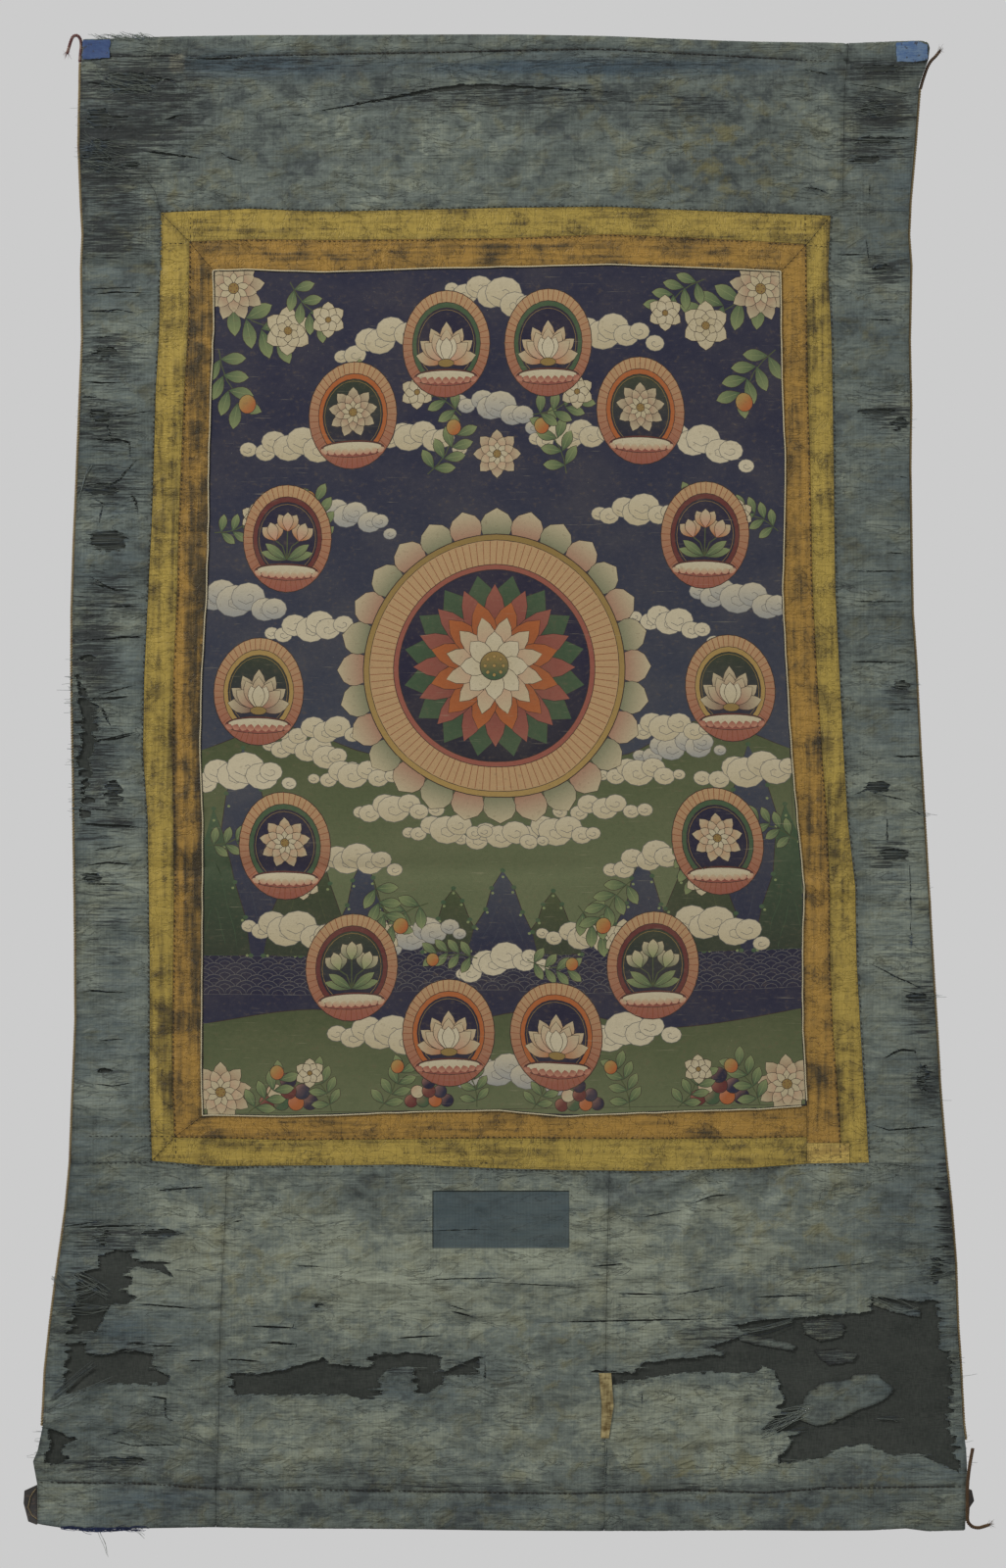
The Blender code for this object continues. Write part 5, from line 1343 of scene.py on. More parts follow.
@dataclass(frozen=True)
class StrandFinish:
    """Spun thread or cord whose strands differ in shade."""

    name: str
    dark: Colour
    light: Colour
    fleck: Colour
    flecked: float = 0.3
    rough: float = 0.85

    def build(self) -> bpy.types.Material:
        """Builds the material."""
        s = Shader(self.name)
        fibre = s.grain((0.5, 0.5, 0.5), 3.0, 0.6)
        patch = s.grain((9.0, 9.0, 6.0), 3.0, 0.6)
        colour = s.mix(self.dark, self.light, (s.held("shade") * 0.9 + fibre * 0.5 - 0.2).clamp())
        colour = s.mix(colour, self.fleck, patch.ease(0.5, 0.7) * self.flecked)
        rough, bump = self.rough + 0.1 * (fibre - 0.5), s.raised(fibre, 0.12, 0.6)
        return s.finish(Base_Color=colour, Roughness=rough, Normal=bump, Specular_IOR_Level=0.2)


@dataclass(frozen=True)
class LeatherFinish:
    """Stiff brown leather, scuffed, with a painted highlight along its edges."""

    name: str = "scuffed_leather"
    dark: Colour = seen(28, 24, 21)
    light: Colour = seen(84, 64, 42)

    def build(self) -> bpy.types.Material:
        """Builds the material."""
        s = Shader(self.name)
        pores, scuff = s.grain((0.9, 0.9, 0.9), 3.0, 0.6), s.grain((5.0, 4.0, 3.0), 4.0, 0.65)
        # Lighter towards the sewn edges: a painted highlight.
        edge = s.held("seam").ease(0.4, 1.0)
        colour = s.mix(self.dark, self.light, (scuff.ease(0.5, 0.7) * 0.7 + edge * 0.35).clamp())
        bump = s.raised(pores + scuff, 0.25, 0.7)
        return s.finish(Base_Color=colour, Roughness=0.58 + 0.2 * scuff, Normal=bump)


@dataclass(frozen=True)
class SatinFinish:
    """Blue satin, rubbed at its folds."""

    name: str
    bright: Colour
    dull: Colour
    mark: Colour
    marked: float

    def build(self) -> bpy.types.Material:
        """Builds the material."""
        s = Shader(self.name)
        thread, cloud = s.grain((6.0, 3.0, 0.5), 2.0, 0.5), s.grain((6.0, 6.0, 5.0), 4.0, 0.65)
        colour = s.mix(self.bright, self.dull, (cloud * 0.7 + thread * 0.5).ease(0.45, 0.75))
        colour = s.mix(colour, self.mark, s.grain((4.0, 4.0, 6.0), 3.0, 0.7).ease(0.56, 0.66) * self.marked)
        return s.finish(Base_Color=colour, Roughness=0.36 + 0.2 * thread, Normal=s.raised(thread, 0.1, 0.6))
NAVY, INDIGO, NIGHT, SLATE = seen(33, 37, 62), seen(26, 26, 54), seen(24, 27, 40), seen(58, 65, 78)
PINE, MOSS, MEADOW, LEAF, PALE_LEAF = (
    seen(44, 54, 42), seen(70, 80, 50), seen(98, 106, 74), seen(62, 86, 60), seen(128, 138, 92),
)
ORANGE, RUST, MAROON, ROSE, PINK = (
    seen(168, 92, 46), seen(132, 68, 42), seen(98, 44, 44), seen(146, 82, 68), seen(186, 134, 108),
)
OCHRE, GOLD, TAN, CREAM, WHITE, LILAC, GREY = (
    seen(164, 134, 76), seen(140, 114, 62), seen(180, 146, 104), seen(186, 172, 138), seen(198, 186, 156),
    seen(150, 150, 144), seen(104, 102, 98),
)


def axes(angle: float) -> tuple[Floats, Floats]:
    """Returns the directions along and beside something that leans by an angle from upright."""
    sine, cosine = math.sin(angle), math.cos(angle)
    return np.array((sine, -cosine)), np.array((cosine, sine))


class Bloom(Enum):
    """The flowers that fill the roundels."""

    LOTUS = "lotus"
    ROSETTE = "rosette"
    BUDS = "buds"


@dataclass(frozen=True)
class Patch:
    """One painted shape on the canvas, in mm across and down, with a tint that may run into another."""

    loops: tuple[Floats, ...]
    base: Colour
    tip: Colour
    start: Floats
    stop: Floats


@dataclass
class Painting:
    """A garden of roundels, clouds, hills and water, in mm from the picture's middle and top."""

    half: float = 240.0
    tall: float = 690.0
    margin: float = 1.2
    seed: int = 7
    ink: Colour = seen(48, 34, 34)
    patches: list[Patch] = field(default_factory=list)

    def warp(self, points: Sequence[Sequence[float]] | Floats) -> Floats:
        """Returns points of the painting in mm across and down the hanging scroll."""
        u, v = np.clip(np.asarray(points, float), (-self.half, 0.0), (self.half, self.tall)).T
        guess = 192.0 + v
        for _ in range(2):
            left, right = at(UPRIGHT["picture_left"], guess), at(UPRIGHT["picture_right"], guess)
            x = (left + right) / 2 + u / self.half * ((right - left) / 2 - self.margin)
            top, low = at(TOP["picture"], x), at(FOOT["picture"], x)
            guess = top + self.margin + v / self.tall * (low - top - 2 * self.margin)
        return np.column_stack((x, guess))

    def shape(self, points: Sequence[Sequence[float]] | Floats, base: Colour, tip: Colour | None = None,
              run: tuple[Point, Point] = ((0.0, 0.0), (0.0, 1.0)), line: float = 0.5,
              edge: Colour | None = None) -> None:
        """Paints a closed shape.

        Args:
            points: Its outline.
            base: Its colour where the run starts.
            tip: Its colour where the run stops, if another.
            run: The two ends of the change of colour.
            line: The width of the drawn outline, or 0 for none.
            edge: The outline's colour, if not the ink's.
        """
        start, stop = self.warp(run)
        loop = self.warp(walk([*points, points[0]], 30.0)[:-1])
        self.patches.append(Patch((loop,), base, base if tip is None else tip, start, stop))
        if line:
            self.stroke(points, line, self.ink if edge is None else edge, closed=True)

    def stroke(self, points: Sequence[Sequence[float]] | Floats, wide: float, tint: Colour,
               closed: bool = False) -> None:
        """Paints a line of even width through points."""
        line = np.asarray(points, float)
        before, after = (np.roll(line, 1, 0), np.roll(line, -1, 0)) if closed else (
            np.vstack((line[:1], line[:-1])), np.vstack((line[1:], line[-1:])))
        aside = leftward(after - before) * wide / 2
        sides = self.warp(line + aside), self.warp(line - aside)
        loops = sides if closed else (np.vstack((sides[0], sides[1][::-1])),)
        self.patches.append(Patch(tuple(loops), tint, tint, np.zeros(2), np.array((0.0, 1.0))))

    @staticmethod
    def ring(x: float, y: float, rx: float, ry: float, count: int = 20, start: float = 0.0,
             stop: float = 2 * math.pi) -> Floats:
        """Returns points round an oval or along a part of it."""
        whole = abs(stop - start) > 6.2
        angle = np.linspace(start, stop, count, endpoint=not whole)
        return np.column_stack((x + rx * np.cos(angle), y + ry * np.sin(angle)))

    def petal(self, x: float, y: float, angle: float, long: float, wide: float, base: Colour, tip: Colour,
              blunt: float = 0.8, line: float = 0.45, vein: bool = False) -> None:
        """Paints a pointed petal or leaf from a root, at an angle from upright."""
        share = np.linspace(0.0, 1.0, 7 if long > 12.0 else 5)
        half = wide / 2 * np.sin(math.pi * share**1.2) ** blunt
        along, aside = axes(angle)
        spine = np.array((x, y)) + np.outer(share * long, along)
        points = np.vstack((spine + np.outer(half, aside), (spine - np.outer(half, aside))[-2:0:-1]))
        self.shape(points, base, tip, ((x, y), tuple(spine[-1])), line if long > 9.0 else 0.0)
        if vein:
            self.stroke(spine[[1, -2]], 0.4, PALE_LEAF)

    def lotus(self, x: float, y: float, size: float, tints: tuple[Colour, Colour, Colour]) -> None:
        """Paints a lotus seen from the side, on its seat of petals."""
        outer, middle, inner = tints
        for turn in np.linspace(-1.35, 1.35, 7):
            self.petal(x, y, turn, size * (0.98 - 0.16 * abs(turn)), size * 0.36, outer, CREAM)
        for turn in np.linspace(-0.85, 0.85, 5):
            self.petal(x, y, turn, size * (0.8 - 0.1 * abs(turn)), size * 0.34, middle, CREAM)
        for turn in (-0.32, 0.32, 0.0):
            self.petal(x, y, turn, size * 0.6, size * 0.3, inner, WHITE)
        self.shape(self.ring(x, y + size * 0.02, size * 0.2, size * 0.1, 14), GOLD)

    def rosette(self, x: float, y: float, radius: float, count: int,
                tints: tuple[Colour, Colour, Colour]) -> None:
        """Paints a flower seen from above."""
        layers = ((1.0, tints[0], 0.0), (0.74, tints[1], 0.5), (0.48, tints[2], 0.0))
        for reach, tint, turn in layers if radius > 16.0 else layers[:2]:
            for i in range(count):
                angle = 2 * math.pi * (i + turn) / count
                self.petal(x, y, angle, radius * reach, radius * reach * 4.4 / count, tint, CREAM, 0.7)
        self.shape(self.ring(x, y, radius * 0.17, radius * 0.17, 10), GOLD)
        for spot in self.ring(x, y, radius * 0.1, radius * 0.1, 5):
            self.shape(self.ring(*spot, radius * 0.024, radius * 0.024, 4), MAROON, line=0)

    def buds(self, x: float, y: float, size: float, tints: tuple[Colour, Colour, Colour]) -> None:
        """Paints three buds on stems with leaves."""
        for turn, reach in ((-0.55, 0.78), (0.55, 0.78), (0.0, 1.0)):
            head = (x + math.sin(turn) * size * reach * 0.62, y - math.cos(turn) * size * reach * 0.62)
            self.stroke([(x, y), (x + (head[0] - x) * 0.4, y - size * 0.3), head], 1.0, MOSS)
            for lean, tint in ((-0.5, tints[0]), (0.5, tints[0]), (0.0, tints[1])):
                self.petal(*head, turn * 0.6 + lean, size * 0.42, size * 0.24, tint, CREAM)
        for turn in (-1.3, 1.3, -0.95, 0.95):
            self.petal(x, y, turn, size * 0.6, size * 0.2, LEAF, PALE_LEAF, vein=True)

    def seat(self, x: float, y: float, wide: float, tint: Colour) -> None:
        """Paints a row of petals as a low seat."""
        self.shape(self.ring(x, y, wide, wide * 0.26, 24), MAROON, ROSE, ((x, y), (x, y + wide * 0.26)))
        top = self.ring(x, y - wide * 0.04, wide * 0.92, wide * 0.17, 24)
        self.shape(top, WHITE, CREAM, ((x, y - 5), (x, y + 5)))
        for spot in np.linspace(-0.84, 0.84, 9):
            long = wide * 0.13 + math.sqrt(1.0 - spot**2) * wide * 0.1
            root = (x + spot * wide, y - wide * 0.02)
            self.petal(*root, math.pi - spot * 0.7, long, wide * 0.24, tint, PINK)

    def rays(self, x: float, y: float, inner: Point, outer: Point, count: int, tint: Colour) -> None:
        """Paints fine wavy rays between two ovals."""
        for i in range(count):
            angle = 2 * math.pi * i / count
            share = np.array((0.02, 0.98))
            bend = angle + 0.018 * np.sin(share * 7.0)
            rx, ry = inner[0] + (outer[0] - inner[0]) * share, inner[1] + (outer[1] - inner[1]) * share
            self.stroke(np.column_stack((x + rx * np.cos(bend), y + ry * np.sin(bend))), 0.5, tint)

    def roundel(self, x: float, y: float, rx: float, ry: float, field_tint: Colour, band: Colour,
                bloom: Bloom, tints: tuple[Colour, Colour, Colour]) -> None:
        """Paints an oval glory of rays round a dark field with a flower."""
        self.shape(self.ring(x, y, rx, ry, 32), TAN, ROSE, ((x, y - ry), (x, y + ry)), 0.7)
        self.rays(x, y, (rx * 0.77, ry * 0.77), (rx, ry), 48, RUST)
        self.shape(self.ring(x, y, rx * 0.78, ry * 0.78, 28), band, line=0.6)
        run = ((x, y - ry * 0.6), (x, y + ry * 0.6))
        self.shape(self.ring(x, y, rx * 0.68, ry * 0.68, 28), field_tint, INDIGO, run)
        self.stroke(self.ring(x, y, rx * 0.64, ry * 0.64, 28), 0.4, GOLD, closed=True)
        if bloom is Bloom.LOTUS:
            self.lotus(x, y + ry * 0.34, rx * 0.92, tints)
        elif bloom is Bloom.ROSETTE:
            self.rosette(x, y - ry * 0.06, rx * 0.56, 9, tints)
        else:
            self.buds(x, y + ry * 0.4, rx * 1.02, tints)
        self.seat(x, y + ry * 0.62, rx * 0.72, (ROSE if bloom is Bloom.LOTUS else CREAM))

    def cloud(self, x: float, y: float, wide: float, turn: float, tint: Colour,
              rng: np.random.Generator) -> None:
        """Paints a bank of scrolled cloud."""
        count = 5 + int(wide / 14)
        for i, share in enumerate(np.linspace(-1.0, 1.0, count)):
            size = wide * (0.3 - 0.16 * abs(share)) * rng.uniform(0.85, 1.2)
            px = x + share * wide * 0.8 * math.cos(turn) + rng.normal() * 1.5
            py = y + share * wide * 0.8 * math.sin(turn) - (1 - share**2) * wide * 0.16
            py += (i % 2) * wide * 0.12
            run = ((px, py - size), (px, py + size * 0.8))
            self.shape(self.ring(px, py, size, size * 0.82, 12), WHITE, tint, run, 0.5, GREY)
            spin = 1.0 if i % 2 else -1.0
            angle = np.linspace(0.4, 5.2, 6)
            curl = size * 0.68 * (1.0 - angle / 6.2)
            whorl = px + spin * curl * np.cos(angle), py + curl * 0.8 * np.sin(angle)
            self.stroke(np.column_stack(whorl), 0.45, GREY)

    def spray(self, x: float, y: float, turn: float, size: float, bloom: bool) -> None:
        """Paints a leafy branch, with a white blossom at its end if asked."""
        way, aside = axes(turn)
        share = np.linspace(0.0, 1.0, 5)
        sway = np.sin(share * 3.0) * size * 0.12
        stem = np.array((x, y)) + np.outer(share * size, way) + np.outer(sway, aside)
        self.stroke(stem, 0.9, MOSS)
        for i, root in enumerate(stem[:-1] + (stem[1] - stem[0]) * 0.6):
            for side in (-1.0, 1.0):
                lean = turn + side * (1.05 - 0.12 * i)
                self.petal(*root, lean, size * 0.42, size * 0.2, LEAF, PALE_LEAF, vein=True)
        if bloom:
            self.rosette(*stem[-1], size * 0.34, 6, (WHITE, WHITE, CREAM))
        else:
            tip = stem[-1]
            self.shape(self.ring(*tip, size * 0.14, size * 0.15, 14), ORANGE, OCHRE,
                       (tuple(tip + 3), tuple(tip - 3)))

    def peak(self, x: float, foot: float, wide: float, tall: float, tint: Colour, tip: Colour,
             rng: np.random.Generator) -> None:
        """Paints a steep wooded peak."""
        rows = (
            (-1.0, 0.0), (-0.82, 0.3), (-0.5, 0.52), (-0.34, 0.78), (0.0, 1.0), (0.3, 0.8), (0.56, 0.5),
            (0.85, 0.26), (1.0, 0.0),
        )
        for scale, line in ((1.0, 0.6), (0.66, 0.35), (0.36, 0.35)):
            points = [(x + u * wide * scale, foot - v * tall * scale) for u, v in rows]
            self.shape(points, tint, tip, ((x, foot), (x, foot - tall)), line, tip if scale < 1 else None)
        for u, v in walk(np.array(rows), 9.0 / wide):
            tuft = self.ring(x + u * wide, foot - v * tall, 2.2, 1.9, 6, rng.uniform(0, 1), 7.0)
            self.shape(tuft, LEAF, line=0)
            self.shape(self.ring(x + u * wide * 0.9, foot - v * tall * 0.92, 1.3, 1.2, 5), PALE_LEAF, line=0)

    def waves(self, left: float, right: float, top: float, rows: int, size: float) -> None:
        """Paints rows of scalloped waves."""
        for row in range(rows):
            y = top + (row + 1) * size * 0.55
            for x in np.arange(left + (row % 2) * size, right + size, size * 2):
                self.shape(self.ring(x, y, size, size * 0.8, 7, math.pi, 2 * math.pi), NAVY, INDIGO,
                           ((x, y - size), (x, y)), 0.4, GREY)
                self.stroke(self.ring(x, y, size * 0.6, size * 0.46, 5, math.pi, 2 * math.pi), 0.35, GREY)

    def jewels(self, x: float, y: float, size: float) -> None:
        """Paints a heap of round jewels."""
        tints = (MAROON, INDIGO, LEAF, ORANGE, CREAM, NAVY)
        places = ((-1.9, 0), (1.9, 0), (-0.65, 0), (0.65, 0), (-1.2, -1), (1.2, -1), (0, -1.05), (0, -2))
        for i, (u, v) in enumerate(places):
            px, py = x + u * size, y + v * size
            run = ((px, py), (px - size, py - size))
            self.shape(self.ring(px, py, size * 0.72, size * 0.72, 16), tints[i % 6], PINK, run)

    def medallion(self, x: float, y: float, radius: float) -> None:
        """Paints the large middle medallion: petals, rays and a wide open lotus."""
        for i in range(28):
            angle = 2 * math.pi * i / 28
            root = (x + math.sin(angle) * radius * 0.9, y - math.cos(angle) * radius * 0.9)
            self.petal(*root, angle, radius * 0.3, radius * 0.25, (LEAF, ROSE)[i % 2], CREAM, 0.6)
        self.shape(self.ring(x, y, radius, radius, 80), GOLD, OCHRE, ((x, y - radius), (x, y + radius)), 0.8)
        self.shape(self.ring(x, y, radius * 0.955, radius * 0.955, 80), TAN, line=0.5)
        self.rays(x, y, (radius * 0.76,) * 2, (radius * 0.95,) * 2, 108, RUST)
        self.shape(self.ring(x, y, radius * 0.77, radius * 0.77, 72), ROSE, line=0.6)
        run = ((x, y), (x, y + radius))
        self.shape(self.ring(x, y, radius * 0.73, radius * 0.73, 72), INDIGO, NIGHT, run, 0.6)
        for i in range(16):
            angle = 2 * math.pi * (i + 0.5) / 16
            self.petal(x, y, angle, radius * 0.7, radius * 0.25, PINE, LEAF, 0.65)
        for reach, count, base, tip in (
            (0.62, 16, MAROON, ROSE), (0.5, 12, RUST, ORANGE), (0.38, 12, PINK, CREAM),
            (0.26, 8, CREAM, WHITE),
        ):
            for i in range(count):
                angle = 2 * math.pi * (i + (0.5 if count == 12 else 0.0)) / count
                self.petal(x, y, angle, radius * reach, radius * reach * 4.6 / count, base, tip, 0.7)
        self.shape(self.ring(x, y, radius * 0.11, radius * 0.11, 24), LEAF, GOLD, ((x, y + 8), (x, y - 8)))
        for spot in (*self.ring(x, y, radius * 0.07, radius * 0.07, 8), (x, y)):
            self.shape(self.ring(*spot, radius * 0.014, radius * 0.014, 7), OCHRE, line=0.3)

    def ground(self, rng: np.random.Generator) -> None:
        """Paints the sky, hills, water and meadows."""
        half, tall = self.half, self.tall
        band = [(-half, 0), (half, 0), (half, 430), (-half, 430)]
        self.shape(band, NAVY, SLATE, ((0, 120), (0, 460)), 0)
        corners = [(half, tall), (-half, tall)]
        ridge = [(-half, 392), (-170, 372), (-90, 398), (0, 382), (96, 400), (170, 370), (half, 394)]
        self.shape(smooth(ridge, 12.0).tolist() + corners, MOSS, MEADOW, ((0, 380), (0, 500)), 0.6)
        lake = [(-half, 556), (half, 556), (half, 622), (-half, 622)]
        self.shape(lake, INDIGO, NAVY, ((0, 556), (0, 622)), 0)
        self.waves(-half, half, 554.0, 8, 8.6)
        bank = [(-half, 616), (-150, 604), (-60, 622), (40, 606), (130, 622), (half, 610)]
        self.shape(smooth(bank, 12.0).tolist() + corners, MOSS, MEADOW, ((0, 604), (0, tall)), 0.7)
        for x, wide, high, tint, tip in (
            (-206, 44, 170, NAVY, SLATE), (206, 44, 170, NAVY, SLATE), (-158, 34, 118, PINE, MOSS),
            (158, 34, 118, PINE, MOSS), (-232, 30, 120, PINE, LEAF), (232, 30, 120, PINE, LEAF),
            (-112, 26, 78, NAVY, SLATE), (112, 26, 78, NAVY, SLATE), (-40, 24, 52, PINE, MOSS),
            (40, 24, 52, PINE, MOSS), (0, 28, 66, NAVY, SLATE),
        ):
            self.peak(x, 560.0, wide, high, tint, tip, rng)

    def compose(self) -> None:
        """Paints the whole picture, from back to front."""
        rng = np.random.default_rng(self.seed)
        self.ground(rng)
        warm, cool, red = (ORANGE, PINK, WHITE), (LEAF, PALE_LEAF, CREAM), (MAROON, ROSE, CREAM)
        middle, count = 344.0, 14
        ring = [2 * math.pi * (i + 0.5) / count for i in range(count)]
        tints = (LILAC, CREAM, CREAM, WHITE)
        for i, angle in enumerate(2 * math.pi * i / count for i in range(count)):
            for reach, wide in ((1.12, 50.0), (0.8, 42.0)):
                x, y = 192.0 * reach * math.sin(angle), middle - 284.0 * reach * math.cos(angle)
                self.cloud(x, y, wide, rng.uniform(-0.3, 0.3), tints[(i + int(reach)) % 4], rng)
        for side in (-1.0, 1.0):
            for x, y, turn, size, bloom in (
                (232, 22, -2.0, 60, True), (236, 64, -2.6, 52, False), (176, 8, -2.3, 44, True),
                (100, 128, 0.6, 46, True), (58, 168, -0.5, 44, False), (30, 120, 1.1, 42, True),
                (150, 226, 0.2, 42, False), (60, 520, 2.2, 46, True), (104, 500, -2.6, 44, False),
                (150, 462, 2.9, 40, True), (20, 566, 1.6, 36, False), (236, 214, -1.2, 36, True),
                (238, 470, -1.2, 36, False),
            ):
                self.spray(side * x, y, side * turn, size, bloom)
            self.rosette(side * 224.0, 14.0, 27.0, 9, (MAROON, ROSE, CREAM))
            self.rosette(side * 226.0, 672.0, 25.0, 9, (RUST, PINK, CREAM))
            self.jewels(side * 172.0, 680.0, 9.0)
            self.jewels(side * 60.0, 682.0, 7.5)
            for x, turn, size in ((204, -0.6, 40), (138, 0.5, 36), (100, -0.4, 38), (22, 0.3, 34)):
                self.spray(side * x, 688.0, side * turn, size, x in (138, 22))
        self.rosette(0.0, 152.0, 20.0, 8, (ROSE, PINK, WHITE))
        for angle in np.linspace(0.62 * math.pi, 1.38 * math.pi, 9):
            self.cloud(150.0 * math.sin(angle), 326.0 - 142.0 * math.cos(angle), 40.0, 0.0, CREAM, rng)
        self.medallion(0.0, 326.0, 108.0)
        kinds = (
            (INDIGO, LEAF, Bloom.LOTUS, warm), (PINE, ORANGE, Bloom.ROSETTE, red),
            (INDIGO, MAROON, Bloom.BUDS, warm), (PINE, OCHRE, Bloom.LOTUS, red),
            (INDIGO, LEAF, Bloom.ROSETTE, warm), (PINE, MAROON, Bloom.BUDS, cool),
            (INDIGO, ORANGE, Bloom.LOTUS, warm),
        )
        for i, angle in enumerate(ring):
            x, y = 194.0 * math.sin(angle), middle - 290.0 * math.cos(angle)
            self.roundel(x, y, 37.0, 44.0, *kinds[min(i, count - 1 - i)])

    def marks(self) -> tuple[Floats, Floats]:
        """Returns the points and edges of the outlines that show, where shapes cover each other."""
        points, edges, first = [], [], 0
        for patch in self.patches:
            for loop in patch.loops:
                line = walk(np.vstack((loop, loop[:1])), 12.0)[:-1]
                index = np.arange(first, first + len(line))
                points.append(line)
                edges.append(np.column_stack((index, np.roll(index, -1))))
                first += len(line)
        flat, faces = triangulate(np.vstack(points), np.vstack(edges), MARK_MERGE)[:2]
        over = self.topmost(flat[faces].mean(1))
        sides = np.sort(np.concatenate((faces[:, (0, 1)], faces[:, (1, 2)], faces[:, (2, 0)])), axis=1)
        owner = np.tile(over, 3)
        order = np.lexsort((sides[:, 1], sides[:, 0]))
        sides, owner = sides[order], owner[order]
        shared = (sides[1:] == sides[:-1]).all(1) & (owner[1:] != owner[:-1])
        used, index = np.unique(sides[1:][shared], return_inverse=True)
        return flat[used], index.reshape(-1, 2)

    def topmost(self, places: Floats) -> Floats:
        """Returns the number of the topmost shape over each place, or -1."""
        order = np.argsort(places[:, 1])
        rows = places[order]
        found = np.full(len(places), -1)
        for number, patch in enumerate(self.patches):
            starts = np.vstack(patch.loops)
            stops = np.vstack([np.roll(loop, -1, axis=0) for loop in patch.loops])
            low, high = starts.min(0), starts.max(0)
            first, last = np.searchsorted(rows[:, 1], (low[1], high[1]))
            part = np.arange(first, last)
            part = part[(rows[part, 0] >= low[0]) & (rows[part, 0] <= high[0])]
            if len(part):
                found[order[part[within(rows[part], starts, stops)]]] = number
        return found

    def tints(self, flat: Floats, faces: Floats) -> Floats:
        """Returns the colour of each face's three corners."""
        topmost = self.topmost(flat[faces].mean(1))
        colours = np.tile(np.array(NIGHT), (len(faces), 3, 1))
        for number in np.unique(topmost[topmost >= 0]):
            patch, chosen = self.patches[number], np.flatnonzero(topmost == number)
            run = patch.stop - patch.start
            share = np.clip((flat[faces[chosen]] - patch.start) @ run / max(run @ run, 1e-6), 0.0, 1.0)
            colours[chosen] = np.array(patch.base) + share[..., None] * np.subtract(patch.tip, patch.base)
        return colours


@dataclass
class Picture:
    """The painted canvas."""

    finish: PaintFinish = PaintFinish()
    painting: Painting = field(default_factory=Painting)
    cloth: Cloth = field(init=False)
    piece: bpy.types.Object = field(init=False)

    def build(self) -> None:
        """Composes the painting and builds the canvas with its shapes as faces."""
        self.painting.compose()
        self.cloth = Cloth("canvas", picture_outline(), "canvas", wide=8.0, tall=6.0, dip=0.2,
                           painting=self.painting)
        self.piece = self.cloth.build()

    def dress(self) -> None:
        """Gives the canvas its finish."""
        self.piece.data.materials.append(self.finish.build())
        self.cloth.size()
        self.cloth.area()


# Where the silk is worn to its dark threads. Columns: across, drop, half width, half height, strength.
WORN = (
    (-300, 40, 64, 26, 1), (-326, 92, 44, 52, 1), (-296, 76, 54, 36, 0.85), (-315, 140, 44, 24, 0.7),
    (305, 28, 40, 10, 0.8), (308, 62, 34, 22, 0.9), (306, 92, 36, 16, 0.75), (-322, 165, 34, 22, 0.85),
    (-322, 262, 32, 30, 0.7), (-326, 320, 30, 26, 0.7), (-324, 368, 34, 22, 0.7), (-322, 450, 34, 30, 0.6),
    (-334, 505, 22, 40, 0.95), (-334, 600, 22, 70, 0.7), (-318, 640, 30, 20, 0.6),
    (-322, 720, 32, 50, 0.45), (-322, 850, 30, 60, 0.3), (312, 192, 22, 16, 0.75), (318, 310, 24, 16, 0.75),
    (326, 540, 16, 16, 0.6), (316, 668, 24, 14, 0.8), (342, 790, 18, 30, 0.65), (346, 858, 14, 28, 0.7),
    (-322, 980, 50, 16, 0.7), (-345, 1050, 26, 70, 0.5), (-300, 1075, 44, 16, 0.55),
    (364, 956, 10, 56, 0.9), (350, 1090, 30, 70, 0.6), (-110, 1090, 120, 14, 0.45),
    (210, 1062, 90, 20, 0.5), (0, 50, 150, 16, 0.55), (-200, 24, 110, 9, 0.6), (120, 22, 150, 8, 0.45),
    (-330, 1165, 50, 10, 0.6), (0, 1184, 380, 4, 0.45), (150, 60, 50, 16, 0.5), (-120, 1168, 60, 14, 0.35),
)
# Where the silk kept some of its blue. Columns: as in WORN.
BLUED = (
    (60, 26, 220, 12, 0.85), (-200, 24, 110, 16, 0.8), (-320, 360, 40, 200, 0.6), (-318, 760, 40, 150, 0.6),
    (308, 330, 30, 180, 0.5), (320, 700, 34, 160, 0.6), (-300, 1196, 80, 16, 0.6), (60, 1200, 360, 8, 0.5),
    (-300, 1050, 80, 60, 0.6), (340, 1060, 40, 120, 0.7), (-60, 1100, 140, 40, 0.5), (60, 14, 200, 12, 0.5),
    (80, 130, 150, 14, 0.3),
)
# Where it has faded to a pale grey green. Columns: as in WORN.
FADED = (
    (-40, 1010, 300, 70, 0.9), (130, 1130, 190, 50, 0.75), (-160, 1140, 120, 40, 0.6),
    (-320, 880, 40, 60, 0.5), (320, 880, 40, 60, 0.5), (0, 110, 260, 40, 0.35), (-315, 240, 40, 60, 0.5),
    (310, 420, 30, 90, 0.45), (318, 640, 30, 70, 0.45), (-318, 660, 36, 60, 0.4), (200, 980, 150, 60, 0.7),
    (-250, 1010, 100, 80, 0.8), (-322, 720, 40, 170, 0.8), (325, 730, 40, 200, 1),
    (240, 1010, 110, 40, 0.7),
)
# Where it is stained yellow green. Columns: as in WORN.
STAINED = (
    (170, 100, 70, 46, 0.8), (60, 40, 120, 20, 0.5), (-260, 130, 60, 26, 0.4), (240, 120, 60, 30, 0.5),
    (250, 980, 60, 70, 0.55), (-200, 1000, 60, 60, 0.4), (180, 1175, 160, 24, 0.5),
    (-310, 200, 40, 60, 0.4), (-270, 150, 50, 20, 0.5), (40, 1090, 50, 60, 0.4), (310, 200, 36, 60, 0.4),
    (-90, 150, 120, 14, 0.3),
)
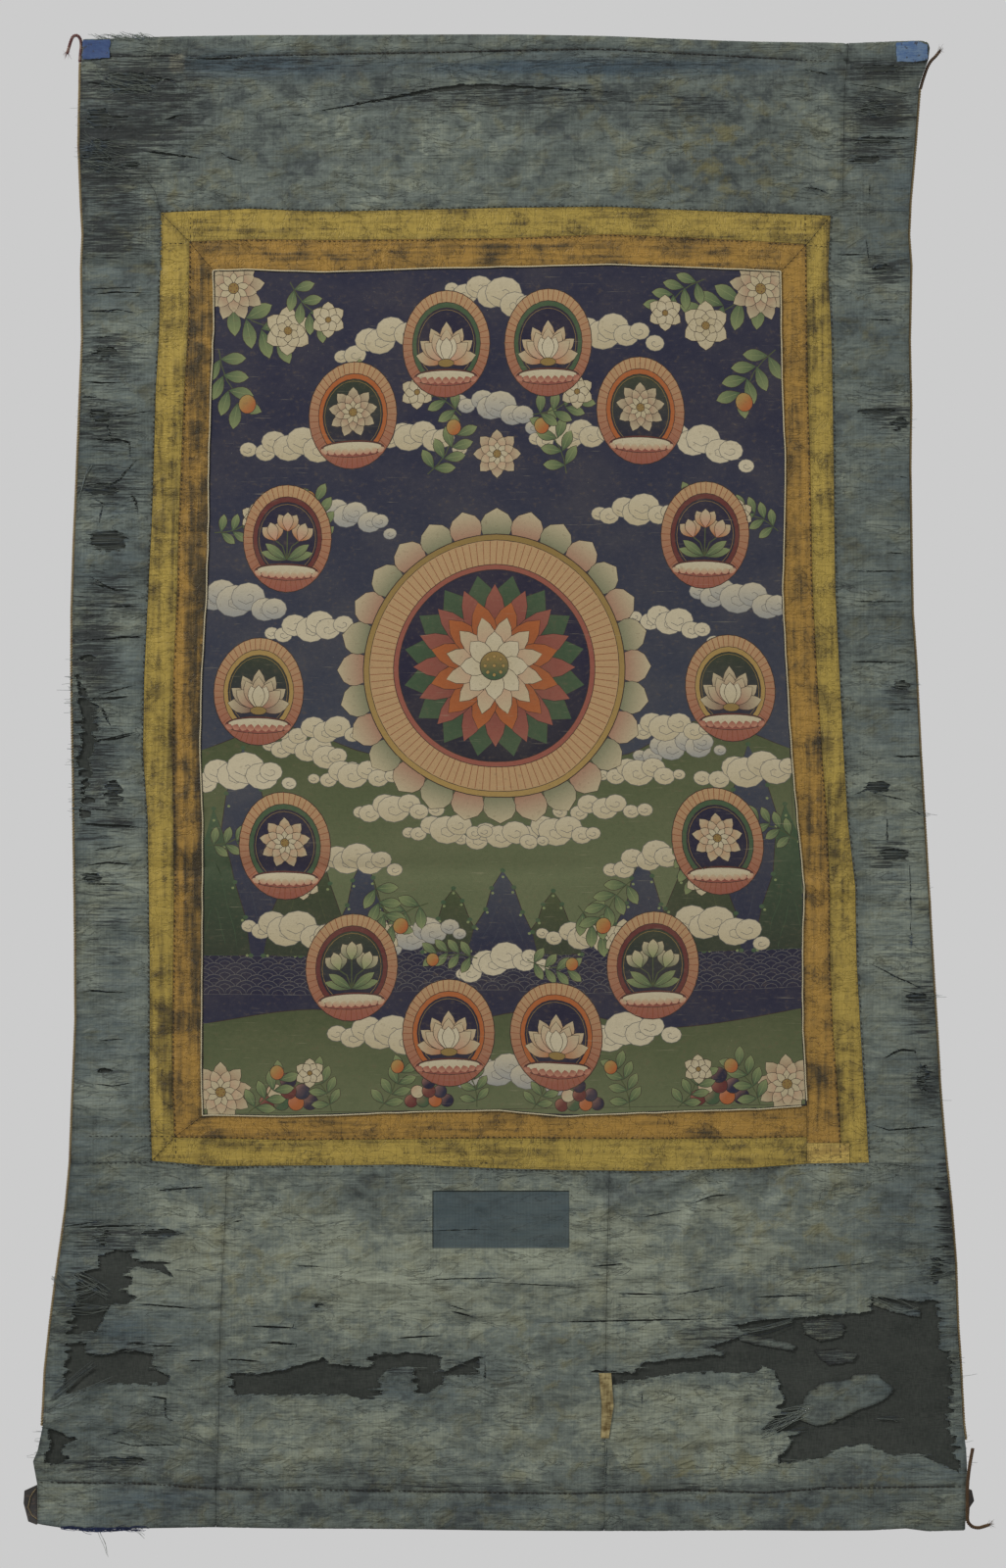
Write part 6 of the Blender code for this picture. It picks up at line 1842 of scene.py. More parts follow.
# Where the yellow bands are soiled. Columns: as in WORN.
SOILED = (
    (-246, 560, 16, 400, 0.75), (-270, 820, 30, 90, 0.45), (0, 178, 260, 12, 0.35),
    (238, 400, 14, 260, 0.3), (0, 890, 250, 10, 0.15), (-275, 400, 24, 80, 0.35), (262, 640, 26, 120, 0.4),
    (-272, 600, 24, 90, 0.4), (262, 230, 20, 60, 0.35), (255, 860, 30, 40, 0.3),
)


def blots(across: Floats, drop: Floats, rows: Sequence[Sequence[float]]) -> Floats:
    """Returns how strongly places lie in soft oval patches."""
    found = np.zeros_like(across)
    for x, z, wide, tall, strength in rows:
        away = ((across - x) / wide) ** 2 + ((drop - z) / tall) ** 2
        found = np.maximum(found, strength * np.exp(-away * 0.9))
    return found


@dataclass
class SilkMount:
    """The silk heading, sides and foot, with their tears and hems."""

    seed: int = 11
    reach: float = 1.8
    finish: SilkFinish = SilkFinish()
    panels: list[Cloth] = field(default_factory=list)
    tears: list[Line] = field(default_factory=list)
    pieces: dict[str, bpy.types.Object] = field(default_factory=dict)

    def build(self) -> None:
        """Builds the panels and the loose scraps."""
        rng = np.random.default_rng(self.seed)
        large = [ragged(tear, rng, self.reach) for tear in LARGE_TEARS]
        small = [ragged(snag(*row), rng, 1.6, 1.0) for row in SNAGS]
        fine = [ragged(lens(*row), rng, 0.3, 4.0) for row in SLITS]
        fine += [ragged(rip(row), rng, 0.25, 3.0) for row in RIPS]
        self.tears = [*large, ragged(slit(HEAD_SLIT), rng, 1.0, 2.0), *small, *fine]
        for name, outline in self._outlines().items():
            self.panels.append(Cloth(f"silk_{name}", outline, "silk", holes=self.tears,
                                     head=name.startswith("heading"), foot=name.startswith("foot")))
        self.panels.append(Cloth("silk_scrap", ragged(SCRAP, rng, 1.4), "silk", wide=3.0, tall=3.0,
                                 depth=-0.1))
        for name, outline in FLAPS.items():
            self.panels.append(Cloth(f"silk_flap_{name}", ragged(outline, rng, 0.8), "silk", depth=0.1,
                                     body=0.5, thick=0.25, wide=3.0, tall=3.0, dip=0.1))
        for panel in self.panels:
            self.pieces[panel.name] = panel.build()

    def dress(self) -> None:
        """Gives the silk its finish and its worn, faded and stained places."""
        material = self.finish.build()
        for panel in self.panels:
            piece = self.pieces[panel.name]
            piece.data.materials.append(material)
            x, z = panel.flat.T
            edge = ease(250.0, 330.0, np.abs(x))
            dark = 0.55 if panel.name in ("silk_flap_upper", "silk_flap_lower") else 0.0
            keep_values(piece.data, {
                "worn": np.maximum(blots(x, z, WORN), 0.1 + 0.1 * edge + dark),
                "blued": np.maximum(blots(x, z, BLUED), 0.25 + 0.25 * edge),
                "faded": np.maximum(blots(x, z, FADED), 0.1 + 0.3 * edge),
                "stained": np.maximum(blots(x, z, STAINED), 0.1),
            })
            panel.size()
            panel.area()

    @staticmethod
    def _outlines() -> dict[str, Line]:
        """Returns the panels' outlines, laid flat with their hems unfolded."""
        left, right = SIDE["left"], SIDE["right"]
        outer_left, outer_right = UPRIGHT["outer_left"], UPRIGHT["outer_right"]
        band_top, band_foot = TOP["outer"], FOOT["outer"]
        left_seam, right_seam = LEFT_SIDE_SEAM[1][1], RIGHT_SIDE_SEAM[1][1]
        low_left, low_right = LEFT_FOOT_SEAM[1], RIGHT_FOOT_SEAM[0]
        first, second = FOOT_SEAM_LEFT, FOOT_SEAM_RIGHT
        bend = (math.pi - 2.0) * MIDDLE
        over = [(x, z - bend - float(at(HEAD_HEM, x) - z) + 1.0) for x, z in TOP["edge"]]
        under = [(x, z + bend + float(z - at(FOOT_HEM, x)) - 1.0) for x, z in FOOT["edge"]]
        return {
            "heading": [
                *span(over, SIDES[0][1], HEAD_END_SEAM[0][0]), *HEAD_END_SEAM[1:],
                *span(band_top, RIGHT_SHOULDER[0][0], LEFT_SHOULDER[-1][0]), *LEFT_SHOULDER[-2::-1],
                *upright(left, LEFT_SHOULDER[0][1] - BY, SIDES[0][0] + BY),
            ],
            "heading_end": [
                *span(over, HEAD_END_SEAM[0][0], SIDES[0][2]),
                *upright(right, SIDES[0][0] + 2 * BY, RIGHT_SHOULDER[-1][1]), RIGHT_SHOULDER[1],
                *HEAD_END_SEAM[-2:0:-1],
            ],
            "left_upper": [
                *LEFT_SHOULDER, *upright(outer_left, LEFT_SHOULDER[-1][1] + BY, left_seam),
                *upright(left, left_seam, LEFT_SHOULDER[0][1] + BY),
            ],
            "left_lower": [
                *LEFT_SIDE_SEAM, *upright(outer_left, left_seam + BY, low_left[1]),
                *upright(left, LEFT_FOOT_SEAM[0][1], left_seam + BY),
            ],
            "right_upper": [
                *RIGHT_SHOULDER, *upright(right, RIGHT_SHOULDER[-1][1] + BY, right_seam),
                *upright(outer_right, RIGHT_SIDE_SEAM[0][1], RIGHT_SHOULDER[0][1] + BY),
            ],
            "right_lower": [
                *RIGHT_SIDE_SEAM, *upright(right, right_seam + BY, RIGHT_FOOT_SEAM[-1][1]),
                *upright(outer_right, low_right[1], right_seam + BY),
            ],
            "foot_left": [
                *LEFT_FOOT_SEAM, *span(band_foot, low_left[0] + BY, first[0][0]), *first[1:-1],
                *span(under, first[-1][0], SIDES[-1][1]),
                *upright(left, SIDES[-1][0] - BY, LEFT_FOOT_SEAM[0][1] + BY),
            ],
            "foot_middle": [
                *span(band_foot, first[0][0], second[0][0]), *second[1:-1],
                *span(under, second[-1][0], first[-1][0]), *first[-2:0:-1],
            ],
            "foot_right": [
                *span(band_foot, second[0][0], low_right[0] - BY), *RIGHT_FOOT_SEAM,
                *upright(right, RIGHT_FOOT_SEAM[-1][1] + BY, SIDES[-1][0]),
                *span(under, SIDES[-1][2], second[-1][0]), *second[-2:0:-1],
            ],
        }


# Loose shreds of silk in and above the large right tear. Columns: across, drop.
FLAPS = {
    "upper": ((242.8, 1049.6), (262.0, 1046.0), (279.6, 1052.0), (276.0, 1062.0), (258.0, 1066.0),
              (247.0, 1060.0)),
    "lower": ((253.2, 1072.8), (272.0, 1071.0), (290.0, 1076.0), (284.0, 1083.0), (264.0, 1085.0)),
    "strip_left": ((192.0, 1059.4), (208.0, 1060.4), (239.0, 1068.6), (238.0, 1074.0), (204.0, 1068.2),
                   (193.0, 1065.0)),
    "strip_right": ((303.0, 1029.8), (320.0, 1034.6), (341.0, 1040.6), (340.0, 1046.2), (318.0, 1042.0),
                    (302.0, 1036.0)),
}


@dataclass
class YellowBands:
    """The two rows of yellow silk bands round the picture, and the piece let into one corner."""

    outer: BandFinish = BandFinish("outer_band", seen(174, 149, 66), seen(84, 70, 30), seen(44, 36, 20))
    inner: BandFinish = BandFinish("inner_band", seen(168, 129, 54), seen(66, 54, 28), seen(36, 28, 18))
    patch: BandFinish = BandFinish("band_piece", seen(212, 182, 96), seen(150, 122, 58), seen(80, 62, 34))
    cloths: list[Cloth] = field(default_factory=list)
    pieces: dict[str, bpy.types.Object] = field(default_factory=dict)

    def build(self) -> None:
        """Builds the bands."""
        for name, outline in self._outlines().items():
            slot = "band_patch" if name == "corner_piece" else f"band_{name.split('_')[0]}"
            self.cloths.append(Cloth(f"band_{name}", outline, slot, wide=3.4, tall=3.4, dip=0.5))
        for cloth in self.cloths:
            self.pieces[cloth.name] = cloth.build()

    def dress(self) -> None:
        """Gives the bands their finishes and soiling."""
        made = {"band_outer": self.outer.build(), "band_inner": self.inner.build(),
                "band_patch": self.patch.build()}
        for cloth in self.cloths:
            piece = self.pieces[cloth.name]
            piece.data.materials.append(made[cloth.slot])
            x, z = cloth.flat.T
            upward = float(cloth.name.endswith(("left", "right")))
            keep_values(piece.data, {
                "soiled": np.maximum(blots(x, z, SOILED), 0.12), "upright": np.full_like(x, upward),
            })
            cloth.size()
            cloth.area()

    @staticmethod
    def _outlines() -> dict[str, Line]:
        """Returns the bands' outlines."""
        mid_left, mid_right = UPRIGHT["mid_left"], UPRIGHT["mid_right"]
        outer_left, outer_right = UPRIGHT["outer_left"], UPRIGHT["outer_right"]
        inner_left, inner_right = UPRIGHT["picture_left"], UPRIGHT["picture_right"]
        top, top_mid, top_inner = TOP["outer"], TOP["mid"], TOP["picture"]
        foot, foot_mid, foot_inner = FOOT["outer"], FOOT["mid"], FOOT["picture"]
        outer_a, mid_a, inner_a = UPPER_LEFT_MITRE
        outer_b, mid_b, inner_b = UPPER_RIGHT_MITRE
        outer_c, mid_c, inner_c = LOWER_LEFT_MITRE
        butt = BUTT
        step = (float(at(mid_right, INSET_TOP)), INSET_TOP)
        inset = [
            (BUTT_ACROSS, INSET_TOP), step, (INSET_RIGHT, INSET_TOP),
            (INSET_RIGHT, float(at(foot, INSET_RIGHT))),
        ]
        return {
            "outer_top": [
                outer_a, *span(top, outer_a[0] + BY, outer_b[0] - BY), outer_b, mid_b,
                *span(top_mid, mid_b[0] - BY, mid_a[0] + BY), mid_a,
            ],
            "inner_top": [
                mid_a, *span(top_mid, mid_a[0] + BY, mid_b[0] - BY), mid_b, inner_b,
                *span(top_inner, inner_b[0] - BY, inner_a[0] + BY), inner_a,
            ],
            "outer_left": [
                outer_a, mid_a, *upright(mid_left, mid_a[1] + BY, mid_c[1] - BY), mid_c, outer_c,
                *upright(outer_left, outer_c[1] - BY, outer_a[1] + BY),
            ],
            "inner_left": [
                mid_a, inner_a, *upright(inner_left, inner_a[1] + BY, inner_c[1] - BY), inner_c, mid_c,
                *upright(mid_left, mid_c[1] - BY, mid_a[1] + BY),
            ],
            "inner_bottom": [
                mid_c, inner_c, *span(foot_inner, inner_c[0] + BY, BUTT_ACROSS),
                *span(foot_mid, BUTT_ACROSS, mid_c[0] + BY),
            ],
            "outer_bottom": [
                outer_c, mid_c, *span(foot_mid, mid_c[0] + BY, BUTT_ACROSS),
                *span(foot, BUTT_ACROSS, outer_c[0] + BY),
            ],
            "inner_right": [
                inner_b, mid_b, *upright(mid_right, mid_b[1] + BY, INSET_TOP), inset[0], butt[2],
                *upright(inner_right, butt[2][1] - BY, inner_b[1] + BY),
            ],
            "outer_right": [
                mid_b, outer_b, *upright(outer_right, outer_b[1] + BY, RIGHT_FOOT_SEAM[0][1]), *inset[:0:-1],
                *upright(mid_right, INSET_TOP - BY, mid_b[1] + BY),
            ],
            "corner_piece": [*inset, butt[0]],
        }


BUTT = [(BUTT_ACROSS, float(at(FOOT[name], BUTT_ACROSS))) for name in ("outer", "mid", "picture")]


@dataclass
class Lining:
    """The dark lining, which shows through the tears and makes the whole back."""

    finish: PlainClothFinish = PlainClothFinish(
        "lining_cotton", seen(50, 54, 50), seen(67, 70, 65), 0.9, 0.9, 0.35,
    )
    cloth: Cloth = field(init=False)
    piece: bpy.types.Object = field(init=False)

    def build(self) -> None:
        """Builds the lining, whose edges lie in the fold of both hems."""
        shy = LINING_DEPTH[0]
        outline = [
            *[(x, z + shy) for x, z in span(TOP["edge"], SIDES[0][1], SIDES[0][2] + 2.0)],
            *upright(SIDE["right"], SIDES[1][0] + 2.0, SIDES[-1][0] - 2.4),
            *[(x, z - shy) for x, z in span(FOOT["edge"], SIDES[-1][2] - 0.6, SIDES[-1][1] + 0.6)],
            *upright(SIDE["left"], SIDES[-1][0] - BY, SIDES[0][0] + BY),
        ]
        self.cloth = Cloth("lining", outline, "lining", depth=LINING_DEPTH[0], thick=0.7, body=2.4, wide=6.0,
                           tall=5.0, coarse=6.0, dip=0.0)
        self.piece = self.cloth.build()

    def dress(self) -> None:
        """Gives the lining its finish."""
        self.piece.data.materials.append(self.finish.build())
        self.cloth.size()
        self.cloth.area()


@dataclass
class Trims:
    """The corner patches, the darning strip and the leather tabs at the foot hem's ends."""

    seed: int = 3
    tuck: float = 0.7
    cloths: list[Cloth] = field(default_factory=list)
    pieces: dict[str, bpy.types.Object] = field(default_factory=dict)

    def build(self) -> None:
        """Builds the small sewn pieces."""
        rng = np.random.default_rng(self.seed)
        fine = {"wide": 1.6, "tall": 1.6, "coarse": 4.0, "dip": 0.12, "thick": 0.4, "body": 0.8}
        tab = {**fine, "depth": MIDDLE - TAB_THICK / 2, "thick": 0.9, "body": 1.4}
        left = upright(SIDE["left"], TAB_FOOT_LEFT, TAB_TOP_LEFT)
        right = upright(SIDE["right"], TAB_TOP_RIGHT, RIGHT_TAB[0][1])
        self.cloths = [
            Cloth("corner_patch_left", ragged(LEFT_CORNER_PATCH, rng, 0.5), "satin", depth=-1.2, **fine),
            Cloth("corner_patch_right", ragged(RIGHT_CORNER_PATCH, rng, 0.6), "satin", depth=-1.2, **fine),
            Cloth("darn_strip", list(DARN_STRIP), "darn", depth=-0.9, **fine),
            Cloth("end_tab_left", [*LEFT_TAB, *((x + self.tuck, z) for x, z in left)], "leather", **tab),
            Cloth("end_tab_right", [*((x - self.tuck, z) for x, z in right), *RIGHT_TAB], "leather", **tab),
        ]
        for cloth in self.cloths:
            self.pieces[cloth.name] = cloth.build()

    def dress(self) -> None:
        """Gives the small pieces their finishes."""
        leather = LeatherFinish().build()
        made = {
            "corner_patch_left": SatinFinish("bright_satin", seen(18, 52, 104), seen(38, 70, 116),
                                             seen(18, 26, 46), 0.8),
            "corner_patch_right": SatinFinish("pale_satin", seen(56, 92, 138), seen(96, 122, 150),
                                              seen(34, 36, 46), 1.0),
            "darn_strip": PlainClothFinish("figured_cloth", seen(182, 166, 118), seen(88, 70, 36), 1.4, 0.8,
                                           0.3, 9.0),
        }
        for cloth in self.cloths:
            piece = self.pieces[cloth.name]
            if cloth.slot == "leather":
                piece.data.materials.append(leather)
                continue
            piece.data.materials.append(made[cloth.name].build())
            cloth.size()
            cloth.area()


@dataclass
class Ties:
    """What is left of the ties at three corners: cords with free, frayed ends."""

    red: StrandFinish = StrandFinish(
        "red_brown_braid", seen(70, 38, 40), seen(128, 84, 80), seen(186, 168, 150), 0.5,
    )
    brown: StrandFinish = StrandFinish(
        "brown_yarn", seen(52, 40, 32), seen(104, 82, 62), seen(140, 120, 96), 0.3,
    )
    thong: StrandFinish = StrandFinish(
        "leather_thong", seen(50, 36, 26), seen(112, 86, 58), seen(140, 112, 76), 0.3,
    )
    fuller: float = 1.6
    fibres: int = 26
    fibre: float = 0.32

    def build(self) -> None:
        rows = (
            ("tie_head_left", LEFT_TIE, TIE, "tie_red", self.red, 4.2),
            ("tie_head_right", RIGHT_TIE, TIE, "tie_brown", self.brown, 6.0),
            ("tie_foot_right", THONG_ROUTE, THONG, "tie_red", self.thong, 5.0),
        )
        made = {finish.name: finish.build() for finish in (self.red, self.brown, self.thong)}
        for name, route, diameter, slot, finish, pitch in rows:
            line = smooth(route, 0.8)
            places = spots(*line.T)
            wide = diameter * self.fuller
            strands = Strands(name, slot, made[finish.name], wide, Lay.THREE_PLY, 8, 0.7, pitch, 0.6)
            strands.add(places)
            piece = strands.build([name])
            tufts = self._tuft(name, slot, made[finish.name], places)
            diameter * MM

    def _tuft(self, name: str, slot: str, finish: bpy.types.Material, places: Floats) -> bpy.types.Object:
        """Builds the loose fibres at a tie's free end."""
        rng = np.random.default_rng(len(name))
        tuft = Strands(f"{name}_fray", slot, finish, self.fibre)
        way = places[-1] - places[-4]
        way /= np.linalg.norm(way)
        thin = np.linspace(1, 0.4, 5)
        for _ in range(self.fibres):
            spread = rng.normal(size=3) * (0.5, 0.3, 0.5)
            steps = np.linspace(0.0, 1.0, 5)[:, None] * rng.uniform(2.4, 5.0) * MM
            curl = np.linspace(0.0, 1.0, 5)[:, None] ** 2 * rng.normal(size=3) * 1.2 * MM * (1.0, 0.5, 1.0)
            start = places[-2] + rng.normal(size=3) * 0.35 * MM
            tuft.add(start + (way + spread * 0.6) * steps + curl, float(rng.uniform(0.2, 1.0)), thin)
        return tuft.build()


@dataclass
class Edging:
    """The cords couched along both side edges and round the picture."""

    tan: StrandFinish = StrandFinish(
        "tan_cord", seen(104, 88, 60), seen(182, 164, 124), seen(110, 70, 56), 0.4,
    )
    cream: StrandFinish = StrandFinish(
        "cream_cord", seen(188, 174, 136), seen(236, 224, 190), seen(146, 130, 96), 0.25,
    )
    tuck: float = 0.4
    above: float = 2.8
    fuller_tan: float = 1.2
    fuller_cream: float = 1.25
    tab_piping: tuple[Point, ...] = (
        (-381.0, 1185.6), (-385.4, 1192.0), (-387.4, 1201.0), (-384.0, 1207.6), (-379.0, 1211.0),
    )

    def build(self) -> None:
        """Builds the side cords and the picture's cord."""
        tan, cream = self.tan.build(), self.cream.build()
        for name, column, stretch, turn in (
            ("edge_cord_left", "left", LEFT_CORD_SPAN, 1), ("edge_cord_right", "right", RIGHT_CORD_SPAN, -1),
        ):
            side = upright(SIDE[column], stretch[0] - self.above, stretch[1])
            line = walk(beside(side, turn * (EDGE_CORD / 2 - self.tuck)), 3.0)
            cord = Strands(name, "cord_tan", tan, EDGE_CORD * self.fuller_tan, Lay.TWO_PLY, 6, 0.9, 4.4, 0.6)
            cord.add(spots(line[:, 0], line[:, 1], np.full(len(line), MIDDLE)))
            if column == "left":
                piping = np.array(self.tab_piping)
                cord.add(spots(*piping.T, np.full(len(piping), MIDDLE - 1.2)), 0.6, 0.3)
            cord.build([name])
        line = walk(picture_walk(), 2.5)
        sway = 0.35 * noise(line[:, 0], line[:, 1], 14.0, 14.0, 5)
        thick = PICTURE_CORD * self.fuller_cream
        cord = Strands("picture_cord", "cord_cream", cream, thick, Lay.TWO_PLY, 5, 0.8, 2.8, 0.7)
        cord.add(spots(line[:, 0] + sway, line[:, 1] + sway, np.full(len(line), -0.6)))
        cord.build(["picture_cord"])


def picture_outline() -> Line:
    """Returns the picture's outline, from its upper left corner round to the right."""
    top_left, top_right, low_left, low_right = (
        UPPER_LEFT_MITRE[2], UPPER_RIGHT_MITRE[2], LOWER_LEFT_MITRE[2], BUTT[2],
    )
    left, right = UPRIGHT["picture_left"], UPRIGHT["picture_right"]
    return [
        top_left, *span(TOP["picture"], top_left[0] + BY, top_right[0] - BY), top_right,
        *upright(right, top_right[1] + BY, low_right[1] - BY), low_right,
        *span(FOOT["picture"], low_right[0] - BY, low_left[0] + BY), low_left,
        *upright(left, low_left[1] - BY, top_left[1] + BY),
    ]


def picture_walk() -> Line:
    """Returns the line that the picture's cord follows, open at the lower right corner."""
    outline, corner = picture_outline(), BUTT[2]
    start = outline.index(corner)
    begin, end = (corner[0] - 1.5 * BY, corner[1]), (corner[0], corner[1] - 1.5 * BY)
    return [begin, *outline[start + 1:], *outline[:start], end]


# Threads that lie loose together. Columns: across and drop of both ends, count, spread, depth.
LOOSE_THREADS = (
    (-366, 1014, -346, 1034, 16, 3.2, -0.4), (-350, 1010, -322, 1026, 14, 3, -0.3),
    (-362, 1041, -322, 1038, 9, 1.4, -0.5), (-356, 1030, -330, 1022, 10, 3, -0.3),
    (-368, 1112, -334, 1084, 8, 1.6, -0.6), (-372, 1122, -318, 1098, 4, 2, -0.7),
    (-262, 1143, -214, 1153, 4, 1.4, -0.6), (-312, 1137, -262, 1154, 3, 1.6, -0.6),
    (246, 1124, 212, 1140, 18, 3.4, -0.2), (250, 1120, 216, 1126, 10, 2.4, -0.2),
    (196, 1058, 236, 1048, 7, 1.6, -0.4), (300, 1029, 338, 1038, 6, 2, -0.5),
    (344, 1000, 364, 1006, 12, 4, -0.3), (346, 1014, 366, 1010, 10, 4, -0.3),
    (-331, 1216, -322, 1238, 3, 1.6, 0), (-300, 1216, -292, 1224, 4, 2, 0),
    (-338, 352, -346, 380, 3, 2, -0.4), (-342, 106, -312, 112, 12, 3, -0.4),
    (-330, 36, -284, 44, 26, 5, -0.3), (-342, 92, -312, 98, 20, 9, -0.3), (288, 58, 316, 60, 14, 4, -0.3),
)


@dataclass
class Sewing:
    """Stitches along the seams and hems, and the loose threads of the torn silk."""

    silk: SilkMount
    seed: int = 29
    dark: StrandFinish = StrandFinish(
        "dark_thread", seen(30, 30, 32), seen(66, 60, 50), seen(90, 80, 60), 0.2,
    )
    navy: StrandFinish = StrandFinish(
        "navy_thread", seen(22, 28, 56), seen(52, 64, 104), seen(30, 34, 52), 0.3,
    )
    navy_edge: tuple[float, float] = (-362.0, -298.0)
    navy_threads: int = 150
    top_tuft: tuple[float, float] = (-326.0, -284.0)
    top_threads: int = 110
    stitch: float = 0.75
    thread: float = 0.42
    navy_thread: float = 0.5
    frayed: StrandFinish = StrandFinish(
        "frayed_silk", seen(44, 52, 62), seen(138, 146, 134), seen(70, 88, 112), 0.5,
    )

    def build(self) -> None:
        """Builds the stitches and the frays."""
        self._stitches()
        self._frays()

    def _stitches(self) -> None:
        """Builds the running stitches of the bands and the hems."""
        rng = np.random.default_rng(self.seed)
        stitches = Strands("stitches", "lining", self.dark.build(), self.stitch)
        sides = (("outer_left", -0.9), ("mid_left", 0.9), ("mid_right", -0.9), ("outer_right", 0.9))
        seams = [
            [(x, z - 0.9) for x, z in TOP["outer"][2:10]], [(x, z + 1.0) for x, z in TOP["mid"][2:10]],
            [(x, z + 1.0) for x, z in FOOT["outer"][3:14]], [(x, z - 0.8) for x, z in FOOT["mid"][3:13]],
            *([(value + side, drop) for drop, value in UPRIGHT[name]] for name, side in sides),
            UPPER_LEFT_MITRE, UPPER_RIGHT_MITRE, LOWER_LEFT_MITRE,
            [p for p in HEAD_HEM if abs(p[0]) < 330], [(-379.0, 1180.2), *FOOT_HEM[1:-1], (376.0, 1183.4)],
        ]
        for seam in seams:
            line = walk(seam, 0.5)
            place = rng.uniform(0.0, 4.0)
            total = (len(line) - 1) * 0.5
            while place < total - 3.0:
                long = rng.uniform(1.6, 3.0)
                at_ends = line[[min(int((place + long * s) / 0.5), len(line) - 1) for s in (0.0, 0.5, 1.0)]]
                if len({tuple(p) for p in at_ends}) == 3 and rng.random() > 0.08:
                    tilt = rng.normal() * 0.12 * np.array((-1, 0, 1))
                    depth = np.array((0.35, -0.25, 0.35))
                    stitches.add(spots(at_ends[:, 0], at_ends[:, 1] + tilt, depth), rng.random())
                place += long + rng.uniform(1.3, 2.4)
        stitches.build()

    def _frays(self) -> None:
        """Builds the threads that hang out of the tears and across the small ones."""
        rng = np.random.default_rng(self.seed + 1)
        frays = Strands("frayed_threads", "silk", self.frayed.build(), self.thread)
        for panel in self.silk.panels:
            if panel.name.startswith("silk_flap"):
                continue
            cut = panel.cut
            for (a, b), torn in zip(cut.points[cut.edges], cut.torn):
                run = b - a
                long = float(np.hypot(*run))
                steep = run[1] / max(long, 1e-6)
                count = rng.poisson(long * (0.15 + 1.3 * abs(steep))) if torn else 0
                for _ in range(count):
                    start = a + run * rng.random()
                    reach = rng.gamma(2.0, 2.4) * (1.0 if abs(steep) > 0.4 else 0.5)
                    way = math.copysign(1.0, steep) if abs(steep) > 0.25 else rng.choice((-1.0, 1.0))
                    self._thread(frays, rng, start, way * reach)
        for across, drop, long, tall in SNAGS:
            for _ in range(int(tall * 1.8)):
                x = across - long * 0.5 + rng.uniform(-3, 6)
                start = np.array((x, drop + rng.uniform(-0.5, 0.5) * tall))
                self._thread(frays, rng, start, long * rng.uniform(0.5, 1.1))
        for row in LOOSE_THREADS:
            self._bundle(frays, rng, row[0:2], row[2:4], int(row[4]), row[5], row[6])
        for _ in range(self.top_threads):
            start = rng.uniform(*self.top_tuft)
            high = float(at(TOP["edge"], start)) + rng.uniform(0.4, 3.0)
            stop = (start - rng.uniform(3.0, 15.0), high - rng.uniform(0.0, 5.5))
            self._bundle(frays, rng, (start, high), stop, 1, 0.3, -0.3)
        frays.build()
        navy = Strands("navy_threads", "silk", self.navy.build(), self.navy_thread)
        for _ in range(self.navy_threads):
            start = rng.uniform(*self.navy_edge)
            low = float(at(FOOT["edge"], start)) + rng.uniform(-1.5, 0.9)
            stop = (start + rng.uniform(5.0, 16.0), low + rng.normal() * 0.8)
            self._bundle(navy, rng, (start, low), stop, 1, 0.4, -0.2)
        navy.build()

    @staticmethod
    def _bundle(frays: Strands, rng: np.random.Generator, start: Sequence[float], stop: Sequence[float],
                count: int, spread: float, depth: float) -> None:
        """Adds bent threads that run together from about one place to about another."""
        share = np.linspace(0.0, 1.0, 7)
        for _ in range(count):
            a, b = rng.normal(size=(2, 2)) * spread * (0.6, 1.0) + (start, stop)
            run = b - a
            bow = np.sin(share * math.pi) * rng.normal() * 0.05 + np.sin(share * 7.0) * rng.normal() * 0.012
            x, z = a[0] + run[0] * share + run[1] * bow, a[1] + run[1] * share - run[0] * bow
            reach = depth - 0.9 * rng.random() * np.sin(share * math.pi)
            shade = float(np.clip(rng.normal(0.6, 0.28), 0, 1))
            frays.add(spots(x, z, reach), shade, np.linspace(1.0, 0.7, 7))

    @staticmethod
    def _thread(frays: Strands, rng: np.random.Generator, start: Floats, reach: float) -> None:
        """Adds one loose thread that runs across from a place by a reach."""
        count = 4 if abs(reach) < 12.0 else 6
        share = np.linspace(0.0, 1.0, count)
        x = start[0] - math.copysign(1.2, reach) + share * (reach + math.copysign(1.2, reach))
        z = start[1] + share**2 * rng.normal() * 0.9 + np.sin(share * 3.0) * rng.normal() * 0.35
        depth = -0.15 + rng.uniform(0.0, 0.9) * share - 0.3 * rng.random() * np.sin(share * math.pi)
        shade = float(np.clip(rng.normal(0.5, 0.28), 0, 1))
        frays.add(spots(x, z, depth), shade, np.linspace(1.0, 0.55, count))


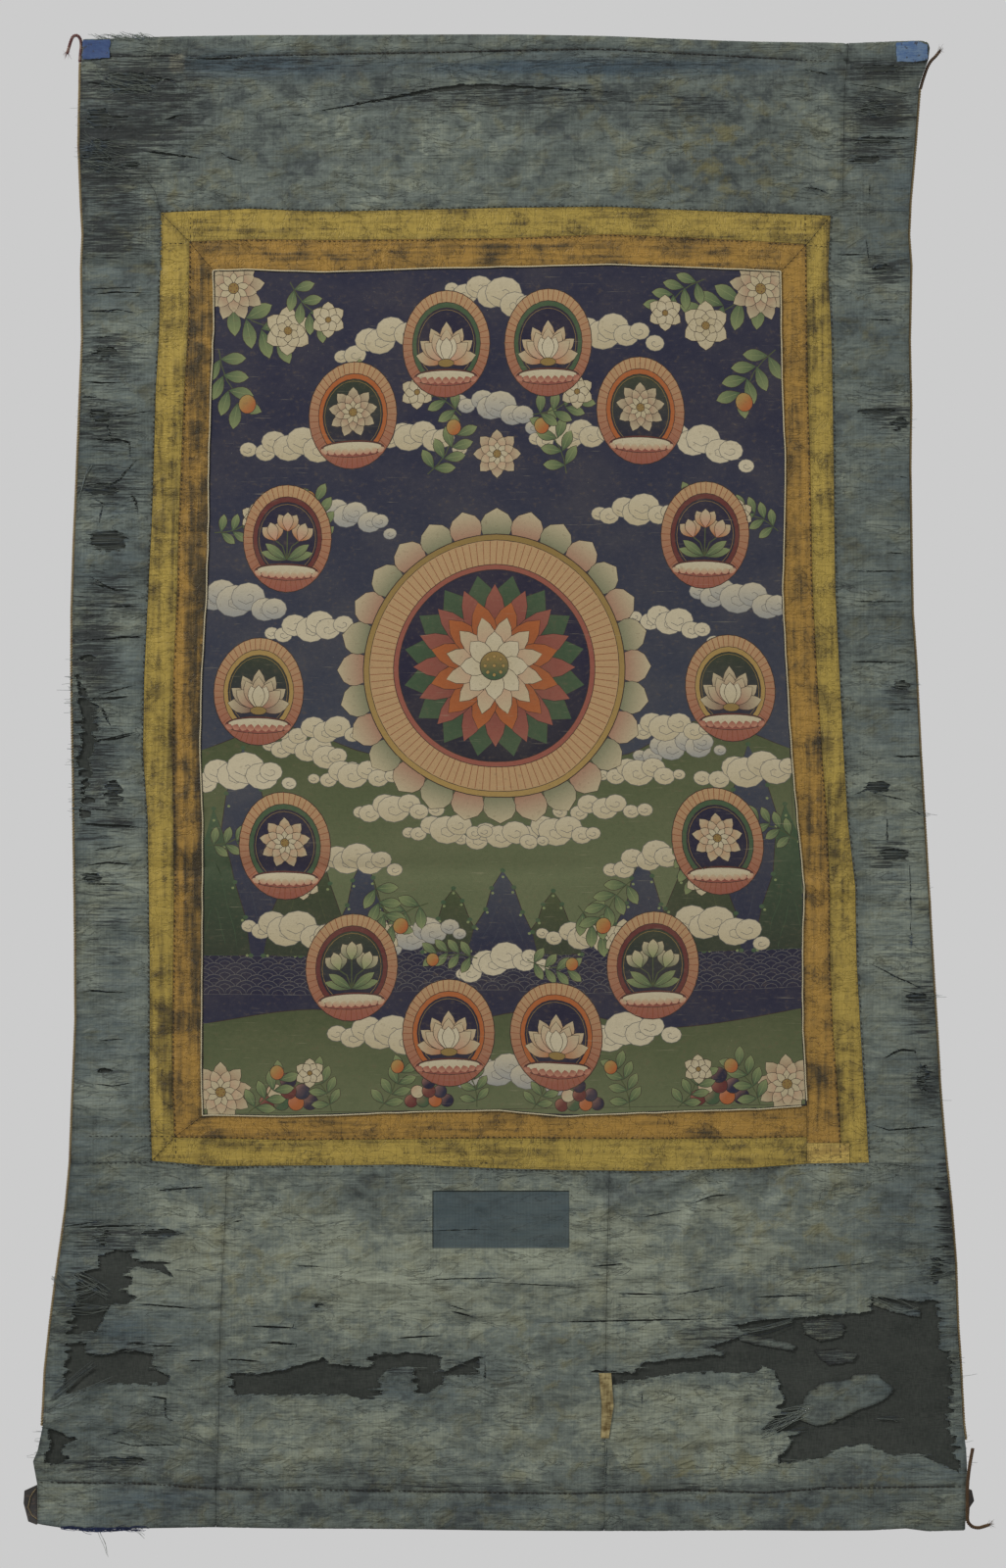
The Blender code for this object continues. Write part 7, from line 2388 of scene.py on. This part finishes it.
@dataclass
class Studio:
    """The camera in front of the scroll, soft light and a pale floor far below."""

    distance: float = 6.0
    frame_height: float = 1.28
    middle: tuple[float, float] = (0.0, -0.6112)
    floor_drop: float = -1.9
    floor_radius: float = 2.4
    paper: Colour = srgb(204, 204, 204)

    def camera(self) -> None:
        """Places the camera at the photograph's angle."""
        data = bpy.data.cameras.new("camera")
        data.sensor_width = 36.0
        data.lens = data.sensor_width * self.distance / self.frame_height
        camera = bpy.data.objects.new("camera", data)
        camera.location = (self.middle[0], -self.distance, self.middle[1])
        camera.rotation_euler = (math.pi / 2, 0.0, 0.0)
        bpy.context.scene.collection.objects.link(camera)
        bpy.context.scene.camera = camera

    def light(self) -> None:
        """Adds the soft studio light and the pale surroundings."""
        scene = bpy.context.scene
        world = bpy.data.worlds.new("studio")
        world.use_nodes = True
        world.node_tree.nodes["Background"].inputs["Color"].default_value = (*self.paper, 1.0)
        world.node_tree.nodes["Background"].inputs["Strength"].default_value = 1.0
        scene.world = world
        scene.view_settings.view_transform = "Standard"
        for name, place, power, size in (
            ("key", (-3.2, -2.3, 2.4), 330.0, 0.9), ("fill", (2.8, -3.2, -0.4), 50.0, 2.0),
            ("behind", (1.2, 3.0, 1.4), 130.0, 1.6),
        ):
            data = bpy.data.lights.new(name, "AREA")
            data.energy, data.size = power, size
            lamp = bpy.data.objects.new(name, data)
            lamp.location = place
            aim = Vector((0.0, 0.0, self.middle[1])) - lamp.location
            lamp.rotation_euler = aim.to_track_quat("-Z", "Y").to_euler()
            scene.collection.objects.link(lamp)

    def floor(self) -> None:
        """Lays the pale floor."""
        mesh = bpy.data.meshes.new("floor")
        ring = [(self.floor_radius * math.cos(a), self.floor_radius * math.sin(a), self.floor_drop)
                for a in np.linspace(0.0, 2 * math.pi, 64, endpoint=False)]
        mesh.from_pydata(ring, [], [list(range(64))])
        floor = bpy.data.objects.new("floor", mesh)
        s = Shader("pale_floor")
        soft = s.grain((200.0, 200.0, 200.0), 2.0)
        colour = s.mix(srgb(150, 150, 150), srgb(144, 144, 144), soft)
        mesh.materials.append(s.finish(Base_Color=colour, Roughness=0.9))
        bpy.context.scene.collection.objects.link(floor)


def main() -> None:
    """Builds the scroll in order and reports each piece."""
    logging.basicConfig(level=logging.INFO, format="%(name)s: %(message)s")
    studio = Studio()
    studio.camera()
    Ties().build()
    silk = SilkMount()
    parts = (silk, YellowBands(), Picture(), Lining(), Trims())
    for part in parts:
        part.build()
        part.dress()
    Edging().build()
    Sewing(silk).build()
    studio.light()
    studio.floor()


if __name__ == "__main__":
    main()
